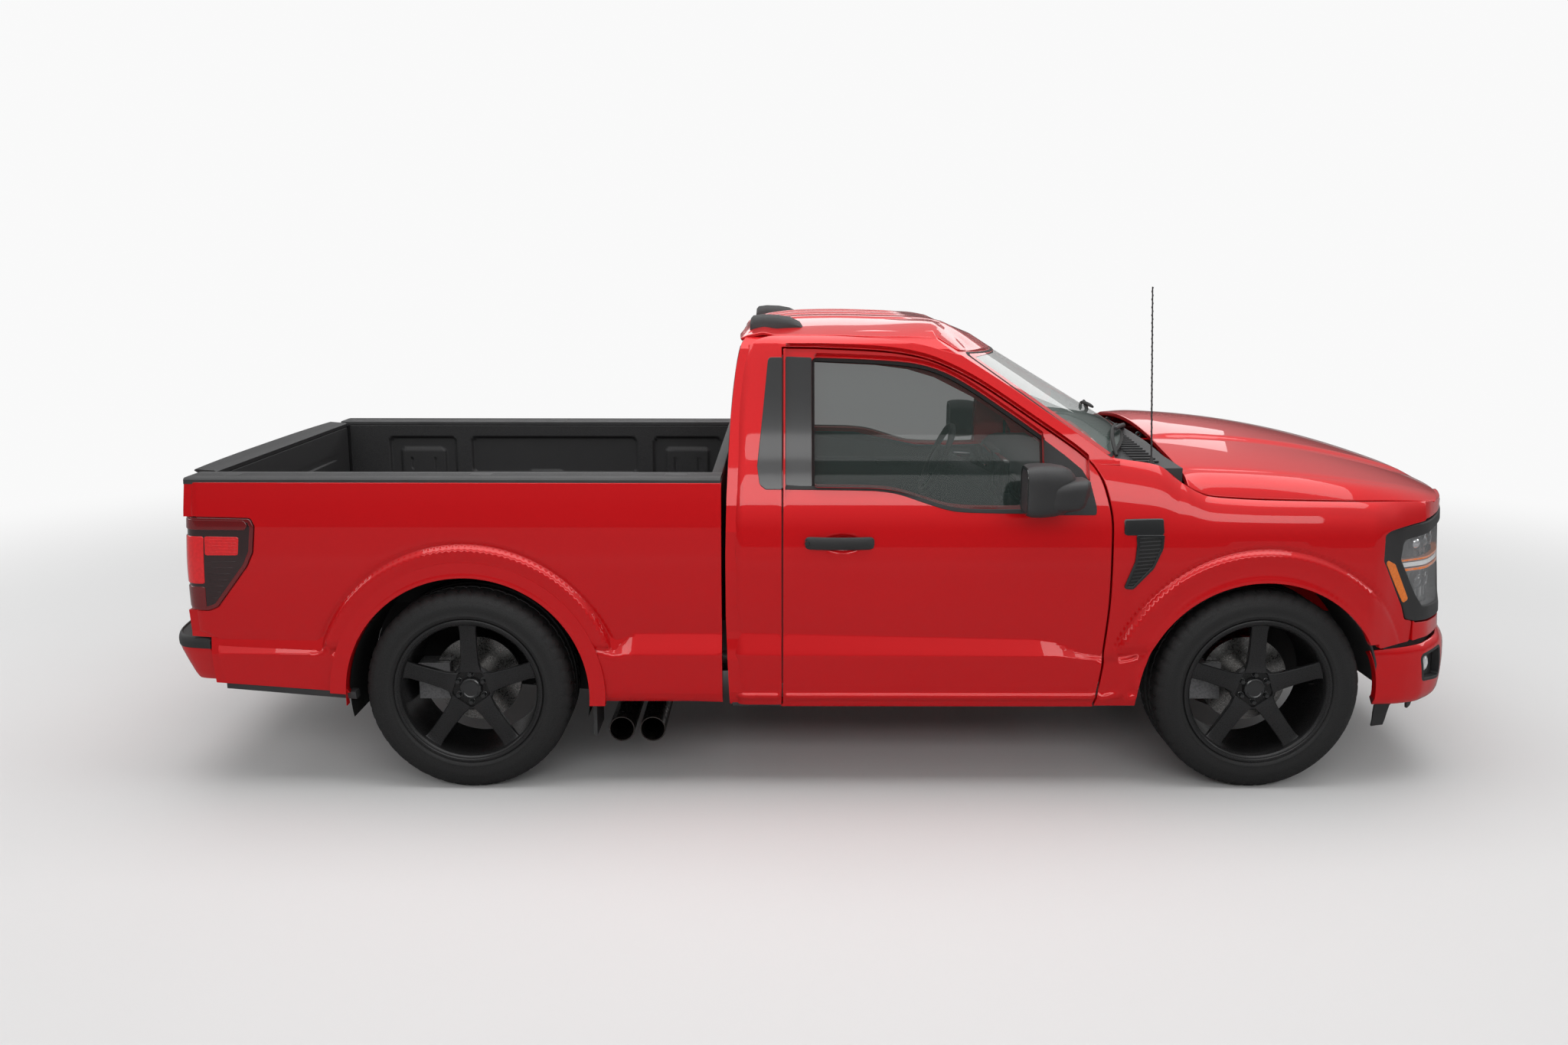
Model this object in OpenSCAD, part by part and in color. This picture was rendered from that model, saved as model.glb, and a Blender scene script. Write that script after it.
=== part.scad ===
// Regular-cab pickup truck, lowered, with a short bed and 22 inch wheels.
// Millimetres. +X is forward, +Y is the driver's side, +Z is up, and the floor is z = 0.

/* [Overall] */
// Distance between the axles
wheelbase = 3119; // [2800:1:3750]
// Width of the body over the wheel arch flares
body_w = 2029; // [1700:1:2440]
// Length from the front axle to the front of the bumper
front_overhang = 955; // [900:1:1100]
// Length from the rear axle to the back of the bumper
rear_overhang = 1237; // [1200:1:1450]

/* [Wheels] */
// Outer diameter of the tyre
tyre_d = 815; // [700:1:900]
// Width of the tyre
tyre_w = 285; // [235:1:315]
// Diameter of the rim over its bead seats
rim_d = 559; // [460:1:600]
// Clearance between the tyre and the wheel arch
arch_gap = 72; // [60:1:100]
// Number of spokes
spokes = 5; // [3:1:8]
// Diameter of the front brake discs
disc_d = 350; // [300:1:380]

/* [Steering] */
// Distance of the steering axis inboard of the tyre's middle plane
kingpin_in = 96; // [90:1:110]
// Diameter of the steering wheel
steer_wheel_d = 380; // [340:1:420]

/* [Cab] */
// Gap around the doors, the hood and the tailgate
shut_gap = 6; // [5:0.5:9]
// Thickness of a door below its window
door_t = 120; // [90:1:140]
// Thickness of the cab glass
glass_t = 5; // [4:0.5:8]
// Gap between the cab and the bed
cab_gap = 16; // [12:1:30]

/* [Bed] */
// Depth of the load bed below its rails
bed_depth = 544; // [430:1:660]
// Width between the inner walls of the bed
bed_inner_w = 1656; // [1600:1:1680]
// Thickness of the tailgate
tailgate_t = 52; // [45:1:70]

/* [Towing] */
// Inside width of the square hitch receiver
receiver_in = 51; // [50:0.5:52]
// Diameter of the hitch pin hole
hitch_pin_d = 16.2; // [14:0.1:18]
// Diameter of the tow ball hole in the bumper step
ball_hole_d = 25.8; // [22:0.1:33]

/* [Hidden] */

big = 3000;
seat_gap = 0.3;
run_gap = 0.5;

// Colours
red = [0.75, 0.02, 0.04];
black = [0.03, 0.03, 0.03];
grey = [0.25, 0.25, 0.26];
silver = [0.6, 0.6, 0.62];
clear = [0.2, 0.24, 0.24, 0.4];

// The body's own zero line lies this far below the axles
axle_above_datum = 407.5;
hub_z = tyre_d / 2;
datum_z = hub_z - axle_above_datum;
hw = body_w / 2;
fo = front_overhang;
overall_l = front_overhang + wheelbase + rear_overhang;
xf = overall_l / 2 - front_overhang;
xr = xf - wheelbase;
arch_r = tyre_d / 2 + arch_gap;
arch_drop = 16;
front_arch_drop = 32;
flare_r = arch_r + 62;

// Middle planes of the tyres, measured from the body side
front_y = hw - 13.5 - tyre_w / 2;
rear_y = hw - 4.5 - tyre_w / 2;
kingpin_y = front_y - kingpin_in;

// Half width of the body side: height above the datum, distance inboard of the flares
side_low = [[342, 60], [372, 37], [402, 25], [540, 13], [622, 25], [650, 27], [760, 17],
    [900, 15], [1050, 27], [1150, 47], [1205, 65]];
side_top = [[1736, 270], [1772, 298], [1800, 366], [1825, 516], [1842, 716]];
roof_z = 1852;
belt_z = 1205;
side_h = concat(side_low, side_top);

// Cab stations, measured from the front axle
cab_back = -2101;
cab_outline = [[cab_back + 12, 345], [cab_back, 700], [cab_back, 963], [cab_back + 5, 1198],
    [cab_back + 18, 1479], [cab_back + 38, 1665], [cab_back + 58, 1755],
    [cab_back + 86, 1797], [cab_back + 150, 1828], [cab_back + 300, 1848],
    [-1640, roof_z], [-1310, 1838], [-1170, 1806], [-1060, 1760], [-448, 1394],
    [-448, 1300], [-570, 1300], [-570, 345]];
door_outline = [[-1876, 342], [-1878, 1737], [-1764, 1736], [-1511, 1725], [-1375, 1708],
    [-1261, 1675], [-1105, 1597], [-884, 1451], [-742, 1354], [-682, 1300], [-646, 1241],
    [-625, 1165], [-612, 1086], [-611, 962], [-611, 788], [-619, 634], [-634, 461],
    [-650, 342]];
window_outline = [[-1750, 1222], [-1758, 1692], [-1558, 1686], [-1387, 1675], [-1274, 1648],
    [-1162, 1593], [-996, 1484], [-892, 1413], [-905, 1141], [-1184, 1137], [-1251, 1143],
    [-1341, 1170], [-1430, 1203], [-1509, 1217]];
fender_outline = [[-643, 342], [-627, 461], [-612, 634], [-604, 788], [-604, 962],
    [-605, 1086], [-618, 1166], [-640, 1243], [-676, 1303], [-700, 1340], [-420, 1296],
    [-335, 1234], [-280, 1204], [-225, 1181], [-10, 1161], [300, 1158], [fo - 435, 1148],
    [fo - 315, 1124], [fo - 315, 1080], [fo - 485, 1052], [fo - 499, 939], [fo - 395, 768],
    [fo - 343, 642], [fo - 475, 614], [fo - 475, 342]];

// Plan of the nose: distance ahead of the front axle, distance inboard of the flares
nose_plan = [[-2200, 0], [fo - 575, 0], [fo - 505, 30], [fo - 435, 62], [fo - 355, 92],
    [fo - 275, 132], [fo - 213, 200], [fo - 155, 284], [fo - 105, 400], [fo - 65, 560],
    [fo - 43, 780]];
bumper_plan = [[fo - 479, 52], [fo - 375, 62], [fo - 275, 96], [fo - 195, 160],
    [fo - 125, 250], [fo - 65, 400], [fo - 25, 620], [fo, 880]];

// The windscreen is part of a large tilted cylinder
screen_r = 2580;
screen_tilt = 30.9;
screen_top = [-968, 1709];

// Cab inside
floor_z = 565;
floor_t = 25;
sill_in = 254;
cavity_in = door_t + 62;
tunnel_w = 400;
tunnel_z = 720;

// Bed, measured from the rear axle
bed_front = wheelbase + cab_back - cab_gap;
bed_rear = 169 - rear_overhang;
rail_z = 1256;
rail_t = 18;
bed_floor_z = rail_z - bed_depth;
bed_floor_t = 32;
bed_in = bed_inner_w / 2;
bed_side = [[353, 62], [400, 30], [560, 15], [625, 30], [650, 32], [760, 19], [900, 17],
    [1050, 25], [1150, 36], [rail_z - rail_t, 47]];
gate_half = 775;
gate_low = 705;
gate_top = 1232;
gate_pin = [bed_rear + tailgate_t / 2, 725];
gate_pin_r = 11;
wheelhouse_in = 642;
wheelhouse_t = 18;

// Ladder frame
rail_in = 370;
rail_out = 430;

// --- helpers -------------------------------------------------------------

module at_front() { translate([xf, 0, datum_z]) children(); }
module at_rear() { translate([xr, 0, datum_z]) children(); }
module both_sides() {
    children();
    mirror([0, 1, 0]) children();
}
// A side-view outline, extruded across the truck from y0 to y1
module side_extrude(pts, y0, y1) {
    translate([0, y1, 0]) rotate([90, 0, 0]) linear_extrude(y1 - y0) polygon(pts);
}
// A front-view outline, extruded along the truck from x0 to x1
module cross_extrude(pts, x0, x1) {
    translate([x0, 0, 0]) rotate([90, 0, 90]) linear_extrude(x1 - x0) polygon(pts);
}
module block(x, y, z) {
    translate([x[0], y[0], z[0]]) cube([x[1] - x[0], y[1] - y[0], z[1] - z[0]]);
}
module tube_x(x, y, z, r) {
    translate([x[0], y, z]) rotate([0, 90, 0]) cylinder(h = x[1] - x[0], r = r, $fn = 48);
}
module tube_y(x, y, z, r) {
    translate([x, y[1], z]) rotate([90, 0, 0]) cylinder(h = y[1] - y[0], r = r, $fn = 96);
}
function flip(pts) = [for (i = [len(pts) - 1:-1:0]) [-pts[i][0], pts[i][1]]];
// Closed front-view outline from a table of heights and insets
function section(table, d = 0) = let(right = [for (p = table) [hw - p[1] - d, p[0]]])
    concat(right, flip(right));
function grow_dir(a, b, c) = let(
    u = (b - a) / norm(b - a), v = (c - b) / norm(c - b),
    n = [u[1] + v[1], -u[0] - v[0]], k = 1 + u * v) n / k;
// Outline moved outward by d; the points run clockwise seen with x right, z up
function grown(pts, d) = let(n = len(pts))
    [for (i = [0:n - 1]) pts[i] - d * grow_dir(pts[(i + n - 1) % n], pts[i], pts[(i + 1) % n])];
function plan_edge(table, d) = [for (p = table) [p[0] - d, hw - p[1] - d]];
module plan_shape(table, d, back, z0, z1) {
    edge = plan_edge(table, d);
    tip = edge[len(edge) - 1];
    right = concat([[back, edge[0][1]]], edge);
    translate([0, 0, z0]) linear_extrude(z1 - z0)
        polygon(concat(right, [for (i = [len(right) - 1:-1:0]) [right[i][0], -right[i][1]]]));
}
module arch_cut(r, y0, y1, drop = arch_drop) {
    tube_y(0, [y0, y1], axle_above_datum - drop, r);
}

// --- chassis -------------------------------------------------------------

// Underside of the load floor, where the frame carries it
bed_seat = bed_floor_z - bed_floor_t;
module frame_rail() {
    rear = xr - xf;
    side_extrude([[fo - 195, 470], [fo - 195, 600], [-430, 600], [-560, 540], [rear + 620, 540],
        [rear + 430, bed_seat], [rear - 380, bed_seat], [rear - 520, min(600, bed_seat)],
        [rear - 1040, min(600, bed_seat)], [rear - 1040, 470], [rear - 560, 470],
        [rear - 420, bed_seat - 120], [rear + 400, bed_seat - 120], [rear + 560, 400],
        [-520, 400], [-390, 470]], rail_in, rail_out);
}
module cross_member(x, z0, z1, l = 80) {
    block([x - l / 2, x + l / 2], [-rail_in, rail_in], [z0, z1]);
}
module chassis_frame() {
    rear = xr - xf;
    color(black) at_front() {
        both_sides() frame_rail();
        cross_member(fo - 315, 480, 590);
        cross_member(-700, 405, gearbox_z);
        cross_member(-1400, 518, 536);
        cross_member(rear + 640, 500, 536);
        cross_member(rear - 300, bed_seat - 80, bed_seat - 10);
        cross_member(rear - 990, 480, 590);
        // Front cradle that carries the suspension arms
        cross_member(0, lower_arm_z[1] + seat_gap, cradle_z, 260);
        both_sides() block([-130, 130], [rail_in - 60, rail_out],
            [lower_arm_z[1] + seat_gap, 472]);
        // Spring hangers and shackles
        both_sides() {
            block([rear + leaf_half + seat_gap, rear + 700], [rail_out, 560], [400, 480]);
            block([rear - 700, rear - leaf_half - seat_gap], [rail_out, 560], [430, 560]);
        }
    }
}
gearbox_z = 425;
cradle_z = 330;
engine_z = 480;
pinion_l = 170;
module powertrain() {
    rear = xr - xf;
    color(grey) at_front() {
        // Engine with its sump, gearbox, and driveshaft
        block([-330, 420], [-250, 250], [engine_z, 1060]);
        block([-110, 110], [-120, 120], [cradle_z + seat_gap, engine_z]);
        block([-1000, -330], [-140, 140], [gearbox_z + seat_gap, 680]);
        hull() {
            translate([-1001, 0, 480]) rotate([0, 90, 0]) cylinder(h = 2, r = 45, $fn = 32);
            translate([rear + pinion_l + seat_gap, 0, axle_above_datum + 6]) rotate([0, 90, 0])
                cylinder(h = 2, r = 45, $fn = 32);
        }
    }
}
leaf_half = 650;
leaf_y = [485, 550];
hub_back = 64;
caliper_out = rim_d / 2 - 47.5;
// Brake caliper round the back of the disc, with its bracket from y0; the tyre's middle is y = 0
module caliper(y0) {
    difference() {
        block([-caliper_out, -105], [-96, -2], [-75, 75]);
        tube_y(0, [-hub_back - 8, -28], 0, disc_d / 2 + 6);
    }
    block([-150, 0], [y0, -96], [-40, 40]);
}
module rear_axle() {
    color(grey) at_rear() translate([0, 0, axle_above_datum]) {
        tube_y(0, [-rear_y + 150, rear_y - 150], 0, 42);
        sphere(r = 130, $fn = 48);
        tube_x([0, pinion_l], 0, 0, 55);
        both_sides() {
            // Hub and the brake caliper
            tube_y(0, [rear_y - 150, rear_y - hub_back - run_gap], 0, 62);
            translate([0, rear_y, 0]) caliper(-120);
            // Leaf spring with its clamp block
            side_extrude([[-leaf_half, 60], [-300, -42], [300, -42], [leaf_half, 60],
                [leaf_half, 24], [300, -78], [-300, -78], [-leaf_half, 24]],
                leaf_y[0], leaf_y[1]);
            block([-70, 70], leaf_y, [-43, 0]);
        }
    }
}
module arm_plate(z0, z1, spread, inner) {
    translate([0, 0, z0]) linear_extrude(z1 - z0) difference() {
        polygon([[-spread, inner], [spread, inner], [spread, inner + 60],
            [45, kingpin_y - 40], [45, kingpin_y], [18, kingpin_y + 18], [-18, kingpin_y + 18],
            [-45, kingpin_y], [-45, kingpin_y - 40], [-spread, inner + 60]]);
        polygon([[-spread + 70, inner + 60], [spread - 70, inner + 60], [0, kingpin_y - 110]]);
    }
}
lower_arm_z = [235, 265];
upper_arm_z = [548, 572];
tower_z = 865;
module front_suspension() {
    color(black) at_front() both_sides() {
        arm_plate(lower_arm_z[0], lower_arm_z[1], 190, rail_out - 40);
        arm_plate(upper_arm_z[0], upper_arm_z[1], 140, rail_out);
        // Spring and damper in one
        translate([0, 590, lower_arm_z[1]]) cylinder(h = tower_z - lower_arm_z[1], r = 48, $fn = 48);
    }
}
module exhaust() {
    tips = [xr - xf + 596, xr - xf + 720];
    color(silver) at_front() {
        y = -215;
        tube_x([tips[1] + 60, tips[1] + 620], y, 330, 88);
        tube_x([tips[1] + 619, -290], y, 330, 32);
        translate([-290, y, 298]) cylinder(h = engine_z - 298 - seat_gap, r = 32, $fn = 48);
        for (x = tips) difference() {
            union() {
                tube_y(x, [-hw + 60, y], 236, 51);
                tube_x([x, tips[1] + 61], y, 286, 40);
            }
            tube_y(x, [-hw + 59, y - 80], 236, 47);
        }
    }
}
module fuel_tank() {
    rear = xr - xf;
    color(black) at_front() cross_extrude([[85, 350], [125, 310], [rail_in - 40, 310],
        [rail_in - seat_gap, 350], [rail_in - seat_gap, 536], [85, 536]], rear + 740, -1500);
}

// --- cab -----------------------------------------------------------------

// Everything behind the curved windscreen plane, d further in
module screen_side(d) {
    translate([screen_top[0], 0, screen_top[1]]) rotate([0, 90 + screen_tilt, 0])
        translate([screen_r, 0, -big]) cylinder(h = 2 * big, r = screen_r - d, $fn = 200);
}
module cab_body() {
    intersection() {
        side_extrude(cab_outline, -hw, hw);
        cross_extrude(concat(section(side_h), []), cab_back - 50, 700);
        screen_side(0);
    }
}
// Thickness of the cab's structure behind the windscreen plane
cab_wall = 34;
cab_inside = [[cab_back + 46, floor_z], [cab_back + 46, 1198], [cab_back + 66, 1479],
    [cab_back + 90, 1665], [cab_back + 122, 1768], [cab_back + 300, 1808],
    [-1640, 1812], [-1310, 1798], [-1180, 1768], [-600, 1420], [-600, floor_z]];
module cab_cavity() {
    top = 1812;
    intersection() {
        side_extrude(cab_inside, -hw, hw);
        cross_extrude([[hw - cavity_in, floor_z], [hw - cavity_in, belt_z],
            [hw - 380, 1720], [hw - 470, 1775], [0, top], [470 - hw, 1775], [380 - hw, 1720],
            [cavity_in - hw, belt_z], [cavity_in - hw, floor_z]], cab_back, 700);
        screen_side(cab_wall);
    }
}
module window_cut_front() {
    bottom = [for (i = [1:3]) [cowl_lid[i][0], cowl_lid[i][1] + seat_gap]];
    cross_extrude(concat([[-640, 1698], [640, 1698], [800, 1318]], [bottom[2], bottom[1],
        bottom[0], [0, cowl_top + seat_gap]], [for (p = bottom) [-p[0], p[1]]],
        [[-800, 1318]]), -1400, 0);
}
door_inner = [[0, 200], [hw - door_t - 13, 200], [hw - door_t - 13, 1190],
    [hw - 120, belt_z], [hw - 325, 1736], [hw - 420, 2000], [0, 2000]];
// The door with its gap, and the smaller opening that it closes
module door_space() {
    difference() {
        side_extrude(grown(door_outline, shut_gap), 0, big);
        cross_extrude([for (p = door_inner) [max(0, p[0] - shut_gap), p[1]]], -big, big);
    }
    intersection() {
        side_extrude(grown(door_outline, -55), 400, big);
        block([-2000, 0], [400, big], [floor_z + 12, 2000]);
    }
}
module cab_shell() {
    side = hw - door_t - 19;
    color(red) at_front() difference() {
        union() {
            difference() {
                cab_body();
                cab_cavity();
            }
            block([-1120, -590], [-tunnel_w / 2 - 20, tunnel_w / 2 + 20], [floor_z - 5, tunnel_z]);
        }
        window_cut_front();
        // Rear window
        cross_extrude([[-590, 1235], [590, 1235], [560, 1640], [-560, 1640]],
            cab_back - 60, cab_back + 200);
        both_sides() door_space();
        // Open underside between and beside the sills
        block([cab_back - 10, 0], [-hw + sill_in, hw - sill_in], [300, floor_z - floor_t]);
        both_sides() block([cab_back + 40, 0], [hw - sill_in - 1, side], [300, 402]);
        // Space for the fenders and the cowl ahead of the doors
        both_sides() block([-640, 0], [side, hw + 1], [300, 1300]);
        both_sides() block([-800, 0], [side, hw + 1], [300, 420]);
        both_sides() side_extrude(grown(fender_outline, 3), hw - 160, hw);
        block([-570, 0], [-cowl_half - seat_gap, cowl_half + seat_gap],
            [1180, cowl_top + seat_gap]);
        // Room for the gearbox
        block([-1100, 0], [-tunnel_w / 2, tunnel_w / 2], [300, tunnel_z - 20]);
    }
    color(red) at_front() both_sides() hinge_arms();
}
module cab_glass() {
    color(clear) at_front() {
        intersection() {
            difference() {
                screen_side(8);
                screen_side(8 + glass_t);
            }
            window_cut_front();
            side_extrude(cab_outline, -hw, hw);
        }
        intersection() {
            cross_extrude([[-590, 1235], [590, 1235], [560, 1640], [-560, 1640]],
                cab_back, cab_back + 60);
            side_extrude([[cab_back + 20, 1198], [cab_back + 33, 1479], [cab_back + 53, 1665],
                [cab_back + 53 + glass_t, 1665], [cab_back + 33 + glass_t, 1479],
                [cab_back + 20 + glass_t, 1198]], -hw, hw);
        }
    }
}
// Two hinges a side: the door holds the pin in a notch, and the pillar's arm holds the eye
hinge_x = -685;
hinge_y = hw - 40;
hinge_z = [500, 855];
hinge_h = 70;
hinge_pin_r = 6.5;
hinge_eye_r = 12;
door_lip = 5;
module door_panel() {
    difference() {
        intersection() {
            side_extrude(door_outline, 0, big);
            cross_extrude(section(side_h), -big, big);
        }
        cross_extrude(door_inner, -big, big);
        side_extrude(window_outline, 0, big);
        for (z = hinge_z) block([hinge_x - hinge_eye_r - 5, hinge_x + 200],
            [0, hinge_y + hinge_eye_r + 3], [z, z + hinge_h]);
        // Front corner, rounded about the hinge so that it swings clear of the pillar
        difference() {
            block([hinge_x, 0], [0, hinge_y], [0, 1330]);
            translate([hinge_x, hinge_y, -1]) cylinder(h = 1400,
                r = door_t + hinge_y - hw, $fn = 96);
        }
        // Rear edge, stepped in behind the outer skin for the same reason
        difference() {
            intersection() {
                block([-2000, hinge_x - 900], [0, hw], [0, 2000]);
                cross_extrude(section(side_h, door_lip), -2000, 0);
            }
            translate([hinge_x, hinge_y, 0]) cylinder(h = 2000, r = hinge_x + 1873, $fn = 96);
        }
    }
    for (z = hinge_z) translate([hinge_x, hinge_y, z]) cylinder(h = hinge_h, r = hinge_pin_r,
        $fn = 48);
}
module hinge_arms() {
    for (z = hinge_z) translate([0, 0, z + 20]) difference() {
        union() {
            translate([hinge_x, hinge_y, 0]) cylinder(h = hinge_h - 40, r = hinge_eye_r, $fn = 48);
            block([hinge_x - 10, hinge_x + 10], [hw - door_t - 30, hinge_y], [0, hinge_h - 40]);
        }
        translate([hinge_x, hinge_y, -1]) cylinder(h = hinge_h, r = hinge_pin_r + seat_gap,
            $fn = 48);
    }
}
module door_window() {
    glass = [for (p = [side_low[9], side_low[10], side_top[0]]) [hw - p[1] - 14, p[0]]];
    intersection() {
        side_extrude(window_outline, 0, big);
        cross_extrude(concat(glass, [for (i = [2:-1:0]) glass[i] - [glass_t, 0]]), -big, big);
    }
}
module mirror_body() {
    y = hw - 60;
    difference() {
        hull() {
            translate([-985, y + 110, 1165]) sphere(r = 25, $fn = 24);
            translate([-985, y + 110, 1315]) sphere(r = 25, $fn = 24);
            translate([-1000, y + 235, 1165]) sphere(r = 25, $fn = 24);
            translate([-1000, y + 235, 1315]) sphere(r = 25, $fn = 24);
            translate([-830, y + 110, 1180]) sphere(r = 25, $fn = 24);
            translate([-830, y + 110, 1300]) sphere(r = 25, $fn = 24);
            translate([-850, y + 215, 1190]) sphere(r = 25, $fn = 24);
            translate([-850, y + 215, 1290]) sphere(r = 25, $fn = 24);
        }
        block([-1100, -1003], [y, y + 300], [1100, 1400]);
    }
    // Foot that bolts to the door
    difference() {
        block([-900, -760], [y - 40, y + 120], [1175, 1225]);
        block([-1000, -700], [0, y + 3], [1000, 1300]);
        cross_extrude(section(side_h, -seat_gap), -big, big);
    }
}
module door_left() { color(red) at_front() door_panel(); }
module door_right() { color(red) at_front() mirror([0, 1, 0]) door_panel(); }
module door_glass_left() { color(clear) at_front() door_window(); }
module door_glass_right() { color(clear) at_front() mirror([0, 1, 0]) door_window(); }
module mirror_left() { color(black) at_front() mirror_body(); }
module mirror_right() { color(black) at_front() mirror([0, 1, 0]) mirror_body(); }

// Black grille panel between the windscreen and the hood, a trough with a curved lid
cowl_half = hw - 125;
cowl_top = 1362;
cowl_lid = [[0, cowl_top], [300, 1352], [500, 1335], [700, 1306], [cowl_half, 1285]];
cowl_front = [[-384, 0], [-372, 300], [-358, 500], [-345, 700], [-322, cowl_half]];
cowl_back = -570 + seat_gap;
module cowl_lid_shape() {
    cross_extrude(concat([[-cowl_half, 1200]], [for (i = [4:-1:1]) [-cowl_lid[i][0],
        cowl_lid[i][1]]], cowl_lid, [[cowl_half, 1200]]), -800, 0);
}
// Eyes that the hood's pins turn in
hood_pivot = [-330, 1335];
hood_eye_y = [262, 276];
module hood_eye() {
    difference() {
        union() {
            tube_y(hood_pivot[0], hood_eye_y, hood_pivot[1], 13);
            block([-392, hood_pivot[0]], hood_eye_y, [hood_pivot[1] - 22, hood_pivot[1] - 8]);
        }
        tube_y(hood_pivot[0], [hood_eye_y[0] - 1, hood_eye_y[1] + 1], hood_pivot[1], 6 + seat_gap);
    }
}
module cowl_panel() {
    color(black) at_front() both_sides() hood_eye();
    color(black) at_front() difference() {
        intersection() {
            cowl_lid_shape();
            translate([0, 0, 1100]) linear_extrude(400) polygon(concat(
                [[cowl_back, -cowl_half]], [for (i = [4:-1:1]) [cowl_front[i][0],
                -cowl_front[i][1]]], cowl_front, [[cowl_back, cowl_half]]));
        }
        block([-600, -400], [20 - cowl_half, cowl_half - 20], [1212, 1268]);
    }
}

// --- nose ----------------------------------------------------------------

skin = 3.5;
module fender() {
    difference() {
        intersection() {
            side_extrude(fender_outline, 0, big);
            plan_shape(nose_plan, 0, -2200, 0, 2000);
            cross_extrude(section(concat(side_low, [[1290, 100], [1345, 125]])), -900, 900);
        }
        intersection() {
            plan_shape(nose_plan, skin, -2200, 0, 2000);
            cross_extrude(section(concat(side_low, [[1290, 100], [1345, 125]]), skin), -900, 900);
        }
        arch_cut(arch_r, 0, big, front_arch_drop);
    }
    // Flare round the wheel arch
    intersection() {
        difference() {
            arch_cut(flare_r, hw - 36, hw, front_arch_drop);
            arch_cut(arch_r, hw - 40, hw + 1, front_arch_drop);
        }
        side_extrude(fender_outline, 0, big);
        plan_shape(nose_plan, 0, -2200, 0, 2000);
    }
}
// Inner wing beside the engine bay, with the tower over the spring
module inner_wing() {
    wall = rail_out + 60;
    intersection() {
        union() {
            block([-560, fo - 315], [wall, wall + skin], [601, 1110]);
            block([-560, fo - 315], [wall, hw], [1100, 1110]);
            block([-560, -480], [rail_out, wall + 1], [560, 600]);
        }
        plan_shape(nose_plan, skin - 1, -2200, 0, 2000);
        cross_extrude(section(concat(side_low, [[1290, 100], [1345, 125]]), skin - 1), -900, 900);
    }
    block([-100, 100], [rail_out, 650], [tower_z + seat_gap, tower_z + 14]);
    block([-100, 100], [rail_out, rail_out + 8], [600 + seat_gap, tower_z + 2]);
}
module front_fenders() {
    color(red) at_front() both_sides() {
        fender();
        inner_wing();
    }
}

// Hood: the skin's height from the back, u = 0, to the front, u = 1, and from the middle, v = 0
hood_t = 14;
hood_mid_z = 1380;
hood_fall = 212;
hood_crease = 0.88;
hood_crown = 110;
function hood_mid(u) = hood_mid_z - hood_fall * u * u - 10 * pow(u, 12);
function hood_edge(u) = 1183 + 70 * pow(1 - u, 12) - 65 * pow(u, 10);
function hood_shoulder(u) = hood_mid(u) - hood_crown * (1 - u * u);
function hood_z(u, v) = v < hood_crease
    ? hood_mid(u) - (hood_mid(u) - hood_shoulder(u)) * pow(v / hood_crease, 2)
    : hood_shoulder(u) + (hood_edge(u) - hood_shoulder(u)) * (v - hood_crease) / (1 - hood_crease);
function hood_half(u) = hw - lookup(u, [[0, 100], [0.1, 93], [0.6, 88], [0.8, 108], [0.92, 140],
    [1, 190]]);
function hood_back(v) = -350 + 40 * v * v * v;
function hood_front(v) = fo - 93 - 150 * v * v * v;
function hood_x(u, v) = hood_back(v) + u * (hood_front(v) - hood_back(v));
hood_n = 20;
hood_m = 20;
module hood() {
    n = hood_n;
    m = hood_m;
    top = [for (i = [0:n]) for (j = [-m:m]) let(u = i / n, v = abs(j) / m)
        [hood_x(u, v), hood_half(u) * j / m, hood_z(u, v)]];
    low = [for (p = top) p - [0, 0, hood_t]];
    w = 2 * m + 1;
    k = (n + 1) * w;
    up = [for (i = [0:n - 1]) for (j = [0:w - 2])
        [i * w + j, i * w + j + 1, (i + 1) * w + j + 1, (i + 1) * w + j]];
    down = [for (f = up) [f[3] + k, f[2] + k, f[1] + k, f[0] + k]];
    left = [for (i = [0:n - 1]) [i * w, (i + 1) * w, (i + 1) * w + k, i * w + k]];
    right = [for (i = [0:n - 1]) [i * w + w - 1, i * w + w - 1 + k, (i + 1) * w + w - 1 + k,
        (i + 1) * w + w - 1]];
    back = [for (j = [0:w - 2]) [j, j + k, j + 1 + k, j + 1]];
    front = [for (j = [0:w - 2]) [n * w + j, n * w + j + 1, n * w + j + 1 + k, n * w + j + k]];
    lug_top = hood_z(0, (hood_eye_y[1] + 2) / hood_half(0)) - hood_t + 1;
    color(red) at_front() {
        polyhedron(concat(top, low), concat(up, down, left, right, back, front));
        // Hinge lugs with their pins
        both_sides() {
            tube_y(hood_pivot[0], [hood_eye_y[0] - 4, hood_eye_y[1] + 10], hood_pivot[1], 6);
            side_extrude([[-338, hood_pivot[1] - 5], [-338, lug_top], [-250, lug_top],
                [-250, lug_top - 8], [-322, hood_pivot[1] - 5]],
                hood_eye_y[1] + 2, hood_eye_y[1] + 10);
        }
    }
}
module front_band(table, d0, d1, pts, x0 = 0) {
    intersection() {
        difference() {
            plan_shape(table, d0, -2200, 0, 2000);
            plan_shape(table, d1, -2201, -1, 2001);
        }
        cross_extrude(pts, x0, 1200);
    }
}
bumper_top = 638;
module grille() {
    color(black) at_front() difference() {
        front_band(nose_plan, 4, 60, [[-565, bumper_top + seat_gap],
            [565, bumper_top + seat_gap], [590, 1134], [-590, 1134]]);
        for (i = [0:3]) cross_extrude([[-540, 680 + i * 98], [540, 680 + i * 98],
            [540, 720 + i * 98], [-540, 720 + i * 98]], fo - 75, fo);
    }
}
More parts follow.
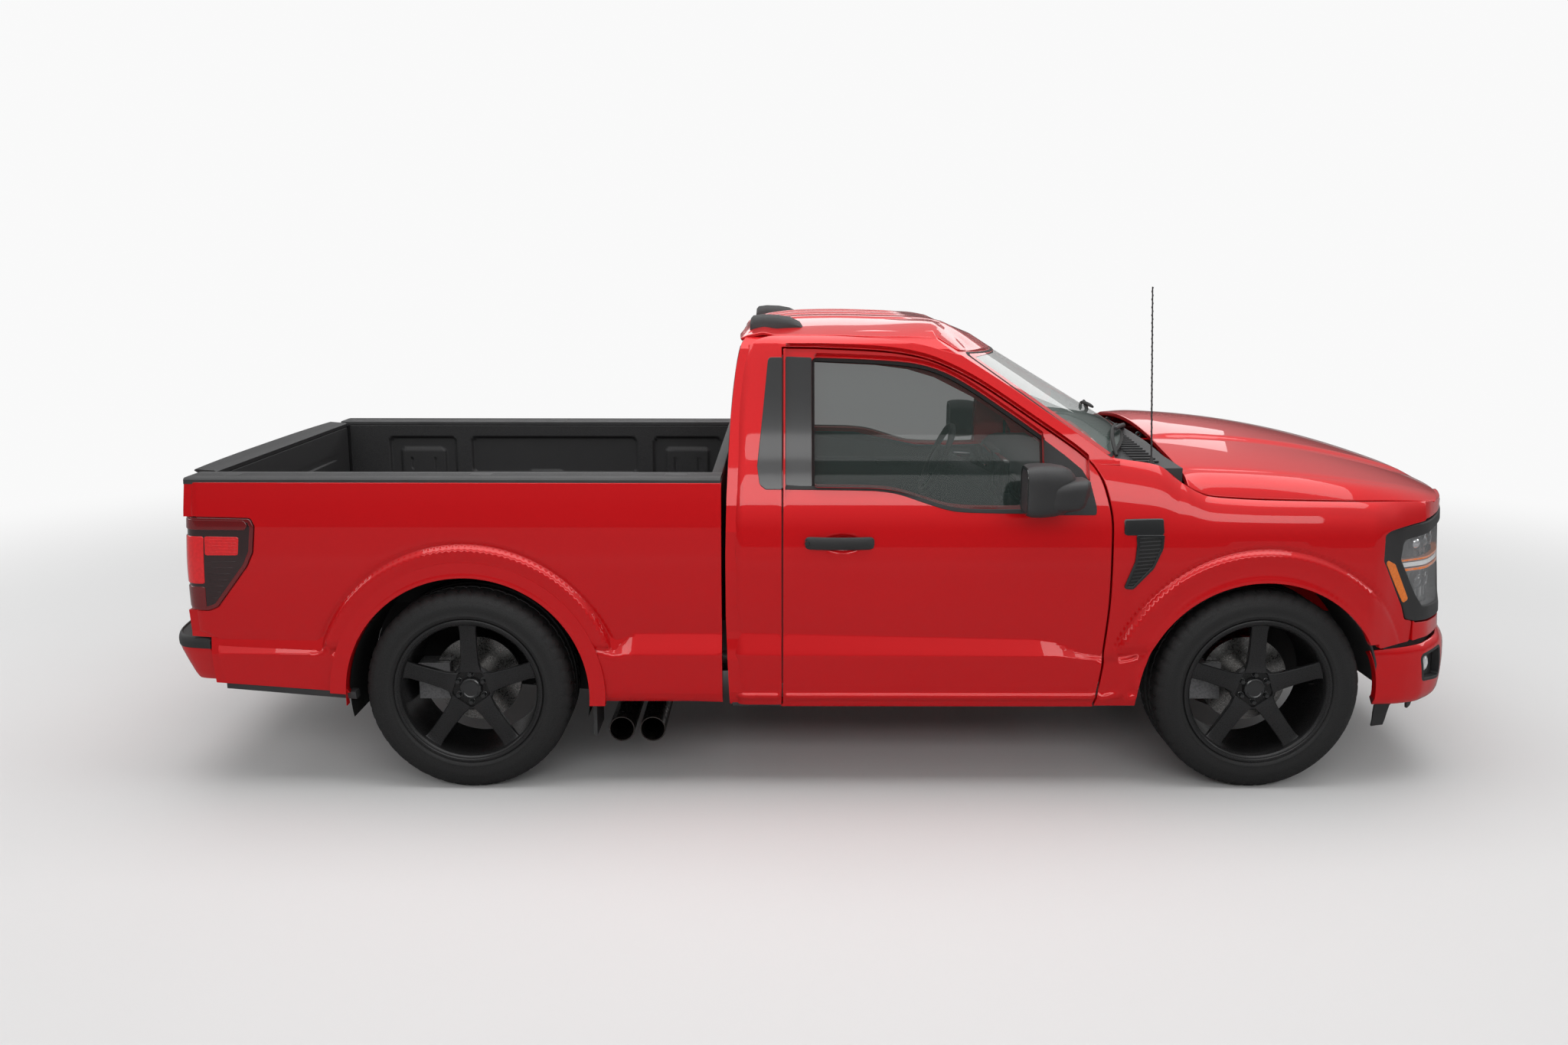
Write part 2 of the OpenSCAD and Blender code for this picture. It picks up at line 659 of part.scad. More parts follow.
module headlamps() {
    color(grey) at_front() both_sides() intersection() {
        front_band(nose_plan, 0, 80, [[565 + seat_gap, bumper_top + seat_gap],
            [930, bumper_top + seat_gap], [990, 1040], [800, 1074], [590 + seat_gap, 1128]]);
        side_extrude([[fo - 481, 1046], [fo - 310, 1074], [fo - 310, 1140], [fo, 1140],
            [fo, 642], [fo - 335, 642], [fo - 388, 770], [fo - 492, 940]], 0, big);
    }
}
module front_bumper() {
    color(red) at_front() {
        difference() {
            front_band(bumper_plan, 0, 70, [[-hw, 335], [-hw, 606], [-900, 606],
                [-860, bumper_top], [860, bumper_top], [900, 606], [hw, 606], [hw, 335]],
                fo - 469);
            block([fo - 100, fo + 10], [-420, 420], [400, 470]);
            both_sides() arch_cut(arch_r + 14, 0, hw, front_arch_drop);
        }
        // Beam that meets the frame
        block([fo - 195 + seat_gap, fo - 60], [-430, 430], [480, 590]);
        // Air dam below the bumper
        intersection() {
            front_band(bumper_plan, 30, 42, [[-hw, 225], [-hw, 336], [hw, 336], [hw, 225]]);
            block([fo - 330, fo], [-hw, hw], [0, 400]);
        }
    }
}
module liner() {
    r = arch_r + 4;
    difference() {
        arch_cut(r + 8, 651, hw - 36 - seat_gap, front_arch_drop);
        arch_cut(r, 600, hw, front_arch_drop);
        block([-700, 700], [0, big], [-300, 430]);
        difference() {
            block([-700, 700], [0, big], [0, 1000]);
            plan_shape(nose_plan, skin + 4, -2200, -1, 1001);
        }
    }
}
module wheel_liners() {
    color(black) {
        at_front() both_sides() liner();
        // Flaps ahead of the rear wheels
        at_rear() both_sides() block([arch_r + 6, arch_r + 20], [hw - 240, hw - 50],
            [212, 353 - seat_gap]);
    }
}

// --- bed -----------------------------------------------------------------

module bed_side_one() {
    out = [[bed_front, 353], [bed_front, rail_z - rail_t], [bed_rear + 6, rail_z - rail_t],
        [bed_rear, 1130], [bed_rear - 8, 760], [bed_rear - 8, 630], [bed_rear + 66, 625],
        [bed_rear + 72, 440], [-480, 400], [-480, 353]];
    difference() {
        intersection() {
            side_extrude(out, 0, big);
            cross_extrude(section(bed_side), -2000, 2500);
        }
        // Thin skin below the load floor, thick wall above it
        block([bed_rear + tailgate_t, big], [0, bed_in], [0, 2000]);
        block([-big, big], [0, gate_half + shut_gap], [0, 2000]);
        block([-big, big], [0, hw - 75], [0, bed_floor_z - bed_floor_t]);
        arch_cut(arch_r, 0, big);
        lamp_space(seat_gap);
        tube_y(gate_pin[0], [0, gate_half + 16], gate_pin[1], gate_pin_r + seat_gap);
    }
    intersection() {
        difference() {
            arch_cut(flare_r, hw - 36, hw);
            arch_cut(arch_r, hw - 40, hw + 1);
        }
        side_extrude(out, 0, big);
    }
}
module bed_sides() { color(red) at_rear() both_sides() bed_side_one(); }
lamp_outline = [for (p = [[-12, 740], [-24, 990], [-10, 1106], [258, 1100], [272, 1070],
    [262, 970], [236, 914], [112, 754], [78, 739]]) [bed_rear + p[0], p[1]]];
module lamp_space(d) {
    side_extrude(grown(lamp_outline, d), hw - 90 - d, hw + 10);
    block([bed_rear - 132, bed_rear + 48 + d], [gate_half + 20 - d, hw], [739 - d, 1107 + d]);
}
module tail_lamps() {
    color([0.5, 0.02, 0.03]) at_rear() both_sides() intersection() {
        lamp_space(0);
        cross_extrude(section(bed_side, -2), -2000, 2500);
        block([bed_rear - 24, 0], [0, hw], [700, 1200]);
    }
}
module bed_floor() {
    floor_rear = bed_rear + tailgate_t + 10;
    color(black) at_rear() {
        difference() {
            union() {
                block([floor_rear, bed_front], [-bed_in, bed_in],
                    [bed_floor_z - bed_floor_t, bed_floor_z]);
                both_sides() arch_cut(arch_r + wheelhouse_t, wheelhouse_in, bed_in);
            }
            both_sides() arch_cut(arch_r, wheelhouse_in + wheelhouse_t, big);
            block([-big, big], [-hw, hw], [-big, bed_floor_z - bed_floor_t]);
        }
        // Front wall of the bed
        block([bed_front - 24, bed_front], [-bed_in, bed_in], [bed_floor_z, rail_z - rail_t]);
        // Ribs pressed into the floor
        for (i = [-5:5]) block([floor_rear + 50, bed_front - 60],
            [i * 110 - 22, i * 110 + 22], [bed_floor_z - 1, bed_floor_z + 7]);
    }
}
module bed_rails() {
    color(black) at_rear() {
        both_sides() block([bed_rear + 4, bed_front + 1], [bed_in - 18, hw - 44],
            [rail_z - rail_t, rail_z]);
        block([bed_front - 44, bed_front + 1], [17 - bed_in, bed_in - 17],
            [rail_z - rail_t, rail_z]);
    }
}
module tailgate() {
    color(red) at_rear() difference() {
        block([bed_rear - 4, bed_rear + tailgate_t], [-gate_half, gate_half], [gate_low, gate_top]);
        block([bed_rear + tailgate_t - 10, bed_rear + 100], [-600, 600], [820, 1150]);
    }
    color(red) at_rear() both_sides()
        tube_y(gate_pin[0], [gate_half - 1, gate_half + 14], gate_pin[1], gate_pin_r);
}
module tailgate_spoiler() {
    color(black) at_rear() side_extrude([[bed_rear + tailgate_t - 4, gate_top],
        [bed_rear + tailgate_t - 4, rail_z - 4], [bed_rear, rail_z], [bed_rear - 60, rail_z + 2],
        [bed_rear - 62, rail_z - 4], [bed_rear - 4, gate_top]], -gate_half, gate_half);
}
rear_plan = [[-rear_overhang, 514], [15 - rear_overhang, 300], [42 - rear_overhang, 150],
    [77 - rear_overhang, 80], [217 - rear_overhang, 42]];
module rear_plan_shape(d, z0, z1) {
    edge = [for (p = rear_plan) [p[0] + d, hw - p[1] - d]];
    translate([0, 0, z0]) linear_extrude(z1 - z0)
        polygon(concat(edge, [[337 - rear_overhang, hw - 42 - d], [337 - rear_overhang, 42 + d - hw]],
            [for (i = [len(edge) - 1:-1:0]) [edge[i][0], -edge[i][1]]]));
}
receiver_x = 67 - rear_overhang;
receiver_z = 398;
receiver_out = receiver_in / 2 + 6.35;
module rear_bumper() {
    color(red) at_rear() {
        difference() {
            rear_plan_shape(0, 420, 616);
            rear_plan_shape(40, 400, 606);
            block([213 - rear_overhang, 0], [-hw, hw], [400, 700]);
            translate([87 - rear_overhang, 0, 560]) cylinder(h = 100, d = ball_hole_d, $fn = 48);
            block([-rear_overhang - 10, receiver_x], [-receiver_in / 2, receiver_in / 2],
                [400, receiver_z + receiver_in / 2]);
        }
        // Bracket to the frame, and the hitch receiver
        both_sides() block([32 - rear_overhang, 197 - rear_overhang - seat_gap],
            [rail_in, rail_out], [480, 600]);
        difference() {
            union() {
                block([receiver_x - 55, receiver_x + 210], [-receiver_out, receiver_out],
                    [receiver_z - receiver_out, receiver_z + receiver_out]);
                block([receiver_x + 130, receiver_x + 210], [-rail_out, rail_out],
                    [receiver_z + receiver_out - 1, 470 - seat_gap]);
            }
            block([receiver_x - 60, receiver_x + 220], [-receiver_in / 2, receiver_in / 2],
                [receiver_z - receiver_in / 2, receiver_z + receiver_in / 2]);
            tube_y(receiver_x, [-100, 100], receiver_z, hitch_pin_d / 2);
        }
    }
}

// --- cabin ---------------------------------------------------------------

seat_half = 660;
module bench_seat() {
    z0 = floor_z + seat_gap;
    color(grey) at_front() {
        side_extrude([[-1880, z0], [-1880, 830], [-1960, 1380], [-1900, 1400], [-1790, 1370],
            [-1700, 900], [-1250, 910], [-1200, 860], [-1215, 760], [-1300, z0]],
            -seat_half, seat_half);
        both_sides() {
            block([-1945, -1845], [290, 550], [1430, 1580]);
            for (y = [370, 470]) translate([-1895, y, 1380]) cylinder(h = 60, r = 7, $fn = 24);
        }
    }
}
dash_half = hw - cavity_in - seat_gap;
wheel_at = [-1130, 370, 1130];
column_tilt = 24;
module dashboard() {
    color(black) at_front() {
        intersection() {
            side_extrude([[-600 - seat_gap, 900], [-840, 930], [-870, 1010], [-850, 1150],
                [-790, belt_z - 2], [-600 - seat_gap, belt_z - 2]], -dash_half, dash_half);
            screen_side(cab_wall + seat_gap);
        }
        translate(wheel_at) rotate([0, 90 + column_tilt, 0]) translate([0, 0, 32])
            cylinder(h = 290, r = 26, $fn = 32);
        // Pedals on their arms
        for (y = [290, 420]) block([-780, -766], [y - 30, y + 30], [660, 930]);
    }
}
module steering_wheel() {
    color(black) at_front() translate(wheel_at) rotate([0, 90 + column_tilt, 0]) {
        rotate_extrude($fn = 96) translate([steer_wheel_d / 2 - 15, 0]) circle(r = 15, $fn = 32);
        translate([0, 0, -10]) cylinder(h = 42 - run_gap, r = 62, $fn = 48);
        translate([-12, -steer_wheel_d / 2 + 15, -8]) cube([24, steer_wheel_d - 30, 16]);
        translate([0, -14, -8]) cube([steer_wheel_d / 2 - 15, 28, 16]);
    }
}

// --- small pieces --------------------------------------------------------

module antenna() {
    color(black) at_front() {
        difference() {
            translate([-438, 155 - hw, 1270]) cylinder(h = 46, r = 16, $fn = 32);
            translate([0, 0, seat_gap]) cowl_lid_shape();
        }
        translate([-438, 155 - hw, 1300]) rotate([0, -3, 0]) cylinder(h = 685, r = 3.5, $fn = 24);
    }
}
module roof_pods() {
    color(black) at_front() both_sides() difference() {
        side_extrude([[-2012, 1780], [-2000, 1848], [-1900, 1858], [-1840, 1852],
            [-1790, 1780]], 520, 600);
        cab_body();
    }
}

// --- wheels --------------------------------------------------------------

rim_half = tyre_w / 2 - 3;
rim_r = rim_d / 2;
module on_wheel(x, y) { translate([x, y, hub_z]) rotate([-90, 0, 0]) children(); }
hub_face = 42;
module rim() {
    // Barrel with its two flanges, turned about the axle
    rotate_extrude($fn = 128) polygon([[rim_r - 18, -rim_half], [rim_r + 14, -rim_half],
        [rim_r + 14, -rim_half + 10], [rim_r, -rim_half + 14], [rim_r, rim_half - 14],
        [rim_r + 14, rim_half - 10], [rim_r + 14, rim_half], [rim_r - 18, rim_half]]);
    difference() {
        translate([0, 0, hub_face]) cylinder(h = 56, r = 92, $fn = 64);
        translate([0, 0, hub_face - 1]) cylinder(h = 20, r = 35, $fn = 48);
    }
    for (i = [0:spokes - 1]) rotate([0, 0, i * 360 / spokes + 90])
        translate([0, 0, hub_face + 8]) linear_extrude(48)
            polygon([[70, -42], [rim_r - 10, -33], [rim_r - 10, 33], [70, 42]]);
}
module tyre() {
    bead = rim_r + 1;
    side = tyre_w / 2;
    crown = tyre_d / 2;
    rotate_extrude($fn = 128) polygon([[bead, -side + 20], [bead + 16, -side + 17],
        [bead + 20, -side + 4], [crown - 70, -side], [crown - 32, -side + 8],
        [crown - 8, -side + 24], [crown, -side + 44], [crown, side - 44], [crown - 8, side - 24],
        [crown - 32, side - 8], [crown - 70, side], [bead + 20, side - 4],
        [bead + 16, side - 17], [bead, side - 20], [bead, side - 40], [bead + 30, side - 18],
        [crown - 66, side - 16], [crown - 22, side - 48], [crown - 22, -side + 48],
        [crown - 66, -side + 16], [bead + 30, -side + 18], [bead, -side + 40]]);
}
module disc(d) {
    translate([0, 0, -hub_back]) cylinder(h = 28, r = d / 2, $fn = 96);
    translate([0, 0, -hub_back + 20]) cylinder(h = hub_back - 20 + hub_face, r = 82, $fn = 64);
}
module wheel_front_left() { color(black) on_wheel(xf, front_y) rim(); }
module wheel_front_right() { color(black) on_wheel(xf, -front_y) mirror([0, 0, 1]) rim(); }
module wheel_rear_left() { color(black) on_wheel(xr, rear_y) rim(); }
module wheel_rear_right() { color(black) on_wheel(xr, -rear_y) mirror([0, 0, 1]) rim(); }
module tyre_front_left() { color(grey) on_wheel(xf, front_y) tyre(); }
module tyre_front_right() { color(grey) on_wheel(xf, -front_y) tyre(); }
module tyre_rear_left() { color(grey) on_wheel(xr, rear_y) tyre(); }
module tyre_rear_right() { color(grey) on_wheel(xr, -rear_y) tyre(); }
module disc_front_left() { color(silver) on_wheel(xf, front_y) disc(disc_d); }
module disc_front_right() { color(silver) on_wheel(xf, -front_y) mirror([0, 0, 1]) disc(disc_d); }
module disc_rear_left() { color(silver) on_wheel(xr, rear_y) disc(disc_d); }
module disc_rear_right() { color(silver) on_wheel(xr, -rear_y) mirror([0, 0, 1]) disc(disc_d); }

module knuckle() {
    y = kingpin_y - front_y;
    // Hub carrier, upright between the ball joints, and the brake caliper
    tube_y(0, [y - 30, -hub_back - run_gap], 0, 62);
    translate([0, y, lower_arm_z[1] - axle_above_datum + run_gap])
        cylinder(h = upper_arm_z[0] - lower_arm_z[1] - 2 * run_gap, r = 24, $fn = 48);
    caliper(y - 24);
}
module knuckle_left() { color(grey) translate([xf, front_y, hub_z]) knuckle(); }
module knuckle_right() { color(grey) mirror([0, 1, 0]) translate([xf, front_y, hub_z]) knuckle(); }

chassis_frame();
powertrain();
rear_axle();
front_suspension();
exhaust();
fuel_tank();
cab_shell();
cab_glass();
cowl_panel();
front_fenders();
grille();
headlamps();
front_bumper();
wheel_liners();
bed_floor();
bed_sides();
bed_rails();
tail_lamps();
rear_bumper();
bench_seat();
dashboard();
antenna();
roof_pods();
door_left();
door_glass_left();
mirror_left();
door_right();
door_glass_right();
mirror_right();
hood();
tailgate();
tailgate_spoiler();
steering_wheel();
knuckle_left();
knuckle_right();
wheel_front_left();
wheel_front_right();
wheel_rear_left();
wheel_rear_right();
tyre_front_left();
tyre_front_right();
tyre_rear_left();
tyre_rear_right();
disc_front_left();
disc_front_right();
disc_rear_left();
disc_rear_right();
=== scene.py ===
"""Regular-cab pickup truck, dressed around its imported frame. Lengths are millimetres until a mesh is
made. Cab and nose pieces are measured along the truck from the front axle, bed pieces from the rear."""

import math

import bpy
import numpy as np
from mathutils import Matrix, Vector, geometry


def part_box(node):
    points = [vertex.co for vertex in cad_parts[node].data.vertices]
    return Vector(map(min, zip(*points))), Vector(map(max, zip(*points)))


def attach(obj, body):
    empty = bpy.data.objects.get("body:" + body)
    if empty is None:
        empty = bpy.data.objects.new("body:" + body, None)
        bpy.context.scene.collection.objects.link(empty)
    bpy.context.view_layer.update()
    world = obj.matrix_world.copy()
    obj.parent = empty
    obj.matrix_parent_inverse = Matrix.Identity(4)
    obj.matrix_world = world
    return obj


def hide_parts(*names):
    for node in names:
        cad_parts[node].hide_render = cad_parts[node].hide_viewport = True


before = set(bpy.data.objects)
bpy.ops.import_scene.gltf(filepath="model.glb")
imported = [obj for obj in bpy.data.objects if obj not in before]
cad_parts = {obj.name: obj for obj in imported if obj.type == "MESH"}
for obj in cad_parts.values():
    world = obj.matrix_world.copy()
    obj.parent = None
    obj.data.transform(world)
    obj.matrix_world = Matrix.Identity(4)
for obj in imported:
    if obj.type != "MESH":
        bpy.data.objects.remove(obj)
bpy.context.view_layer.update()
MM = 0.001
PI = math.pi


def cad(node):
    """Lowest and highest corners of a CAD node, in millimetres."""
    low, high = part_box(node)
    return low / MM, high / MM


# --- driving dimensions, from the frame ------------------------------------------------

_tyre_f, _tyre_r, _rim = cad("tyre_front_left"), cad("tyre_rear_left"), cad("wheel_front_left")
XF = (_tyre_f[0].x + _tyre_f[1].x) / 2
XR = (_tyre_r[0].x + _tyre_r[1].x) / 2
AXLE_Z = (_tyre_f[0].z + _tyre_f[1].z) / 2
TYRE_R = (_tyre_f[1].z - _tyre_f[0].z) / 2
TYRE_W = _tyre_f[1].y - _tyre_f[0].y
FRONT_Y = (_tyre_f[0].y + _tyre_f[1].y) / 2
REAR_Y = (_tyre_r[0].y + _tyre_r[1].y) / 2
RIM_R = (_rim[1].z - _rim[0].z) / 2 - 14
HW = cad("front_fenders")[1].y
FO = cad("front_bumper")[1].x - XF
ARCH_R = TYRE_R + 72
FRONT_ARCH = (0, AXLE_Z - 32)
REAR_ARCH = (0, AXLE_Z - 16)
CAB_BACK = cad("cab_shell")[0].x - XF
BED_FRONT = cad("bed_floor")[1].x - XR
BED_REAR = cad("tailgate")[0].x - XR + 4
RAIL_Z = cad("bed_rails")[1].z
BED_FLOOR_Z = cad("tailgate")[0].z + 7
GATE_HALF = cad("tailgate")[1].y - 14
SHUT = 6


# --- small mathematics -----------------------------------------------------------------


def ease(t):
    t = np.clip(t, 0, 1)
    return t * t * (3 - 2 * t)


def curve(table):
    """A smooth curve through (position, value) pairs that never overshoots them, for arrays."""
    x, y = (np.array(c, float) for c in zip(*sorted(table)))
    h, d = np.diff(x), np.diff(y) / np.diff(x)
    m = np.concatenate([[d[0]], np.zeros(len(x) - 2), [d[-1]]])
    for i in range(1, len(x) - 1):
        if d[i - 1] * d[i] > 0:
            a, b = 2 * h[i] + h[i - 1], h[i] + 2 * h[i - 1]
            m[i] = (a + b) / (a / d[i - 1] + b / d[i])

    def at(q):
        q = np.clip(np.asarray(q, float), x[0], x[-1])
        i = np.clip(np.searchsorted(x, q) - 1, 0, len(h) - 1)
        t = (q - x[i]) / h[i]
        return ((1 + 2 * t) * (1 - t) ** 2 * y[i] + t * (1 - t) ** 2 * h[i] * m[i]
                + t * t * (3 - 2 * t) * y[i + 1] + t * t * (t - 1) * h[i] * m[i + 1])

    return at


def polyline(table, soft):
    """Straight lines between (position, value) pairs, with the corners rounded over soft."""
    x, y = (np.array(c, float) for c in zip(*sorted(table)))

    def at(q):
        q = np.asarray(q, float)
        return sum(w * np.interp(q + soft * o, x, y)
                   for o, w in ((-0.8, 0.1), (-0.4, 0.2), (0, 0.4), (0.4, 0.2), (0.8, 0.1)))

    return at


def rect(u0, v0, u1, v1):
    """The corners of a rectangle, in order round it."""
    return [(u0, v0), (u1, v0), (u1, v1), (u0, v1)]


def rounded(points, radius, step=6):
    """A closed outline with its corners turned into arcs; radius is one number or one a corner."""
    n = len(points)
    radii = radius if isinstance(radius, (list, tuple)) else [radius] * n
    out = []
    for i in range(n):
        a, b, c = (np.array(points[k % n], float) for k in (i - 1, i, i + 1))
        u, v = a - b, c - b
        lu, lv = np.linalg.norm(u), np.linalg.norm(v)
        u, v = u / lu, v / lv
        half = math.acos(max(-1, min(1, float(u @ v)))) / 2
        if radii[i] < 0.5 or half > PI / 2 - 0.02:
            out.append(tuple(b))
            continue
        reach = min(radii[i] / math.tan(half), 0.49 * lu, 0.49 * lv)
        r = reach * math.tan(half)
        centre = b + (u + v) / np.linalg.norm(u + v) * r / math.sin(half)
        start, end = b + u * reach - centre, b + v * reach - centre
        sweep = math.atan2(start[0] * end[1] - start[1] * end[0], float(start @ end))
        k = max(2, int(abs(sweep) * r / step) + 1)
        for j in range(k + 1):
            s = sweep * j / k
            out.append((centre[0] + start[0] * math.cos(s) - start[1] * math.sin(s),
                        centre[1] + start[0] * math.sin(s) + start[1] * math.cos(s)))
    return out


def dense(loop, step):
    """The outline with points added so that none are further apart than step."""
    out = []
    for i, a in enumerate(loop):
        b = loop[(i + 1) % len(loop)]
        k = max(1, int(math.hypot(b[0] - a[0], b[1] - a[1]) / step + 0.5))
        out += [(a[0] + (b[0] - a[0]) * j / k, a[1] + (b[1] - a[1]) * j / k) for j in range(k)]
    return out


def area(loop):
    p = np.array(loop)
    q = np.roll(p, -1, 0)
    return float((p[:, 0] * q[:, 1] - q[:, 0] * p[:, 1]).sum() / 2)


def outward(loop):
    """Unit vectors that point out of a counter-clockwise outline, one a point."""
    p = np.array(loop)
    edge = np.roll(p, -1, 0) - p
    edge /= np.maximum(np.linalg.norm(edge, axis=1), 1e-9)[:, None]
    normal = np.stack([edge[:, 1], -edge[:, 0]], 1)
    both = normal + np.roll(normal, 1, 0)
    return both / np.maximum(np.linalg.norm(both, axis=1), 0.4)[:, None]


def inside(points, loop):
    p, q = np.array(loop), np.roll(np.array(loop), -1, 0)
    hit = np.zeros(len(points), bool)
    for (ax, ay), (bx, by) in zip(p, q):
        if ay == by:
            continue
        cross = (ay > points[:, 1]) != (by > points[:, 1])
        hit ^= cross & (points[:, 0] < (bx - ax) * (points[:, 1] - ay) / (by - ay) + ax)
    return hit


def grown(loop, d):
    """The outline moved outward by d."""
    if area(loop) < 0:
        loop = loop[::-1]
    return [tuple(p) for p in np.array(loop) + outward(loop) * d]


def arc(centre, r, a0, a1, n):
    """Points of a circle's arc, angles in degrees."""
    return [(centre[0] + r * math.cos(math.radians(a0 + (a1 - a0) * i / n)),
             centre[1] + r * math.sin(math.radians(a0 + (a1 - a0) * i / n))) for i in range(n + 1)]


# --- making pieces ---------------------------------------------------------------------


class Shell:
    """Vertices, their normals and faces of one piece, gathered before its mesh is made."""

    def __init__(self):
        self.points, self.normals, self.faces = [], [], []

    def add(self, points, faces, normals=None, flip=False):
        base = len(self.points)
        self.points += [tuple(p) for p in points]
        self.normals += [tuple(n) for n in normals] if normals is not None else [(0, 0, 0)] * len(points)
        self.faces += [tuple(base + i for i in (f[::-1] if flip else f)) for f in faces]
        return self

    def mirrored(self):
        """The same piece across the truck's middle plane."""
        twin = Shell()
        twin.points = [(x, -y, z) for x, y, z in self.points]
        twin.normals = [(x, -y, z) for x, y, z in self.normals]
        twin.faces = [f[::-1] for f in self.faces]
        return twin

    def join(self, other):
        return self.add(other.points, other.faces, other.normals)

    def moved(self, x=0, y=0, z=0):
        self.points = [(p[0] + x, p[1] + y, p[2] + z) for p in self.points]
        return self

    def turned(self, matrix):
        """Every point and normal through a 3x3 or 4x4 matrix."""
        full = matrix.to_4x4()
        spin = full.to_3x3()
        self.points = [tuple(full @ Vector(p)) for p in self.points]
        self.normals = [tuple(spin @ Vector(n)) for n in self.normals]
        return self

    def make(self, name, material, body="truck_body", smooth=35, slot=None, replaces=()):
        mesh = bpy.data.meshes.new(name)
        mesh.from_pydata([(x * MM, y * MM, z * MM) for x, y, z in self.points], [], self.faces)
        mesh.validate()
        mesh.materials.append(material)
        mesh.shade_smooth()
        piece = bpy.data.objects.new(name, mesh)
        bpy.context.scene.collection.objects.link(piece)
        if any(any(n) for n in self.normals):
            mesh.normals_split_custom_set_from_vertices(self.normals)
        elif smooth < 180:
            mesh.set_sharp_from_angle(angle=math.radians(smooth))
        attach(piece, body)
        slot = slot or SLOT_OF[material]
        if replaces:
            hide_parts(*replaces)
        return piece


def both(name, shell, material, bodies=None, slot=None, replaces=(), **more):
    """A left piece and its mirror image: two pieces on two bodies, or one on the truck's body."""
    if bodies:
        for side, body in zip(("left", "right"), bodies):
            half = shell if side == "left" else shell.mirrored()
            half.make(f"{name}_{side}", material, body, slot=slot,
                      replaces=[r.replace("SIDE", side) for r in replaces], **more)
    else:
        Shell().join(shell).join(shell.mirrored()).make(name, material, slot=slot,
                                                        replaces=replaces, **more)


DOORS = ("left_door", "right_door")


def surface_normals(place, u, v, sign):
    e = 0.6
    du = place(u + e, v) - place(u - e, v)
    dv = place(u, v + e) - place(u, v - e)
    n = np.cross(du, dv) * sign
    return n / np.maximum(np.linalg.norm(n, axis=1), 1e-9)[:, None]


def skin(place, outline, holes=(), inner=(), *, step, hem, depth, sign=1, lift=0):
    """A sheet-metal panel: the flat outline laid on a curved surface, with its edges turned in.
    place(u, v) gives points in space for arrays u and v, and inner the points to mesh inside."""
    shell = Shell()
    loops = [dense(outline if area(outline) > 0 else outline[::-1], step)]
    loops += [dense(h[::-1] if area(h) > 0 else h, step) for h in holes]
    rings = [(1, 0), (0.62, 0.08), (0.29, 0.29), (0.08, 0.62), (0, 1)] if hem else [(0, 0)]
    flat, edges, turned = [], [], []
    for loop in loops:
        p = np.array(loop)
        out = outward(loop)
        start = len(flat)
        flat += [tuple(q) for q in p - out * hem]
        edges += [(start + i, start + (i + 1) % len(loop)) for i in range(len(loop))]
        turned.append((start, p, out))
    border = np.array(flat)
    if len(inner):
        grid = np.array(inner, float)
        keep = inside(grid, loops[0])
        for loop in loops[1:]:
            keep &= ~inside(grid, loop)
        grid = grid[keep]
        near = np.array([np.min(np.hypot(*(border - q).T)) for q in grid]) if len(grid) else []
        flat += [tuple(q) for q, d in zip(grid, near) if d > 0.42 * step]
    result = geometry.delaunay_2d_cdt([Vector(p) for p in flat], edges, [], 4, 1e-5)
    uv = np.array([tuple(p) for p in result[0]])
    n = surface_normals(place, uv[:, 0], uv[:, 1], sign)
    points = place(uv[:, 0], uv[:, 1]) + n * lift
    faces = [tuple(f) for f in result[2]]
    middles = np.array([uv[list(f)].mean(0) for f in faces])
    filled = inside(middles, [flat[i] for i, _ in edges[:len(loops[0])]])
    for start, p, _ in turned[1:]:
        filled &= ~inside(middles, flat[start:start + len(p)])
    faces = [f for f, full in zip(faces, filled) if full]
    ccw = [f if area([uv[i] for i in f]) > 0 else f[::-1] for f in faces]
    shell.add(points, ccw, n, flip=sign < 0)
    for _, p, out in turned:
        k = len(p)
        strip, normals = [], []
        span = list(rings) + [(0, max(depth, hem) / max(hem, 1e-6))] if hem else [(0, 0), (0, depth)]
        for inset, deep in span:
            q = p - out * hem * inset
            base_n = surface_normals(place, q[:, 0], q[:, 1], sign)
            base = place(q[:, 0], q[:, 1]) + base_n * lift
            side = place(q[:, 0] + out[:, 0], q[:, 1] + out[:, 1]) - place(q[:, 0], q[:, 1])
            side -= base_n * (side * base_n).sum(1)[:, None]
            side /= np.maximum(np.linalg.norm(side, axis=1), 1e-9)[:, None]
            strip.append(base - base_n * (deep * hem if hem else deep))
            tilt = min(1, deep) if hem else 1
            mix = base_n * math.cos(tilt * PI / 2) + side * math.sin(tilt * PI / 2)
            normals.append(mix)
        pts = np.concatenate(strip)
        quads = [(r * k + i, (r + 1) * k + i, (r + 1) * k + (i + 1) % k, r * k + (i + 1) % k)
                 for r in range(len(span) - 1) for i in range(k)]
        shell.add(pts, quads, np.concatenate(normals), flip=sign < 0)
    return shell


def lattice(u0, u1, v0, v1, du, dv, rows=()):
    """Points of a lattice, with extra rows at given heights v."""
    us = np.arange(u0, u1 + du / 2, du)
    vs = sorted(set(np.round(np.arange(v0, v1 + dv / 2, dv), 1)) | set(rows))
    return [(u, v) for v in vs for u in us]


def polar(centre, radii, a0, a1, step):
    """Points on circles round a centre, about step apart, angles in degrees."""
    return [p for r in radii for p in arc(centre, r, a0, a1, max(4, int(math.radians(a1 - a0) * r / step)))]


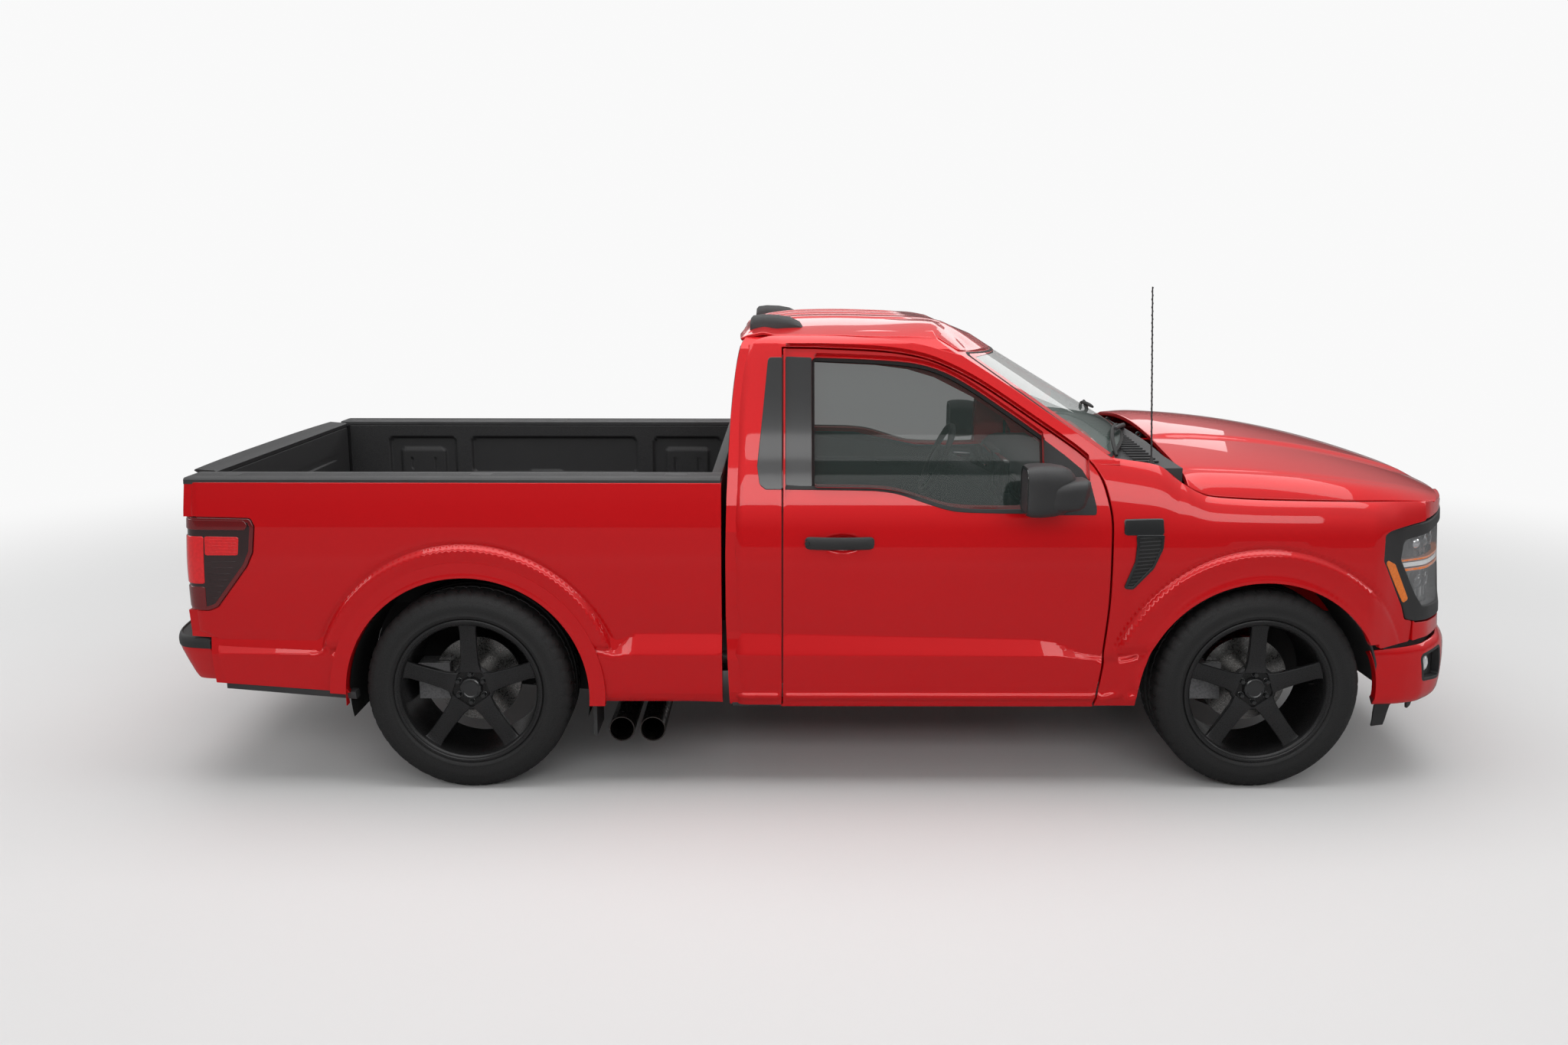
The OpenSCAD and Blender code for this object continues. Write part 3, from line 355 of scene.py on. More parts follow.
def loft(rings, closed=True, cap=True):
    """Quads between rings of points; a closed ring joins its last point to its first."""
    k = len(rings[0])
    pts = [p for ring in rings for p in ring]
    last = k if closed else k - 1
    faces = [(r * k + i, r * k + (i + 1) % k, (r + 1) * k + (i + 1) % k, (r + 1) * k + i)
             for r in range(len(rings) - 1) for i in range(last)]
    if cap and closed:
        faces += [tuple(range(k))[::-1], tuple((len(rings) - 1) * k + i for i in range(k))]
    return Shell().add(pts, faces)


def turn(profile, n, axis):
    """A profile of (radius, position along the axis) turned about an axis through the origin."""
    rings = []
    for r, h in profile:
        ring = []
        for i in range(n):
            c, s = r * math.cos(2 * PI * i / n), r * math.sin(2 * PI * i / n)
            ring.append({"y": (c, h, -s), "z": (c, s, h), "x": (h, c, s)}[axis])
        rings.append(ring)
    return loft(rings, cap=False)


def bar(outline, y0, y1, soft, axis):
    """An outline with softened edges, extruded across the truck (y), along it (x) or upright (z)."""
    if area(outline) < 0:
        outline = outline[::-1]
    rings = []
    for inset, at in ((soft, y0), (soft * 0.3, y0 + soft * 0.3), (0, y0 + soft), (0, y1 - soft),
                      (soft * 0.3, y1 - soft * 0.3), (soft, y1)):
        ring = [tuple(p) for p in np.array(outline) - outward(outline) * inset]
        place = {"y": lambda p: (p[0], at, p[1]), "x": lambda p: (at, p[0], p[1]),
                 "z": lambda p: (p[0], p[1], at)}[axis]
        rings.append([place(p) for p in ring])
    shell = loft(rings)
    if axis == "y":
        shell.faces = [f[::-1] for f in shell.faces]
    return shell


def brick(x, y, z, soft, corner):
    """A block between pairs of limits, with rounded edges."""
    return bar(rounded(rect(x[0], z[0], x[1], z[1]), corner, 2), *y, soft, "y")


def pipe(path, r, sides):
    """A round bar along a path of points; r is one radius or one a point."""
    p = [Vector(q) for q in path]
    radii = r if isinstance(r, (list, tuple)) else [r] * len(p)
    rings, side = [], None
    for i, q in enumerate(p):
        along = (p[min(i + 1, len(p) - 1)] - p[max(i - 1, 0)]).normalized()
        if side is None:
            side = along.orthogonal().normalized()
        side = (side - along * side.dot(along)).normalized()
        up = along.cross(side)
        rings.append([tuple(q + (side * math.cos(2 * PI * k / sides)
                                 + up * math.sin(2 * PI * k / sides)) * radii[i])
                      for k in range(sides)])
    return loft(rings)


def smooth_path(points, n):
    """A Catmull-Rom line through points in space, n steps a span."""
    p = [Vector(q) for q in points]
    p = [p[0] * 2 - p[1]] + p + [p[-1] * 2 - p[-2]]
    out = []
    for i in range(1, len(p) - 2):
        for k in range(n):
            t = k / n
            out.append(0.5 * ((2 * p[i]) + (p[i + 1] - p[i - 1]) * t
                              + (2 * p[i - 1] - 5 * p[i] + 4 * p[i + 1] - p[i + 2]) * t * t
                              + (3 * p[i] - p[i - 1] - 3 * p[i + 1] + p[i + 2]) * t ** 3))
    return [tuple(q) for q in out + [p[-2]]]

# --- finishes --------------------------------------------------------------------------


def group(name, inputs, outputs):
    """An empty shader node group with named sockets, its input and its output node."""
    tree = bpy.data.node_groups.new(name, "ShaderNodeTree")
    for label, kind, default in inputs:
        socket = tree.interface.new_socket(label, in_out="INPUT", socket_type="NodeSocket" + kind)
        socket.default_value = default
    for label, kind in outputs:
        tree.interface.new_socket(label, in_out="OUTPUT", socket_type="NodeSocket" + kind)
    return tree, tree.nodes.new("NodeGroupInput"), tree.nodes.new("NodeGroupOutput")


def add(tree, kind, links=(), **values):
    """A node with its sockets set by name or number, and links given as (socket, source socket)."""
    node = tree.nodes.new("ShaderNode" + kind)
    for key, value in values.items():
        if hasattr(node, key):
            setattr(node, key, value)
        else:
            node.inputs[key.replace("_", " ").title()].default_value = value
    for socket, source in links:
        tree.links.new(source, node.inputs[socket])
    return node


def make_speckle():
    """Fine, random variation: a colour shifted towards a second one, and a roughness that varies."""
    tree, inp, out = group("Speckle", [("Color", "Color", (1, 1, 1, 1)), ("Second", "Color", (1, 1, 1, 1)),
                                       ("Scale", "Float", 400), ("Amount", "Float", 0.5),
                                       ("Roughness", "Float", 0.4), ("Spread", "Float", 0.1)],
                           [("Color", "Color"), ("Roughness", "Float"), ("Mask", "Float")])
    where = add(tree, "TexCoord")
    noise = add(tree, "TexNoise", [("Vector", where.outputs["Object"]), ("Scale", inp.outputs["Scale"])],
                detail=2.0)
    ramp = add(tree, "MapRange", [("Value", noise.outputs["Fac"])], From_Min=0.35, From_Max=0.65)
    share = add(tree, "Math", [(0, ramp.outputs[0]), (1, inp.outputs["Amount"])], operation="MULTIPLY")
    mix = add(tree, "Mix", [("Factor", share.outputs[0])], data_type="RGBA")
    tree.links.new(inp.outputs["Color"], mix.inputs[6])
    tree.links.new(inp.outputs["Second"], mix.inputs[7])
    centred = add(tree, "Math", [(0, ramp.outputs[0])], operation="SUBTRACT")
    centred.inputs[1].default_value = 0.5
    spread = add(tree, "Math", [(0, centred.outputs[0]), (1, inp.outputs["Spread"]),
                                (2, inp.outputs["Roughness"])], operation="MULTIPLY_ADD")
    tree.links.new(mix.outputs[2], out.inputs["Color"])
    tree.links.new(spread.outputs[0], out.inputs["Roughness"])
    tree.links.new(ramp.outputs[0], out.inputs["Mask"])
    return tree


def make_grain():
    """Moulded grain: small rounded cells as a height."""
    tree, inp, out = group("Grain", [("Scale", "Float", 900), ("Sharp", "Float", 0.4)],
                           [("Height", "Float")])
    where = add(tree, "TexCoord")
    cells = add(tree, "TexVoronoi", [("Vector", where.outputs["Object"]), ("Scale", inp.outputs["Scale"])])
    tree.links.new(cells.outputs["Distance"], out.inputs["Height"])
    return tree


def make_edge_wear_and_highlight():
    """Edges a little paler than the faces between them: partly rubbed wear, partly a painted highlight
    along convex edges, the paling coming and going in a slow drift.
    """
    tree, inp, out = group("Wear", [("Color", "Color", (1, 1, 1, 1)), ("Edge", "Color", (1, 1, 1, 1)),
                                    ("Amount", "Float", 0.5)], [("Color", "Color"), ("Mask", "Float")])
    shape = add(tree, "NewGeometry")
    where = add(tree, "TexCoord")
    noise = add(tree, "TexNoise", [("Vector", where.outputs["Object"])], scale=9.0, detail=4.0)
    edge = add(tree, "MapRange", [("Value", shape.outputs["Pointiness"])], From_Min=0.5, From_Max=0.56)
    drift = add(tree, "Math", [(0, edge.outputs[0]), (1, noise.outputs["Fac"])], operation="MULTIPLY")
    share = add(tree, "Math", [(0, drift.outputs[0]), (1, inp.outputs["Amount"])], operation="MULTIPLY")
    mix = add(tree, "Mix", [("Factor", share.outputs[0])], data_type="RGBA")
    tree.links.new(inp.outputs["Color"], mix.inputs[6])
    tree.links.new(inp.outputs["Edge"], mix.inputs[7])
    tree.links.new(mix.outputs[2], out.inputs["Color"])
    tree.links.new(share.outputs[0], out.inputs["Mask"])
    return tree


def make_weave():
    """Woven cloth: two sets of threads across each other, as a height and a shade."""
    tree, inp, out = group("Weave", [("Scale", "Float", 600)], [("Height", "Float"), ("Shade", "Float")])
    where = add(tree, "TexCoord")
    threads = []
    for turn_z in (PI / 4, -PI / 4):
        spin = add(tree, "Mapping", [("Vector", where.outputs["Object"])])
        spin.inputs["Rotation"].default_value = (0.6, 0.3, turn_z)
        wave = add(tree, "TexWave", [("Vector", spin.outputs[0]), ("Scale", inp.outputs["Scale"])])
        threads.append(wave.outputs["Fac"])
    top = add(tree, "Math", [(0, threads[0]), (1, threads[1])], operation="MAXIMUM")
    low = add(tree, "Math", [(0, threads[0]), (1, threads[1])], operation="MULTIPLY")
    tree.links.new(top.outputs[0], out.inputs["Height"])
    tree.links.new(low.outputs[0], out.inputs["Shade"])
    return tree


SPECKLE, GRAIN, EDGE_WEAR_AND_HIGHLIGHT, WEAVE = make_speckle(), make_grain(), make_edge_wear_and_highlight(), make_weave()


def place_group(tree, effect, **values):
    node = tree.nodes.new("ShaderNodeGroup")
    node.node_tree = effect
    for key, value in values.items():
        node.inputs[key].default_value = value
    return node


def rgba(c):
    return (*c, 1.0)


def finish(name, color, second=None, rough=0.4, spread=0.1, scale=400, amount=0.5, metallic=0.0,
           grain=0, bump=0.1, edge=None, wear=0.5, weave=0, **shader):
    """A material: speckled colour and roughness, optional paler edges (partly rubbed wear, partly painted
    highlight), moulded grain or weave.
    """
    material = bpy.data.materials.new(name)
    material.use_nodes = True
    tree = material.node_tree
    face = tree.nodes["Principled BSDF"]
    second = second or tuple(c * 0.72 for c in color)
    speck = place_group(tree, SPECKLE, Color=rgba(color), Second=rgba(second), Scale=scale,
                        Amount=amount, Roughness=rough, Spread=spread)
    source = speck.outputs["Color"]
    # Paler edges: partly rubbed wear, partly a painted highlight along convex edges
    if edge:
        pale_edges = place_group(tree, EDGE_WEAR_AND_HIGHLIGHT, Edge=rgba(edge), Amount=wear)
        tree.links.new(source, pale_edges.inputs["Color"])
        source = pale_edges.outputs["Color"]
    tree.links.new(source, face.inputs["Base Color"])
    tree.links.new(speck.outputs["Roughness"], face.inputs["Roughness"])
    height = None
    if grain:
        height = place_group(tree, GRAIN, Scale=grain).outputs["Height"]
    if weave:
        height = place_group(tree, WEAVE, Scale=weave).outputs["Height"]
    if height:
        relief = add(tree, "Bump", [("Height", height)], strength=bump)
        relief.inputs["Distance"].default_value = 0.001
        tree.links.new(relief.outputs[0], face.inputs["Normal"])
    face.inputs["Metallic"].default_value = metallic
    for key, value in shader.items():
        face.inputs[key.replace("_", " ").title().replace("Ior", "IOR")].default_value = value
    return material


def clear_glass(name, color, alpha_mix, coat=1.0, gloss=0.5):
    """Thin tinted glass: mostly see-through, with a clean reflection."""
    material = bpy.data.materials.new(name)
    material.use_nodes = True
    tree = material.node_tree
    face = tree.nodes["Principled BSDF"]
    where = add(tree, "TexCoord")
    noise = add(tree, "TexNoise", [("Vector", where.outputs["Object"])], scale=3.0, detail=1.0)
    tint = add(tree, "MapRange", [("Value", noise.outputs["Fac"])], To_Min=0.92, To_Max=1.0)
    mix = add(tree, "Mix", [("Factor", tint.outputs[0])], data_type="RGBA")
    mix.inputs[6].default_value = rgba(tuple(c * 0.85 for c in color))
    mix.inputs[7].default_value = rgba(color)
    tree.links.new(mix.outputs[2], face.inputs["Base Color"])
    for key, value in {"Roughness": 0.0, "IOR": 1.45, "Alpha": alpha_mix, "Coat Weight": coat,
                       "Specular IOR Level": gloss, "Coat Roughness": 0.01}.items():
        face.inputs[key].default_value = value
    return material


def bed_wall_finish(look):
    """Body paint on the outer face of the bed's walls and matt black on all that lies further in."""
    material = finish("bed_wall", **look)
    tree = material.node_tree
    face = tree.nodes["Principled BSDF"]
    where = add(tree, "TexCoord")
    axes = add(tree, "SeparateXYZ", [(0, where.outputs["Object"])])
    away = add(tree, "Math", [(0, axes.outputs[1])], operation="ABSOLUTE")
    outer = add(tree, "MapRange", [("Value", away.outputs[0])], From_Min=0.930, From_Max=0.934)
    mix = add(tree, "Mix", [("Factor", outer.outputs[0])], data_type="RGBA")
    mix.inputs[6].default_value = rgba((0.018, 0.018, 0.019))
    tree.links.new(face.inputs["Base Color"].links[0].from_socket, mix.inputs[7])
    tree.links.new(mix.outputs[2], face.inputs["Base Color"])
    tree.links.new(outer.outputs[0], face.inputs["Coat Weight"])
    return material


PAINT_LOOK = dict(color=(0.72, 0.003, 0.007), second=(0.46, 0.001, 0.003), rough=0.40, spread=0.12,
                  scale=1500, amount=0.6, metallic=0.3, coat_weight=1.0, coat_ior=1.5, coat_roughness=0.02,
                  specular_ior_level=0.1, edge=(0.74, 0.008, 0.012), wear=0.2)
PAINT = finish("red_metallic_paint", **PAINT_LOOK)
BED_WALL = bed_wall_finish(PAINT_LOOK)
TRIM = finish("grained_black_plastic", (0.022, 0.022, 0.023), rough=0.56, grain=1500, bump=0.25,
              edge=(0.06, 0.06, 0.062), wear=0.7)
GLOSS = finish("gloss_black_panel", (0.016, 0.017, 0.018), rough=0.2, spread=0.06, coat_weight=0.6,
               coat_roughness=0.06)
RUBBER = finish("seal_rubber", (0.012, 0.012, 0.012), rough=0.7, spread=0.2)
TYRE = finish("tyre_rubber", (0.014, 0.014, 0.0145), (0.009, 0.009, 0.009), rough=0.62, spread=0.2,
              scale=300, edge=(0.06, 0.06, 0.06), wear=0.8, specular_ior_level=0.45)
WHEEL = finish("satin_black_wheel", (0.016, 0.016, 0.0165), rough=0.30, spread=0.1, metallic=0.3,
               edge=(0.05, 0.05, 0.052), wear=0.6)
LINER = finish("sprayed_bed_liner", (0.024, 0.024, 0.025), (0.012, 0.012, 0.013), rough=0.58,
               spread=0.3, scale=350, grain=420, bump=0.6)
STEEL = finish("machined_steel", (0.46, 0.45, 0.43), (0.36, 0.35, 0.34), rough=0.3, spread=0.2,
               scale=250, metallic=1.0)
CAST = finish("cast_metal", (0.30, 0.30, 0.31), (0.18, 0.18, 0.18), rough=0.5, spread=0.3,
              metallic=0.8, scale=120, grain=600, bump=0.4)
# Darker than the machined steel: partly the cast disc's own grey, partly painted shade inside the wheel
DISC = finish("brake_disc", (0.26, 0.255, 0.25), (0.18, 0.175, 0.17), rough=0.32, spread=0.2, scale=200,
              metallic=1.0)
FRAME_PAINT = finish("chassis_black", (0.02, 0.02, 0.021), rough=0.5, spread=0.25, scale=60,
                     edge=(0.07, 0.06, 0.05), wear=0.8)
PIPE = finish("exhaust_steel", (0.10, 0.09, 0.085), (0.05, 0.045, 0.04), rough=0.35, spread=0.25,
              scale=40, metallic=1.0)
CABIN = finish("cabin_plastic", (0.045, 0.046, 0.05), rough=0.62, grain=1300, bump=0.3)
LIGHT_TRIM = finish("headliner", (0.42, 0.41, 0.39), (0.36, 0.35, 0.33), rough=0.9, scale=900)
CARPET = finish("cabin_carpet", (0.03, 0.03, 0.032), (0.012, 0.012, 0.013), rough=0.95, scale=700,
                amount=0.9, grain=1200, bump=0.8)
CLOTH = finish("seat_cloth", (0.09, 0.092, 0.10), (0.05, 0.05, 0.056), rough=0.9, scale=1300,
               amount=0.7, weave=700, bump=0.5, sheen_weight=0.3)
VINYL = finish("seat_bolster", (0.04, 0.04, 0.043), rough=0.55, grain=1100, bump=0.3)
LENS_RED = finish("red_lens", (0.78, 0.008, 0.012), (0.6, 0.004, 0.008), rough=0.12, spread=0.04,
                  scale=90, coat_weight=1.0, coat_roughness=0.02)
LENS_SMOKE = finish("smoked_lens", (0.022, 0.004, 0.005), (0.014, 0.003, 0.003), rough=0.12,
                    spread=0.04, coat_weight=1.0, coat_roughness=0.02)
LENS_DARK = finish("dark_red_lens", (0.16, 0.004, 0.006), (0.10, 0.002, 0.003), rough=0.12,
                   spread=0.04, coat_weight=1.0, coat_roughness=0.02)
DARK_CHROME = finish("dark_chrome", (0.10, 0.10, 0.105), (0.07, 0.07, 0.075), rough=0.22, spread=0.1,
                     metallic=1.0, scale=60)
AMBER = finish("amber_lens", (0.85, 0.20, 0.01), (0.6, 0.12, 0.01), rough=0.15, spread=0.05,
               scale=120, coat_weight=1.0, coat_roughness=0.02)
MIRROR = finish("mirror_face", (0.75, 0.76, 0.78), (0.7, 0.7, 0.72), rough=0.03, spread=0.02, metallic=1.0)
CHROME = finish("lamp_reflector", (0.62, 0.63, 0.65), (0.5, 0.5, 0.52), rough=0.14, spread=0.08,
                metallic=1.0, scale=80)
WHITE_LENS = finish("white_lens", (0.72, 0.73, 0.74), rough=0.1, spread=0.04, coat_weight=1.0)
BRIGHT = clear_glass("clear_lens", (0.9, 0.92, 0.94), 0.18)
WINDSCREEN = clear_glass("windscreen_glass", (0.22, 0.30, 0.27), 0.42)
SIDE_GLASS = clear_glass("side_glass", (0.03, 0.042, 0.038), 0.62, coat=0.1, gloss=0.25)

# The slot named for each finish, unless a piece names another; make() looks it up and sets nothing with it
SLOT_OF = {PAINT: "red_paint", TRIM: "black_plastic", RUBBER: "black_plastic", GLOSS: "gloss_black",
           LINER: "bed_liner", STEEL: "disc_steel", CHROME: "disc_steel", CAST: "cast_metal",
           FRAME_PAINT: "frame_black", CABIN: "cabin_plastic", VINYL: "cabin_plastic",
           CARPET: "cabin_plastic", LIGHT_TRIM: "cabin_plastic", CLOTH: "seat_cloth", LENS_RED: "lamp_red",
           LENS_SMOKE: "lamp_red", LENS_DARK: "lamp_red", DARK_CHROME: "lamp_clear", AMBER: "lamp_clear",
           WHITE_LENS: "lamp_clear", BRIGHT: "lamp_clear", MIRROR: "glass", WINDSCREEN: "glass",
           SIDE_GLASS: "glass",}

# --- the body side, as one surface ------------------------------------------------------

# Depth of the body side inboard of the flares, against height; the creases move along the truck
_CREASE, _PEAK = 650, 560
_cab_low = polyline([(300, 70), (342, 52), (368, 37), (387, 20), (402, 30), (_PEAK, 10),
                     (_CREASE, 33), (760, 17), (900, 14), (1050, 26)], 6)
_cab_high = curve([(700, 20), (760, 17.5), (900, 15), (1050, 27), (1150, 46), (1205, 65), (1330, 113),
                   (1470, 164), (1600, 214), (1736, 270), (1760, 282), (1776, 302), (1790, 332)])
_bed_low = polyline([(330, 66), (353, 60), (372, 42), (400, 28), (_PEAK, 10), (_CREASE, 37),
                     (760, 19), (900, 15), (1050, 25)], 6)
_bed_high = curve([(700, 23), (760, 20), (900, 17), (1050, 25), (1150, 36), (1240, 48)])
cab_crease = polyline([(-2110, 648), (-886, 623), (-805, 611), (-723, 569), (-654, 553), (700, 553)], 14)
bed_crease = polyline([(-1100, 608), (-487, 578), (458, 572), (566, 583), (658, 644), (1100, 644)], 14)
cab_peak = polyline([(-2110, 560), (-800, 556), (-654, 541), (700, 541)], 14)
bed_peak = polyline([(-1100, 566), (-487, 560), (458, 560), (566, 560), (658, 560), (1100, 560)], 14)


def levelled(z, crease, peak):
    """Heights moved so that the crease and the peak below it come to their nominal levels."""
    keys = (402, peak, crease, 760)
    out = np.array(z, float)
    for (a, b), (na, nb) in zip(zip(keys, keys[1:]), ((402, _PEAK), (_PEAK, _CREASE), (_CREASE, 760))):
        part = (z > a) & (z <= b)
        out = np.where(part, na + (z - a) / (b - a) * (nb - na), out)
    return out


FLARE_R = 606


def flared(inset, x, z, arch):
    """The wheel arch's raised band, from a crease round it down to its lip."""
    r = np.hypot(x - arch[0], z - arch[1])
    band = ease((FLARE_R - r) / 20) * ease((z - 545) / 70)
    lip = ease((ARCH_R + 34 - r) / 30) * ease((z - 380) / 60)
    target = 4 + 5 * ease((FLARE_R - 8 - r) / 60) - 4 * ease((ARCH_R + 34 - r) / 30)
    inset = inset + (target - inset) * np.maximum(band, lip * 0.75)
    groove = np.exp(-((r - FLARE_R - 4) / 10.0) ** 2) * ease((z - 545) / 70)
    return inset + 7.0 * groove


nose_inset = curve([(120, 0), (FO - 575, 2), (FO - 505, 26), (FO - 435, 60), (FO - 355, 92),
                    (FO - 275, 132), (FO - 213, 200), (FO - 155, 284)])


def cab_inset(x, z):
    """Inset of the cab, doors and fenders, x from the front axle."""
    level = levelled(z, cab_crease(x), cab_peak(x))
    inset = np.where(level < 820, _cab_low(level), _cab_high(level))
    blend = ease((level - 780) / 80)
    inset = _cab_low(np.minimum(level, 1050)) * (1 - blend) + _cab_high(level) * blend
    inset = flared(inset, x, z, FRONT_ARCH)
    nose = nose_inset(x)
    return np.where(nose > 0.5, (np.abs(inset) ** 2.6 + np.abs(nose) ** 2.6) ** (1 / 2.6), inset)


def bed_inset(x, z):
    level = levelled(z, bed_crease(x), bed_peak(x))
    blend = ease((level - 780) / 80)
    inset = _bed_low(np.minimum(level, 1050)) * (1 - blend) + _bed_high(level) * blend
    return flared(inset, x, z, REAR_ARCH)


def wrapped(u, start, radius):
    """Plan of a rear corner: past start the surface turns inboard. Gives x and the extra inset."""
    a = np.clip((start - u) / radius, 0, PI / 2)
    past = np.maximum(0, start - radius * PI / 2 - u)
    x = np.where(u > start, u, start - radius * np.sin(a))
    return x, radius * (1 - np.cos(a)) + past


BED_CORNER, CAB_CORNER = 58, 74
SKIN_Y = HW + 4
cab_back_lean = curve([(300, 14), (700, 2), (963, 0), (1198, 5), (1479, 18), (1665, 38), (1755, 58),
                       (1800, 88)])


def place_bed_side(u, z):
    """The left bed side; u runs along it and round its rear corner."""
    lean = 8 * ease((1130 - z) / 260) - 3 * ease((z - 1130) / 120) - 62 * ease((640 - z) / 12)
    start = BED_REAR + BED_CORNER
    x, turned_in = wrapped(u, start, BED_CORNER)
    rear = ease((start + 60 - u) / 120)
    y = SKIN_Y - bed_inset(np.maximum(x, BED_REAR), z) - turned_in
    return np.stack([x + XR - lean * rear, y, z], 1)


def place_cab_side(u, z):
    x, turned_in = wrapped(u, CAB_BACK + CAB_CORNER, CAB_CORNER)
    rear = ease((CAB_BACK + 190 - u) / 190)
    return np.stack([x + XF + cab_back_lean(z) * rear, SKIN_Y - cab_inset(x, z) - turned_in, z], 1)


# The fender: below SHOULDER its height is v, and above it the surface rolls over to the hood's seam
SHOULDER, SEAM = 1050, 1250
seam_z = curve([(-720, 1352), (-700, 1342), (-560, 1320), (-420, 1296), (-335, 1234), (-280, 1200),
                (-225, 1179), (-120, 1170), (-10, 1165), (300, 1160), (FO - 435, 1158),
                (FO - 315, 1154), (FO - 200, 1148)])
hood_inset = curve([(-720, 131), (-420, 131), (-350, 118), (-310, 101), (-208, 93), (60, 90),
                    (303, 88), (507, 108), (FO - 325, 140), (FO - 243, 190)])


def place_fender(x, v):
    t = np.clip((v - SHOULDER) / (SEAM - SHOULDER), 0, 1.02)
    base = cab_inset(x, np.full_like(x, SHOULDER, float))
    top, high = hood_inset(x) - 5, seam_z(x)
    bend = SHOULDER + (high - SHOULDER) * 0.80
    lean = base + 0.16 * (bend - SHOULDER)
    lean = np.minimum(lean, top - 4)
    inset = np.where(v > SHOULDER, (1 - t) ** 2 * base + 2 * t * (1 - t) * lean + t * t * top,
                     cab_inset(x, np.minimum(v, SHOULDER)))
    z = np.where(v > SHOULDER, (1 - t) ** 2 * SHOULDER + 2 * t * (1 - t) * bend + t * t * high, v)
    return np.stack([x + XF, SKIN_Y - inset, z], 1)


def fender_v(x, z):
    """The fender's own height coordinate for a point of the side view."""
    if z <= SHOULDER:
        return z
    low, high = float(SHOULDER), float(SEAM) * 1.004
    for _ in range(30):
        middle = (low + high) / 2
        if float(place_fender(np.array([x]), np.array([middle]))[0, 2]) < z:
            low = middle
        else:
            high = middle
    return low


# --- outlines of the side view ------------------------------------------------------------

DOOR = [(-1878, 342), (-1878, 1737), (-1764, 1736), (-1511, 1725), (-1375, 1708), (-1261, 1675),
        (-1105, 1597), (-884, 1451), (-742, 1354), (-682, 1300), (-646, 1241), (-625, 1165),
        (-612, 1086), (-611, 962), (-611, 788), (-619, 634), (-634, 461), (-650, 342)]
SAIL = [(-872, 1400), (-788, 1338), (-722, 1284), (-690, 1230), (-670, 1143), (-672, 1116), (-872, 1116)]
QUARTER = [(-1882, 1209), (-1882, 1703), (-1941, 1703), (-1963, 1479), (-1982, 1295), (-1970, 1226),
           (-1946, 1209)]
LAMP = [(-12, 740), (-24, 990), (-10, 1106), (258, 1100), (272, 1070), (262, 970), (236, 914),
        (112, 754), (78, 739)]


def soft_line(points, n=6):
    """An outline's points joined by a smooth curve."""
    return [(p[0], p[2]) for p in smooth_path([(x, 0, z) for x, z in points], n)]


def door_shape(d=0):
    """The door's outline, its curved front and top drawn smooth, moved outward by d."""
    front = soft_line(DOOR[2:])
    return grown([(-1878, 342), *front[::-1], (-1878, 1737)], d)


def panel_rows(crease, peak, x0, x1, z0, z1, du, dv):
    """Points to mesh inside a side panel: a lattice with close rows along the creases."""
    pts = []
    for x in np.arange(x0, x1 + 1, du):
        c, p = float(crease(x)), float(peak(x))
        rows = [z0 + 3, 356, 372, 380, 387, 394, 402, 412, 440, 480, 520, p - 26, p - 10, p - 3, p + 4,
                p + 14, (p + c) / 2, c - 14, c - 6, c, c + 6, c + 16, c + 34, 760]
        rows += list(np.arange(790, z1, dv))
        last = -1e9
        for z in sorted(rows):
            if z - last > 2.5:
                pts.append((x, z))
                last = z
    return pts


def clear_of(points, centre, r):
    return [p for p in points if math.hypot(p[0] - centre[0], p[1] - centre[1]) > r]


# Circles of points round each wheel, and where the even rows of the panel take over from them
FLARE_REACH = 640
FLARE_RADII = [484, 490, 498, 508, 522, 540, 560, 576, 585, 590, 594, 598, 602, 606, 610, 614, 620, 630]


# The hollow behind the pull handle, in the side view
CUP = rect(-1738, 968, -1558, 1046)


def build_doors():
    outer = door_shape()
    rows = panel_rows(cab_crease, cab_peak, -1860, -620, 342, 1210, 30, 30)
    frame_hole = grown(rounded(soft_window(), 14), 9)
    shell = skin(place_cab_side, outer, [frame_hole, grown(rounded(CUP, 34), -2)], rows, step=22, hem=3,
                 depth=24, sign=-1, lift=3)
    both("door_skin", shell, PAINT, DOORS, replaces=["door_SIDE"])


def soft_window():
    """The window opening with its waist line drawn smooth."""
    top = soft_line([(-1760, 1694), (-1558, 1687), (-1387, 1675), (-1274, 1648), (-1162, 1593),
                     (-996, 1484), (-872, 1398)], 5)
    waist = soft_line([(-872, 1139), (-1000, 1135), (-1120, 1136), (-1184, 1139), (-1251, 1149),
                       (-1341, 1176), (-1430, 1203), (-1509, 1214), (-1600, 1217), (-1760, 1219)], 5)
    return top + waist


BACK_WINDOW = rounded([(-588, 1238), (588, 1238), (558, 1637), (-558, 1637)], 46)


def place_cab_back(y, z):
    """The cab's rear wall, bulged a little in plan."""
    return np.stack([XF + CAB_BACK + cab_back_lean(z) + 6 * (np.abs(y) / 880) ** 3 - 2, y, z], 1)


def cab_ditch():
    """Roof ditch line from the rear corner forward, as the side panel's top edge."""
    return soft_line([(-2030, 1764), (-2016, 1771), (-1913, 1785), (-1800, 1787), (-1672, 1784),
                      (-1443, 1770), (-1329, 1752), (-1248, 1730), (-1179, 1713)])


def screen_side_line():
    """Side view of the windscreen's edge, from its top corner down to the cowl."""
    return soft_line([(-1179, 1713), (-1010, 1606), (-870, 1512), (-730, 1417), (-590, 1318)], 5)


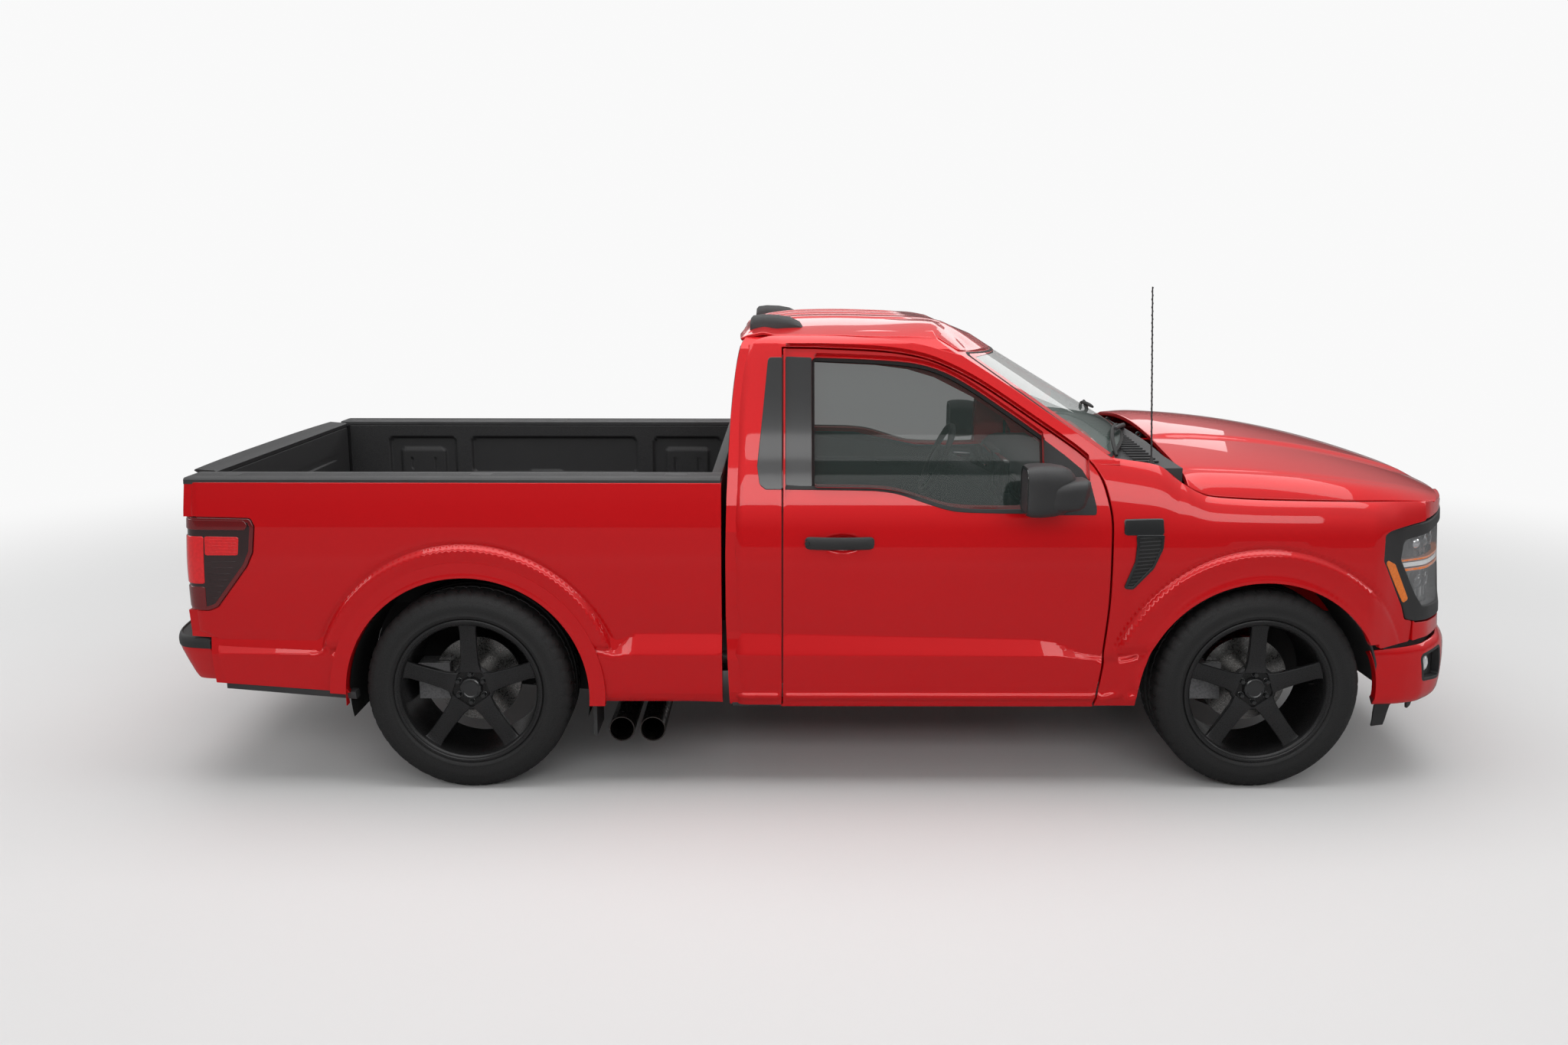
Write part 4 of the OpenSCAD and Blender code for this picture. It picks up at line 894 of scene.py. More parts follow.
def build_cab_sides():
    notch = door_shape(SHUT)
    start = CAB_BACK + CAB_CORNER - CAB_CORNER * PI / 2 - 20
    top_edge = cab_ditch() + screen_side_line()[1:]
    rear_edge = [(start, 1742), (-2060, 1752)]
    pillar = [(-574, 1318), (-574, 1302)]
    door_top = sorted([p for p in notch if p[1] > 1290 and p[0] > -1884], key=lambda p: p[0])
    rim = [(-1884, 345), (-1884, 1743)] + [p for p in door_top if -1880 < p[0] and p[1] > 1302]
    outline = [(start, 345)] + rim + [(-640, 1302), *pillar[::-1]] + top_edge[::-1] + rear_edge[::-1]
    rows = panel_rows(cab_crease, cab_peak, start + 8, -1892, 345, 1790, 14, 30)
    rows += lattice(-1880, -600, 1300, 1790, 26, 18)
    shell = skin(place_cab_side, outline, [], rows, step=20, hem=3, depth=16, sign=-1, lift=3)
    both("cab_side", shell, PAINT)
    sill = skin(place_cab_side, [(-1884, 345), (-1884, 336), (-646, 336), (-646, 345)], step=40, hem=0,
                depth=40, sign=-1)
    both("cab_sill", sill, PAINT)


FENDER_EDGE = [(-643, 342), (-627, 461), (-612, 634), (-604, 788), (-604, 962), (-605, 1086),
               (-618, 1166), (-640, 1243), (-676, 1303), (-700, 1340)]
FENDER_NOSE = [(FO - 315, 1124), (FO - 315, 1082), (FO - 485, 1054), (FO - 508, 1040), (FO - 508, 939),
               (FO - 400, 746), (FO - 380, 690), (FO - 343, 682), (FO - 343, 596), (FO - 500, 580)]


def build_fenders():
    base = 342
    reach = math.degrees(math.asin((FRONT_ARCH[1] - base) / ARCH_R))
    arch = arc(FRONT_ARCH, ARCH_R, -reach, 180 + reach, 64)
    edge = [(x + 1, fender_v(x, z)) for x, z in soft_line(FENDER_EDGE, 3)]
    top_x = np.linspace(-690, FO - 316, 40)
    top = [(float(x), float(SEAM)) for x in top_x]
    nose = [(x, fender_v(x, z)) for x, z in rounded([(FO - 315, 1100), *FENDER_NOSE[1:]], 14)]
    outline = [(edge[0][0], base)] + edge + top + nose[1:]
    outline += [(x, z) for x, z in arch if z >= base and (x < 0 or z > 584)]
    outline = [p for i, p in enumerate(outline) if i == 0 or math.dist(p, outline[i - 1]) > 2]
    rows = panel_rows(cab_crease, cab_peak, -640, FO - 320, base, SHOULDER, 26, 26)
    rows = clear_of(rows, FRONT_ARCH, FLARE_REACH) + polar(FRONT_ARCH, FLARE_RADII, -12, 192, 24)
    rows += lattice(-690, FO - 320, SHOULDER + 10, SEAM - 4, 24, 12)
    shell = skin(place_fender, outline, [], rows, step=20, hem=3, depth=18, sign=-1, lift=3)
    both("front_fender", shell, PAINT, replaces=["front_fenders"])


def build_bed_sides():
    base = 353
    reach = math.degrees(math.asin((REAR_ARCH[1] - base) / ARCH_R))
    arch = arc(REAR_ARCH, ARCH_R, -reach, 180 + reach, 70)
    end = BED_REAR + BED_CORNER
    limit = end - BED_CORNER * PI / 2 - (HW - GATE_HALF - 95)
    lamp = lamp_hole()
    top = RAIL_Z - 18
    outline = [(BED_FRONT, base), (BED_FRONT, top), (limit, top), (limit, 640), (BED_REAR + 10, 628),
               (BED_REAR + 76, 626), (BED_REAR + 112, 440), (-468, 402)]
    outline += [(x, z) for x, z in arch[::-1] if z > base + 1 and (x > 0 or z > 406)]
    rows = panel_rows(bed_crease, bed_peak, limit + 6, BED_FRONT - 6, base, top, 28, 28)
    rows += lattice(BED_REAR - 30, end, 630, top - 4, 9, 26)
    rows = clear_of(rows, REAR_ARCH, FLARE_REACH) + polar(REAR_ARCH, FLARE_RADII, -6, 190, 24)
    shell = skin(place_bed_side, outline, [lamp], rows, step=20, hem=3, depth=20, sign=-1, lift=3)
    both("bed_side", shell, PAINT)


def lamp_hole(d=3):
    """The tail lamp's opening on the bed side; it wraps round the corner to the tailgate."""
    limit = BED_REAR + BED_CORNER - BED_CORNER * PI / 2 - 40
    side = [(BED_REAR + x, z) for x, z in LAMP[2:]]
    outline = [(limit, 742), (limit, 1106), *rounded_lamp(side)]
    return grown(outline, d)


def rounded_lamp(side):
    return rounded([(BED_REAR - 60, 1107), *side[1:], (BED_REAR - 60, 740)], [0, 16, 20, 20, 30, 24, 24, 0])


# --- hood, roof and screen -----------------------------------------------------------------


def hood_mid(u):
    return 1381 - 212 * u * u - 10 * u ** 12


def place_hood(u, v):
    """u runs from the rear of the hood to its nose and v from its middle to its edge, 0 to 1000."""
    u, v = u / 1000, v / 1000
    a = np.clip(np.abs(v), 0, 1.2)
    half = HW - hood_inset_at(u)
    back = -334 + 32 * a ** 3
    front = FO - 93 - 150 * a ** 3
    x = back + u * (front - back)
    middle = hood_mid(u)
    shoulder = middle - 110 * (1 - u * u)
    t = np.clip(a / 0.9, 0, 1)
    inner = middle - (middle - shoulder) * t * t
    edge = seam_z(np.minimum(x, FO - 315)) + 5 - 14 * np.clip(u, 0, 1.1) ** 12
    s = np.clip((a - 0.86) / 0.14, 0, 1.6)
    drop = (shoulder - edge) * (s * s * (0.55 + 0.45 * s))
    z = np.where(a > 0.86, inner - drop, inner)
    dome_half = (480 - 60 * u) / half
    dome = 13 * ease((dome_half - a) / (46 / half)) * ease((u + 0.06) / 0.16) * ease((1.0 - u) / 0.10)
    z = z + dome
    return np.stack([x + XF, half * v, z], 1)


hood_inset_at = curve([(-0.05, 104), (0, 100), (0.1, 93), (0.3, 90), (0.6, 88), (0.8, 108), (0.92, 140),
                       (1, 190), (1.05, 215)])


def build_hood():
    outline = rounded(rect(0, -1000, 1000, 1000), 10, 6)
    us = [2, 12, 30, 60, 90, 120, 160] + list(range(200, 900, 36)) + [905, 930, 950, 966, 980, 990, 996]
    vs = list(range(0, 840, 35)) + [850, 868, 880, 892, 905, 918, 932, 946, 960, 974, 986, 994]
    dome = [440, 452, 464, 476, 488, 500, 512, 524, 536, 548, 560]
    grid = [(u, s * v) for u in us for v in sorted(set(vs) | set(dome)) for s in (-1, 1) if s > 0 or v]
    shell = skin(place_hood, outline, [], grid, step=14, hem=4, depth=18, sign=1)
    shell.make("hood_skin", PAINT, "hood", replaces=["hood"])
    inner = skin(place_hood, [(30, -955), (960, -940), (960, 940), (30, 955)],
                 [rounded([(160, -780), (160, -560), (860, -520), (800, -760)], 40),
                  rounded([(160, 780), (160, 560), (860, 520), (800, 760)], 40),
                  rounded([(140, -470), (140, -60), (880, -60), (880, -430)], 40),
                  rounded([(140, 470), (140, 60), (880, 60), (880, 430)], 40)],
                 lattice(40, 950, -930, 930, 60, 90), step=40, hem=3, depth=10, sign=-1, lift=17)
    inner.make("hood_inner_frame", PAINT, "hood")
    pad = skin(place_hood, rounded([(60, -900), (930, -880), (930, 880), (60, 900)], 40), [],
               lattice(80, 920, -880, 880, 60, 80), step=50, hem=3, depth=2, sign=-1, lift=11)
    pad.make("hood_insulation", CARPET, "hood")


SCREEN_R, SCREEN_TILT = 2580, math.radians(30.9)
SCREEN_TOP = (-968, 1709)
ROOF_HALF = 700
roof_line = curve([(CAB_BACK + 30, 1742), (CAB_BACK + 44, 1772), (CAB_BACK + 66, 1799),
                   (CAB_BACK + 100, 1818), (CAB_BACK + 150, 1834), (CAB_BACK + 220, 1846),
                   (CAB_BACK + 300, 1853), (-1640, 1856), (-1460, 1851), (-1310, 1840), (-1176, 1807),
                   (-1042, 1755), (-968, 1718)])
ditch_z = curve([(CAB_BACK + 20, 1730), (CAB_BACK + 40, 1752), (CAB_BACK + 86, 1775), (-1913, 1789),
                 (-1672, 1788), (-1443, 1774), (-1329, 1756), (-1248, 1734), (-1179, 1717), (-960, 1700)])


def swell(x, start, peak, end, height):
    """A height that grows ever faster from start to peak and falls evenly to nothing at end."""
    rise = np.clip((x - start) / (peak - start), 0, 1) ** 2
    return height * rise * np.clip((end - x) / (end - peak), 0, 1)


def roof_fill(x, a):
    """How much fuller the roof is towards the screen: at its middle, further out and at its edges."""
    outer, middle = ease((a - 0.52) / 0.28), ease((a - 0.2) / 0.32)
    inner = swell(x, -1500, -1205, -1020, 25) * middle + swell(x, -1400, -1055, -960, 15) * (1 - middle)
    rear_corner = 13 * ease((-1905 - x) / 60) * ease((a - 0.45) / 0.3)
    return swell(x, -1600, -1262, -1145, 38) * outer + inner * (1 - outer) + rear_corner


def roof_front(a):
    """Where the roof meets the screen, against the share of the half width."""
    return -966 - 213 * a ** 2.2


def soft_larger(a, b, blend):
    """The larger of two heights, with the change from one to the other rounded."""
    return (a + b + np.sqrt((a - b) ** 2 + blend ** 2)) / 2 - blend / 4


def place_roof(u, v):
    """u from the rear edge to the screen, v across, both in thousandths."""
    u, v = u / 1000, v / 1000
    a = np.abs(v)
    back = CAB_BACK + 40 + 12 * a ** 3
    x = back + u * (roof_front(np.clip(a, 0, 1)) - back)
    side = ditch_z(x)
    top = np.maximum(roof_line(x), side)
    crown = 1 - np.clip(a, 0, 1.1) ** 3
    z = side + (top - side) * crown
    rib = 0
    for centre in (0, 0.26, 0.52):
        rib = rib + 4.5 * ease((0.058 - np.abs(a - centre)) / 0.03)
    z = z + rib * ease((x - (CAB_BACK + 110)) / 40) * ease((-1330 - x) / 60) * (a < 0.9)
    sag = SCREEN_R - np.sqrt(SCREEN_R ** 2 - (ROOF_HALF * np.clip(a, 0, 1.1)) ** 2)
    glass = SCREEN_TOP[1] + 4 - ((x - SCREEN_TOP[0]) * math.sin(SCREEN_TILT) + sag) / math.cos(SCREEN_TILT)
    blend = 6 + 44 * (1 - np.clip(a, 0, 1) ** 4)
    limit = soft_larger(glass, side, blend)
    near = ease((u - 0.45) / 0.5)
    z = (z + limit - soft_larger(z, limit, blend)) * near + z * (1 - near)
    z = z + roof_fill(x, np.clip(a, 0, 1))
    return np.stack([x + XF, ROOF_HALF * v, z], 1)


def build_roof():
    outline = rounded(rect(0, -1000, 1000, 1000), 12, 8)
    us = [5, 15, 28, 42, 58, 76, 96, 110, 125, 140, 160] + list(range(190, 640, 45)) \
        + [650, 665, 680, 700, 720, 745, 770, 800, 830, 860, 890, 920, 950, 975, 992]
    vs = [0, 25, 30, 38, 46, 54, 62, 90, 130, 170, 195, 202, 210, 218, 228, 240, 260, 285, 295, 303, 311,
          319, 330, 370, 410, 450, 462, 470, 480, 490, 520, 555, 563, 571, 580, 620, 680, 730, 780,
          830, 870, 910, 940, 965, 985]
    grid = [(u, s * v) for u in us for v in vs for s in (-1, 1) if s > 0 or v]
    shell = skin(place_roof, outline, [], grid, step=12, hem=4, depth=12)
    shell.make("roof_panel", PAINT)


def place_screen(y, s):
    """The windscreen: part of a tilted cylinder; s runs down the glass from its top edge."""
    sag = SCREEN_R - np.sqrt(SCREEN_R ** 2 - y ** 2)
    c, w = math.cos(SCREEN_TILT), math.sin(SCREEN_TILT)
    x = SCREEN_TOP[0] + s * c - sag * w
    z = SCREEN_TOP[1] - s * w - sag * c
    return np.stack([XF + x, y, z], 1)


def screen_top(y):
    """How far down the glass surface the roof's front edge lies."""
    sag = SCREEN_R - math.sqrt(SCREEN_R ** 2 - y ** 2)
    x = roof_front(abs(y) / ROOF_HALF)
    return (x - SCREEN_TOP[0] + sag * math.sin(SCREEN_TILT)) / math.cos(SCREEN_TILT)


def screen_outline(grow=0):
    """The glass in (y, s): top edge, left side, cowl edge and right side."""
    half_top, half_low = 668 + grow, 842 + grow
    top = [(y, screen_top(y) + 12 - grow) for y in np.linspace(-half_top, half_top, 25)]
    low = [(y, 672 - 160 * (abs(y) / half_low) ** 2.0 + grow) for y in np.linspace(half_low, -half_low, 31)]
    return rounded([tuple(p) for p in top + low], 30, 8)


def build_glass():
    grid = lattice(-860, 860, -200, 700, 40, 36)
    glass = skin(place_screen, screen_outline(), [], grid, step=26, hem=1, depth=4, sign=-1, lift=-2)
    glass.make("windscreen", WINDSCREEN, replaces=["cab_glass"])
    clear = [(y * 0.945, 18 + (s - 18) * 0.93 + 12) for y, s in screen_outline()]
    frit = skin(place_screen, screen_outline(-1), [clear], step=26, hem=0, depth=0.5, sign=-1, lift=-7)
    frit.make("windscreen_border", GLOSS)
    seal = skin(place_screen, screen_outline(9), [screen_outline(-3)], step=24, hem=1.5, depth=8,
                sign=-1, lift=1)
    seal.make("windscreen_seal", RUBBER)
    rear = skin(place_cab_back, grown(BACK_WINDOW, 6), [], lattice(-600, 600, 1230, 1640, 80, 60), step=30,
                hem=1, depth=4, sign=-1, lift=2)
    rear.make("rear_window", SIDE_GLASS)
    rim = skin(place_cab_back, grown(BACK_WINDOW, 22), [grown(BACK_WINDOW, -14)], step=24, hem=2, depth=8,
               sign=-1, lift=5)
    rim.make("rear_window_border", GLOSS)


def build_cab_back():
    half = HW - CAB_CORNER - 10
    outline = [(-half + 6, 350), (half - 6, 350), (half - 14, 1120), (half - 52, 1215), (half - 236, 1700),
               (half - 262, 1745), (-half + 262, 1745), (-half + 236, 1700), (-half + 52, 1215),
               (-half + 14, 1120)]
    panel = skin(place_cab_back, outline, [BACK_WINDOW], lattice(-900, 900, 360, 1740, 60, 40), step=30,
                 hem=2, depth=10, sign=-1, lift=2)
    panel.make("cab_back_panel", PAINT)

# --- wheels and tyres ------------------------------------------------------------------------

ALL_WHEELS = (("front_left", XF, FRONT_Y, 1), ("front_right", XF, FRONT_Y, -1),
              ("rear_left", XR, REAR_Y, 1), ("rear_right", XR, REAR_Y, -1))


def tyre_shell():
    """A tyre about the y axis, its outer face towards +y: carcass with grooved tread blocks."""
    side, crown, bead = TYRE_W / 2, TYRE_R, RIM_R + 1
    wall = [(bead, side - 22), (bead + 12, side - 15), (bead + 17, side - 7), (bead + 22, side - 3.5),
            (bead + 30, side - 1.5), (bead + 33, side - 2.6), (bead + 50, side - 0.6),
            (crown - 64, side - 0.6), (crown - 50, side - 2), (crown - 47, side - 3.6),
            (crown - 40, side - 4.4), (crown - 32, side - 8), (crown - 20, side - 14.5),
            (crown - 9, side - 24)]
    tread = [(crown - 3.5, side - 33), (crown - 1.5, side - 40)]
    groove = 8
    profile = wall + tread
    half = side - 44
    edges = [half, half * 0.56, half * 0.46, half * 0.12, half * 0.03]
    profile += [(crown - 0.6, half), (crown, half * 0.8), (crown, edges[1] + 1.5),
                (crown - groove, edges[1] - 1), (crown - groove, edges[2] + 1), (crown, edges[2] - 1.5),
                (crown, edges[3] + 1.5), (crown - groove, edges[3] - 1), (crown - groove, edges[4] + 1)]
    profile += [(r, -h) for r, h in profile[::-1]]
    n = 288
    shell = turn(profile, n, "y")
    for r, (radius, h) in enumerate(profile):
        for i in range(n):
            lean = abs(h) / side * 5.0
            phase = (i + lean * (1 if h > 0 else -1) + (0 if h > 0 else 2)) % 6
            shoulder = radius > crown - 34 and abs(h) > edges[1] - 2
            middle = edges[2] > abs(h) > edges[3] and radius > crown - 2
            depth = 0
            if shoulder and phase < 1 and radius > crown - 10:
                depth = 6
            elif shoulder and phase < 1:
                depth = 3.5
            elif middle and phase < 1 and abs(h) > half * 0.3:
                depth = 4
            if depth:
                x, y, z = shell.points[r * n + i]
                s = (radius - depth) / radius
                shell.points[r * n + i] = (x * s, y, z * s)
    return shell


SPOKES, LUG_NUTS = 5, 6


def spoke_ring():
    """The wheel: a stepped barrel, broad flat spokes with chamfered sides, and a bolted hub."""
    shell = Shell()
    lip = TYRE_W / 2 - 4
    outer = [(RIM_R - 22, -lip + 3), (RIM_R - 16, -lip + 0.5), (RIM_R + 11, -lip + 0.5),
             (RIM_R + 13.5, -lip + 3), (RIM_R + 13.5, -lip + 9), (RIM_R + 1, -lip + 14),
             (RIM_R + 0.5, lip - 14), (RIM_R + 13.5, lip - 9), (RIM_R + 13.5, lip - 3),
             (RIM_R + 11, lip - 0.5), (RIM_R + 4, lip - 0.5), (RIM_R + 1, lip - 2.5), (RIM_R - 3, lip - 3),
             (RIM_R - 8, lip - 7), (RIM_R - 12, lip - 16), (RIM_R - 13, lip - 40), (RIM_R - 18, 30),
             (RIM_R - 22, -20), (RIM_R - 22, -lip + 3)]
    shell.join(turn(outer, 144, "y"))
    face = lip - 36
    hub = [(0.5, face - 40), (86, face - 40), (92, face - 34), (92, face - 18), (86, face - 12),
           (78, face - 10), (74, face - 17), (60, face - 19), (46, face - 19), (43, face - 12),
           (0.5, face - 12)]
    shell.join(turn(hub, 96, "y"))
    for i in range(SPOKES):
        shell.join(spoke(face).turned(Matrix.Rotation(2 * PI * i / SPOKES - PI / 2, 3, "Y")))
    return shell


def spoke(face):
    """One flat spoke along +x; its face runs nearly straight from the hub out to the rim's step."""
    rings = []
    stations = ((66, 46, 0, 30), (84, 41, 3, 32), (110, 36, 5, 34), (180, 33, 8, 34), (240, 33.5, 12, 30),
                (RIM_R - 20, 36, 15, 24), (RIM_R - 12, 41, 17, 20))
    for x, w, rise, depth in stations:
        top = face - 8 + rise
        section = [(-w + 6, 0), (w - 6, 0), (w - 2.5, -1.5), (w, -6), (w - 2, -depth * 0.7),
                   (w - 10, -depth), (-w + 10, -depth), (-w + 2, -depth * 0.7), (-w, -6), (-w + 2.5, -1.5)]
        rings.append([(x, top + h, z) for z, h in section])
    return loft(rings)


def lug_nuts(face):
    shell = Shell()
    for i in range(LUG_NUTS):
        a = 2 * PI * i / LUG_NUTS + PI / 6
        nut = bar([(9.5 * math.cos(k * PI / 3), 9.5 * math.sin(k * PI / 3)) for k in range(6)], 0, 20, 2,
                  "y")
        nut.join(turn([(14, -6), (14, 1), (12.5, 2), (9, 2)], 20, "y"))
        nut.moved(57 * math.cos(a), face - 19, 57 * math.sin(a))
        shell.join(nut)
    return shell


def build_wheels():
    face = TYRE_W / 2 - 40
    tyre, wheel, nuts = tyre_shell(), spoke_ring(), lug_nuts(face)
    cap = turn([(34, face - 14), (41, face - 14), (42.5, face - 11), (41, face - 4), (37, face - 1.5),
                (33, face - 2.5), (30, face - 5), (12, face - 3.5), (0.5, face - 3)], 64, "y")
    valve = pipe([(RIM_R - 18, 30, 0), (RIM_R - 42, 34, 0)], [5, 3.5], 12)
    for name, x, y, side in ALL_WHEELS:
        body = f"{name}_wheel"
        for piece, shell, material, slot, hides in (
                ("tyre", tyre, TYRE, "tyre_rubber", [f"tyre_{name}"]),
                ("wheel", wheel, WHEEL, "wheel_black", [f"wheel_{name}"]),
                ("lug_nuts", nuts, GLOSS, "gloss_black", []),
                ("wheel_cap", cap, GLOSS, "gloss_black", []),
                ("tyre_valve", valve, RUBBER, "tyre_rubber", [])):
            half = Shell().join(shell)
            half.moved(0, y, 0)
            if side < 0:
                half = half.mirrored()
            half.moved(x, 0, AXLE_Z)
            half.make(f"{piece}_{name}", material, body, smooth=28, slot=slot, replaces=hides)


# --- side trim -----------------------------------------------------------------------------------


def build_side_glass():
    """Door glass, its black channel, the pillar cover, the waist moulding and the mirror's corner."""
    window = soft_window()
    pane = skin(place_cab_side, grown(window, 12), [], lattice(-1800, -800, 1100, 1720, 60, 40), step=26,
                hem=1, depth=4, sign=-1, lift=-12)
    both("door_pane", pane, SIDE_GLASS, DOORS, slot="side_glass", replaces=["door_glass_SIDE"])
    channel = skin(place_cab_side, grown(window, 11), [grown(rounded(window, 6), -4)], step=16, hem=2,
                   depth=10, sign=-1, lift=-1.5)
    both("window_channel", channel, RUBBER, DOORS)
    pillar = rounded([(-1870, 1224), (-1870, 1706), (-1766, 1702), (-1766, 1218)], 8)
    cover = skin(place_cab_side, pillar, [], lattice(-1870, -1760, 1220, 1700, 40, 30), step=26, hem=3,
                 depth=8, sign=-1, lift=6)
    both("pillar_cover", cover, GLOSS, DOORS)
    quarter = skin(place_cab_side, rounded(QUARTER, [6, 6, 16, 40, 40, 22, 8]), [],
                   lattice(-1980, -1880, 1215, 1700, 30, 30), step=22, hem=3, depth=8, sign=-1, lift=6)
    both("quarter_cover", quarter, GLOSS)
    low = soft_line([(-1870, 1209), (-1600, 1206), (-1509, 1203), (-1430, 1191), (-1341, 1163),
                     (-1251, 1136), (-1184, 1126), (-1050, 1122), (-960, 1121), (-880, 1118)], 5)
    high = soft_line([(-1870, 1224), (-1600, 1221), (-1509, 1217), (-1430, 1206), (-1341, 1179),
                      (-1251, 1151), (-1184, 1141), (-1050, 1138), (-960, 1138), (-880, 1137)], 5)
    waist = skin(place_cab_side, low + high[::-1], step=18, hem=3, depth=8, sign=-1, lift=7)
    both("waist_moulding", waist, TRIM, DOORS)
    sail = skin(place_cab_side, rounded(SAIL, [4, 20, 20, 20, 20, 8, 4]), [],
                lattice(-860, -670, 1120, 1390, 30, 30), step=18, hem=3, depth=8, sign=-1, lift=6)
    both("mirror_corner", sail, TRIM, DOORS)


def build_handles():
    """Pull handles: a bar on two feet over a scooped recess, with a lock cap at the rear."""
    def place(x, z):
        p = place_cab_side(x, z)
        r = np.hypot((x + 1648) / 78, (z - 1006) / 40)
        p[:, 1] -= 26 * ease((1.05 - r) / 0.9)
        return p
    cup = skin(place, rounded(CUP, 34), [],
               lattice(-1730, -1560, 970, 1046, 9, 7), step=9, hem=0, depth=0.2, sign=-1, lift=3.6)
    both("handle_cup", cup, PAINT, DOORS)
    y = HW - float(cab_inset(np.array([-1660.0]), np.array([1009.0]))[0])
    grip = Shell()
    rings = []
    for t in np.linspace(0, 1, 25):
        x = XF - 1794 + 268 * t
        full = 1 - 0.5 * (1 - min(1, min(t, 1 - t) / 0.06)) ** 2
        out = 13 + 17 * math.sin(PI * min(1, max(0, t))) ** 0.6
        h = 25 * full
        rings.append([(x, y + out - 9 + 9 * full * math.cos(a), 1009 + h * math.sin(a))
                      for a in np.linspace(0, 2 * PI, 20, endpoint=False)])
    grip.join(loft(rings))
    for x in (XF - 1774, XF - 1546):
        grip.join(brick((x - 18, x + 18), (y - 8, y + 14), (988, 1030), 3, 8))
    both("door_handle", grip, TRIM, DOORS)
    lock = turn([(0.5, 0), (9, 0), (10, -2), (10, -8)], 32, "y").moved(XF - 1785, y + 22, 1009)
    both("door_lock", lock, GLOSS, DOORS)


def build_mirrors():
    """A two-part housing on an arm, with the reflecting glass set back in its rear face."""
    y0, x0 = HW - 60, XF + 24
    rings = []
    for x, ya, yb, za, zb, r in ((-1003, 96, 250, 1150, 1328, 40), (-985, 90, 256, 1144, 1334, 46),
                                 (-950, 88, 258, 1142, 1337, 50), (-900, 88, 254, 1146, 1335, 50),
                                 (-862, 90, 240, 1154, 1328, 46), (-836, 94, 216, 1166, 1316, 40),
                                 (-818, 104, 190, 1186, 1296, 30), (-812, 118, 170, 1204, 1278, 20)):
        loop = rounded(rect(y0 + ya, za, y0 + yb, zb), r, 8)
        loop = dense(loop, 400)
        rings.append([(x0 + x, *p) for p in resample(loop, 48)])
    cap = loft(rings)
    both("mirror_cap", cap, TRIM, DOORS, replaces=["mirror_SIDE"])
    rings = []
    for x, ya, yb, za, zb, r in ((-912, 120, 252, 1182, 1262, 14), (-904, 112, 255, 1174, 1270, 22),
                                 (-880, 106, 258, 1170, 1276, 28), (-830, 104, 257, 1168, 1282, 30),
                                 (-796, 108, 250, 1172, 1284, 30), (-780, 118, 232, 1182, 1278, 24),
                                 (-776, 128, 220, 1192, 1270, 16)):
        loop = dense(rounded(rect(y0 + ya, za, y0 + yb, zb), r, 8), 400)
        rings.append([(x0 + x + 0.22 * (p[1] - 1226), *p) for p in resample(loop, 48)])
    both("mirror_lower_cap", loft(rings), TRIM, DOORS)
    lip = resample(rounded(rect(y0 + 98, 1152, y0 + 248, 1326), 38, 8), 48)
    inner = resample(rounded(rect(y0 + 106, 1160, y0 + 240, 1318), 32, 8), 48)
    rim = loft([[(x0 - 1003.5, *p) for p in lip], [(x0 - 1006, *p) for p in lip],
                [(x0 - 1006, *p) for p in inner], [(x0 - 997, *p) for p in inner]], cap=False)
    both("mirror_rim", rim, GLOSS, DOORS)
    glass = loft([[(x0 - 999, *p) for p in inner], [(x0 - 1000, *p) for p in inner]])
    both("mirror_glass", glass, MIRROR, DOORS)
    arm = []
    for t in np.linspace(0, 1, 9):
        y = y0 - 22 + 124 * t
        w, h = 70 - 24 * math.sin(PI * t), 26 - 6 * math.sin(PI * t)
        loop = resample(rounded(rect(-w, -h, w, h), 14, 6), 32)
        arm.append([(x0 - 835 - 18 * t + px, y, 1196 - 8 * t + pz) for px, pz in loop])
    both("mirror_arm", loft(arm), TRIM, DOORS)


def resample(loop, n):
    """n points evenly spaced round a closed outline."""
    p = np.array(list(loop) + [loop[0]], float)
    run = np.concatenate([[0], np.cumsum(np.hypot(*np.diff(p, axis=0).T))])
    at = np.linspace(0, run[-1], n, endpoint=False)
    return list(zip(np.interp(at, run, p[:, 0]), np.interp(at, run, p[:, 1])))

# --- nose --------------------------------------------------------------------------------------------

_NOSE = [(0, FO - 38), (120, FO - 39), (234, FO - 43), (350, FO - 52), (454, FO - 65), (540, FO - 84),
         (614, FO - 105), (676, FO - 130), (730, FO - 155), (775, FO - 183), (814, FO - 213),
         (850, FO - 243), (882, FO - 275), (905, FO - 314), (922, FO - 355), (939, FO - 397),
         (952, FO - 435), (970, FO - 474), (984, FO - 505), (1000, FO - 541), (1009, FO - 575)]
_BUMPER = [(0, FO - 3), (134, FO - 4), (300, FO - 13), (394, FO - 25), (510, FO - 43), (614, FO - 65),
           (690, FO - 90), (764, FO - 125), (815, FO - 158), (854, FO - 195), (888, FO - 235),
           (918, FO - 275), (938, FO - 325), (952, FO - 375), (958, FO - 430), (962, FO - 479),
           (966, FO - 540)]


def plan_line(table):
    """A plan line from the middle outward, as x and y curves against the length run along it."""
    run = [0.0]
    for a, b in zip(table, table[1:]):
        run.append(run[-1] + math.dist(a, b))
    at_x = curve([(u, p[1]) for u, p in zip(run, table)])
    at_y = curve([(u, p[0]) for u, p in zip(run, table)])
    u_of_x = curve([(p[1] - 1e-3 * i, u) for i, (u, p) in enumerate(zip(run, table))])
    u_of_y = curve([(p[0], u) for u, p in zip(run, table)])
    return at_x, at_y, u_of_x, u_of_y, run[-1]


nose_x, nose_y, nose_u_x, nose_u_y, _ = plan_line(_NOSE)
bumper_x, bumper_y, bumper_u_x, bumper_u_y, _ = plan_line(_BUMPER)


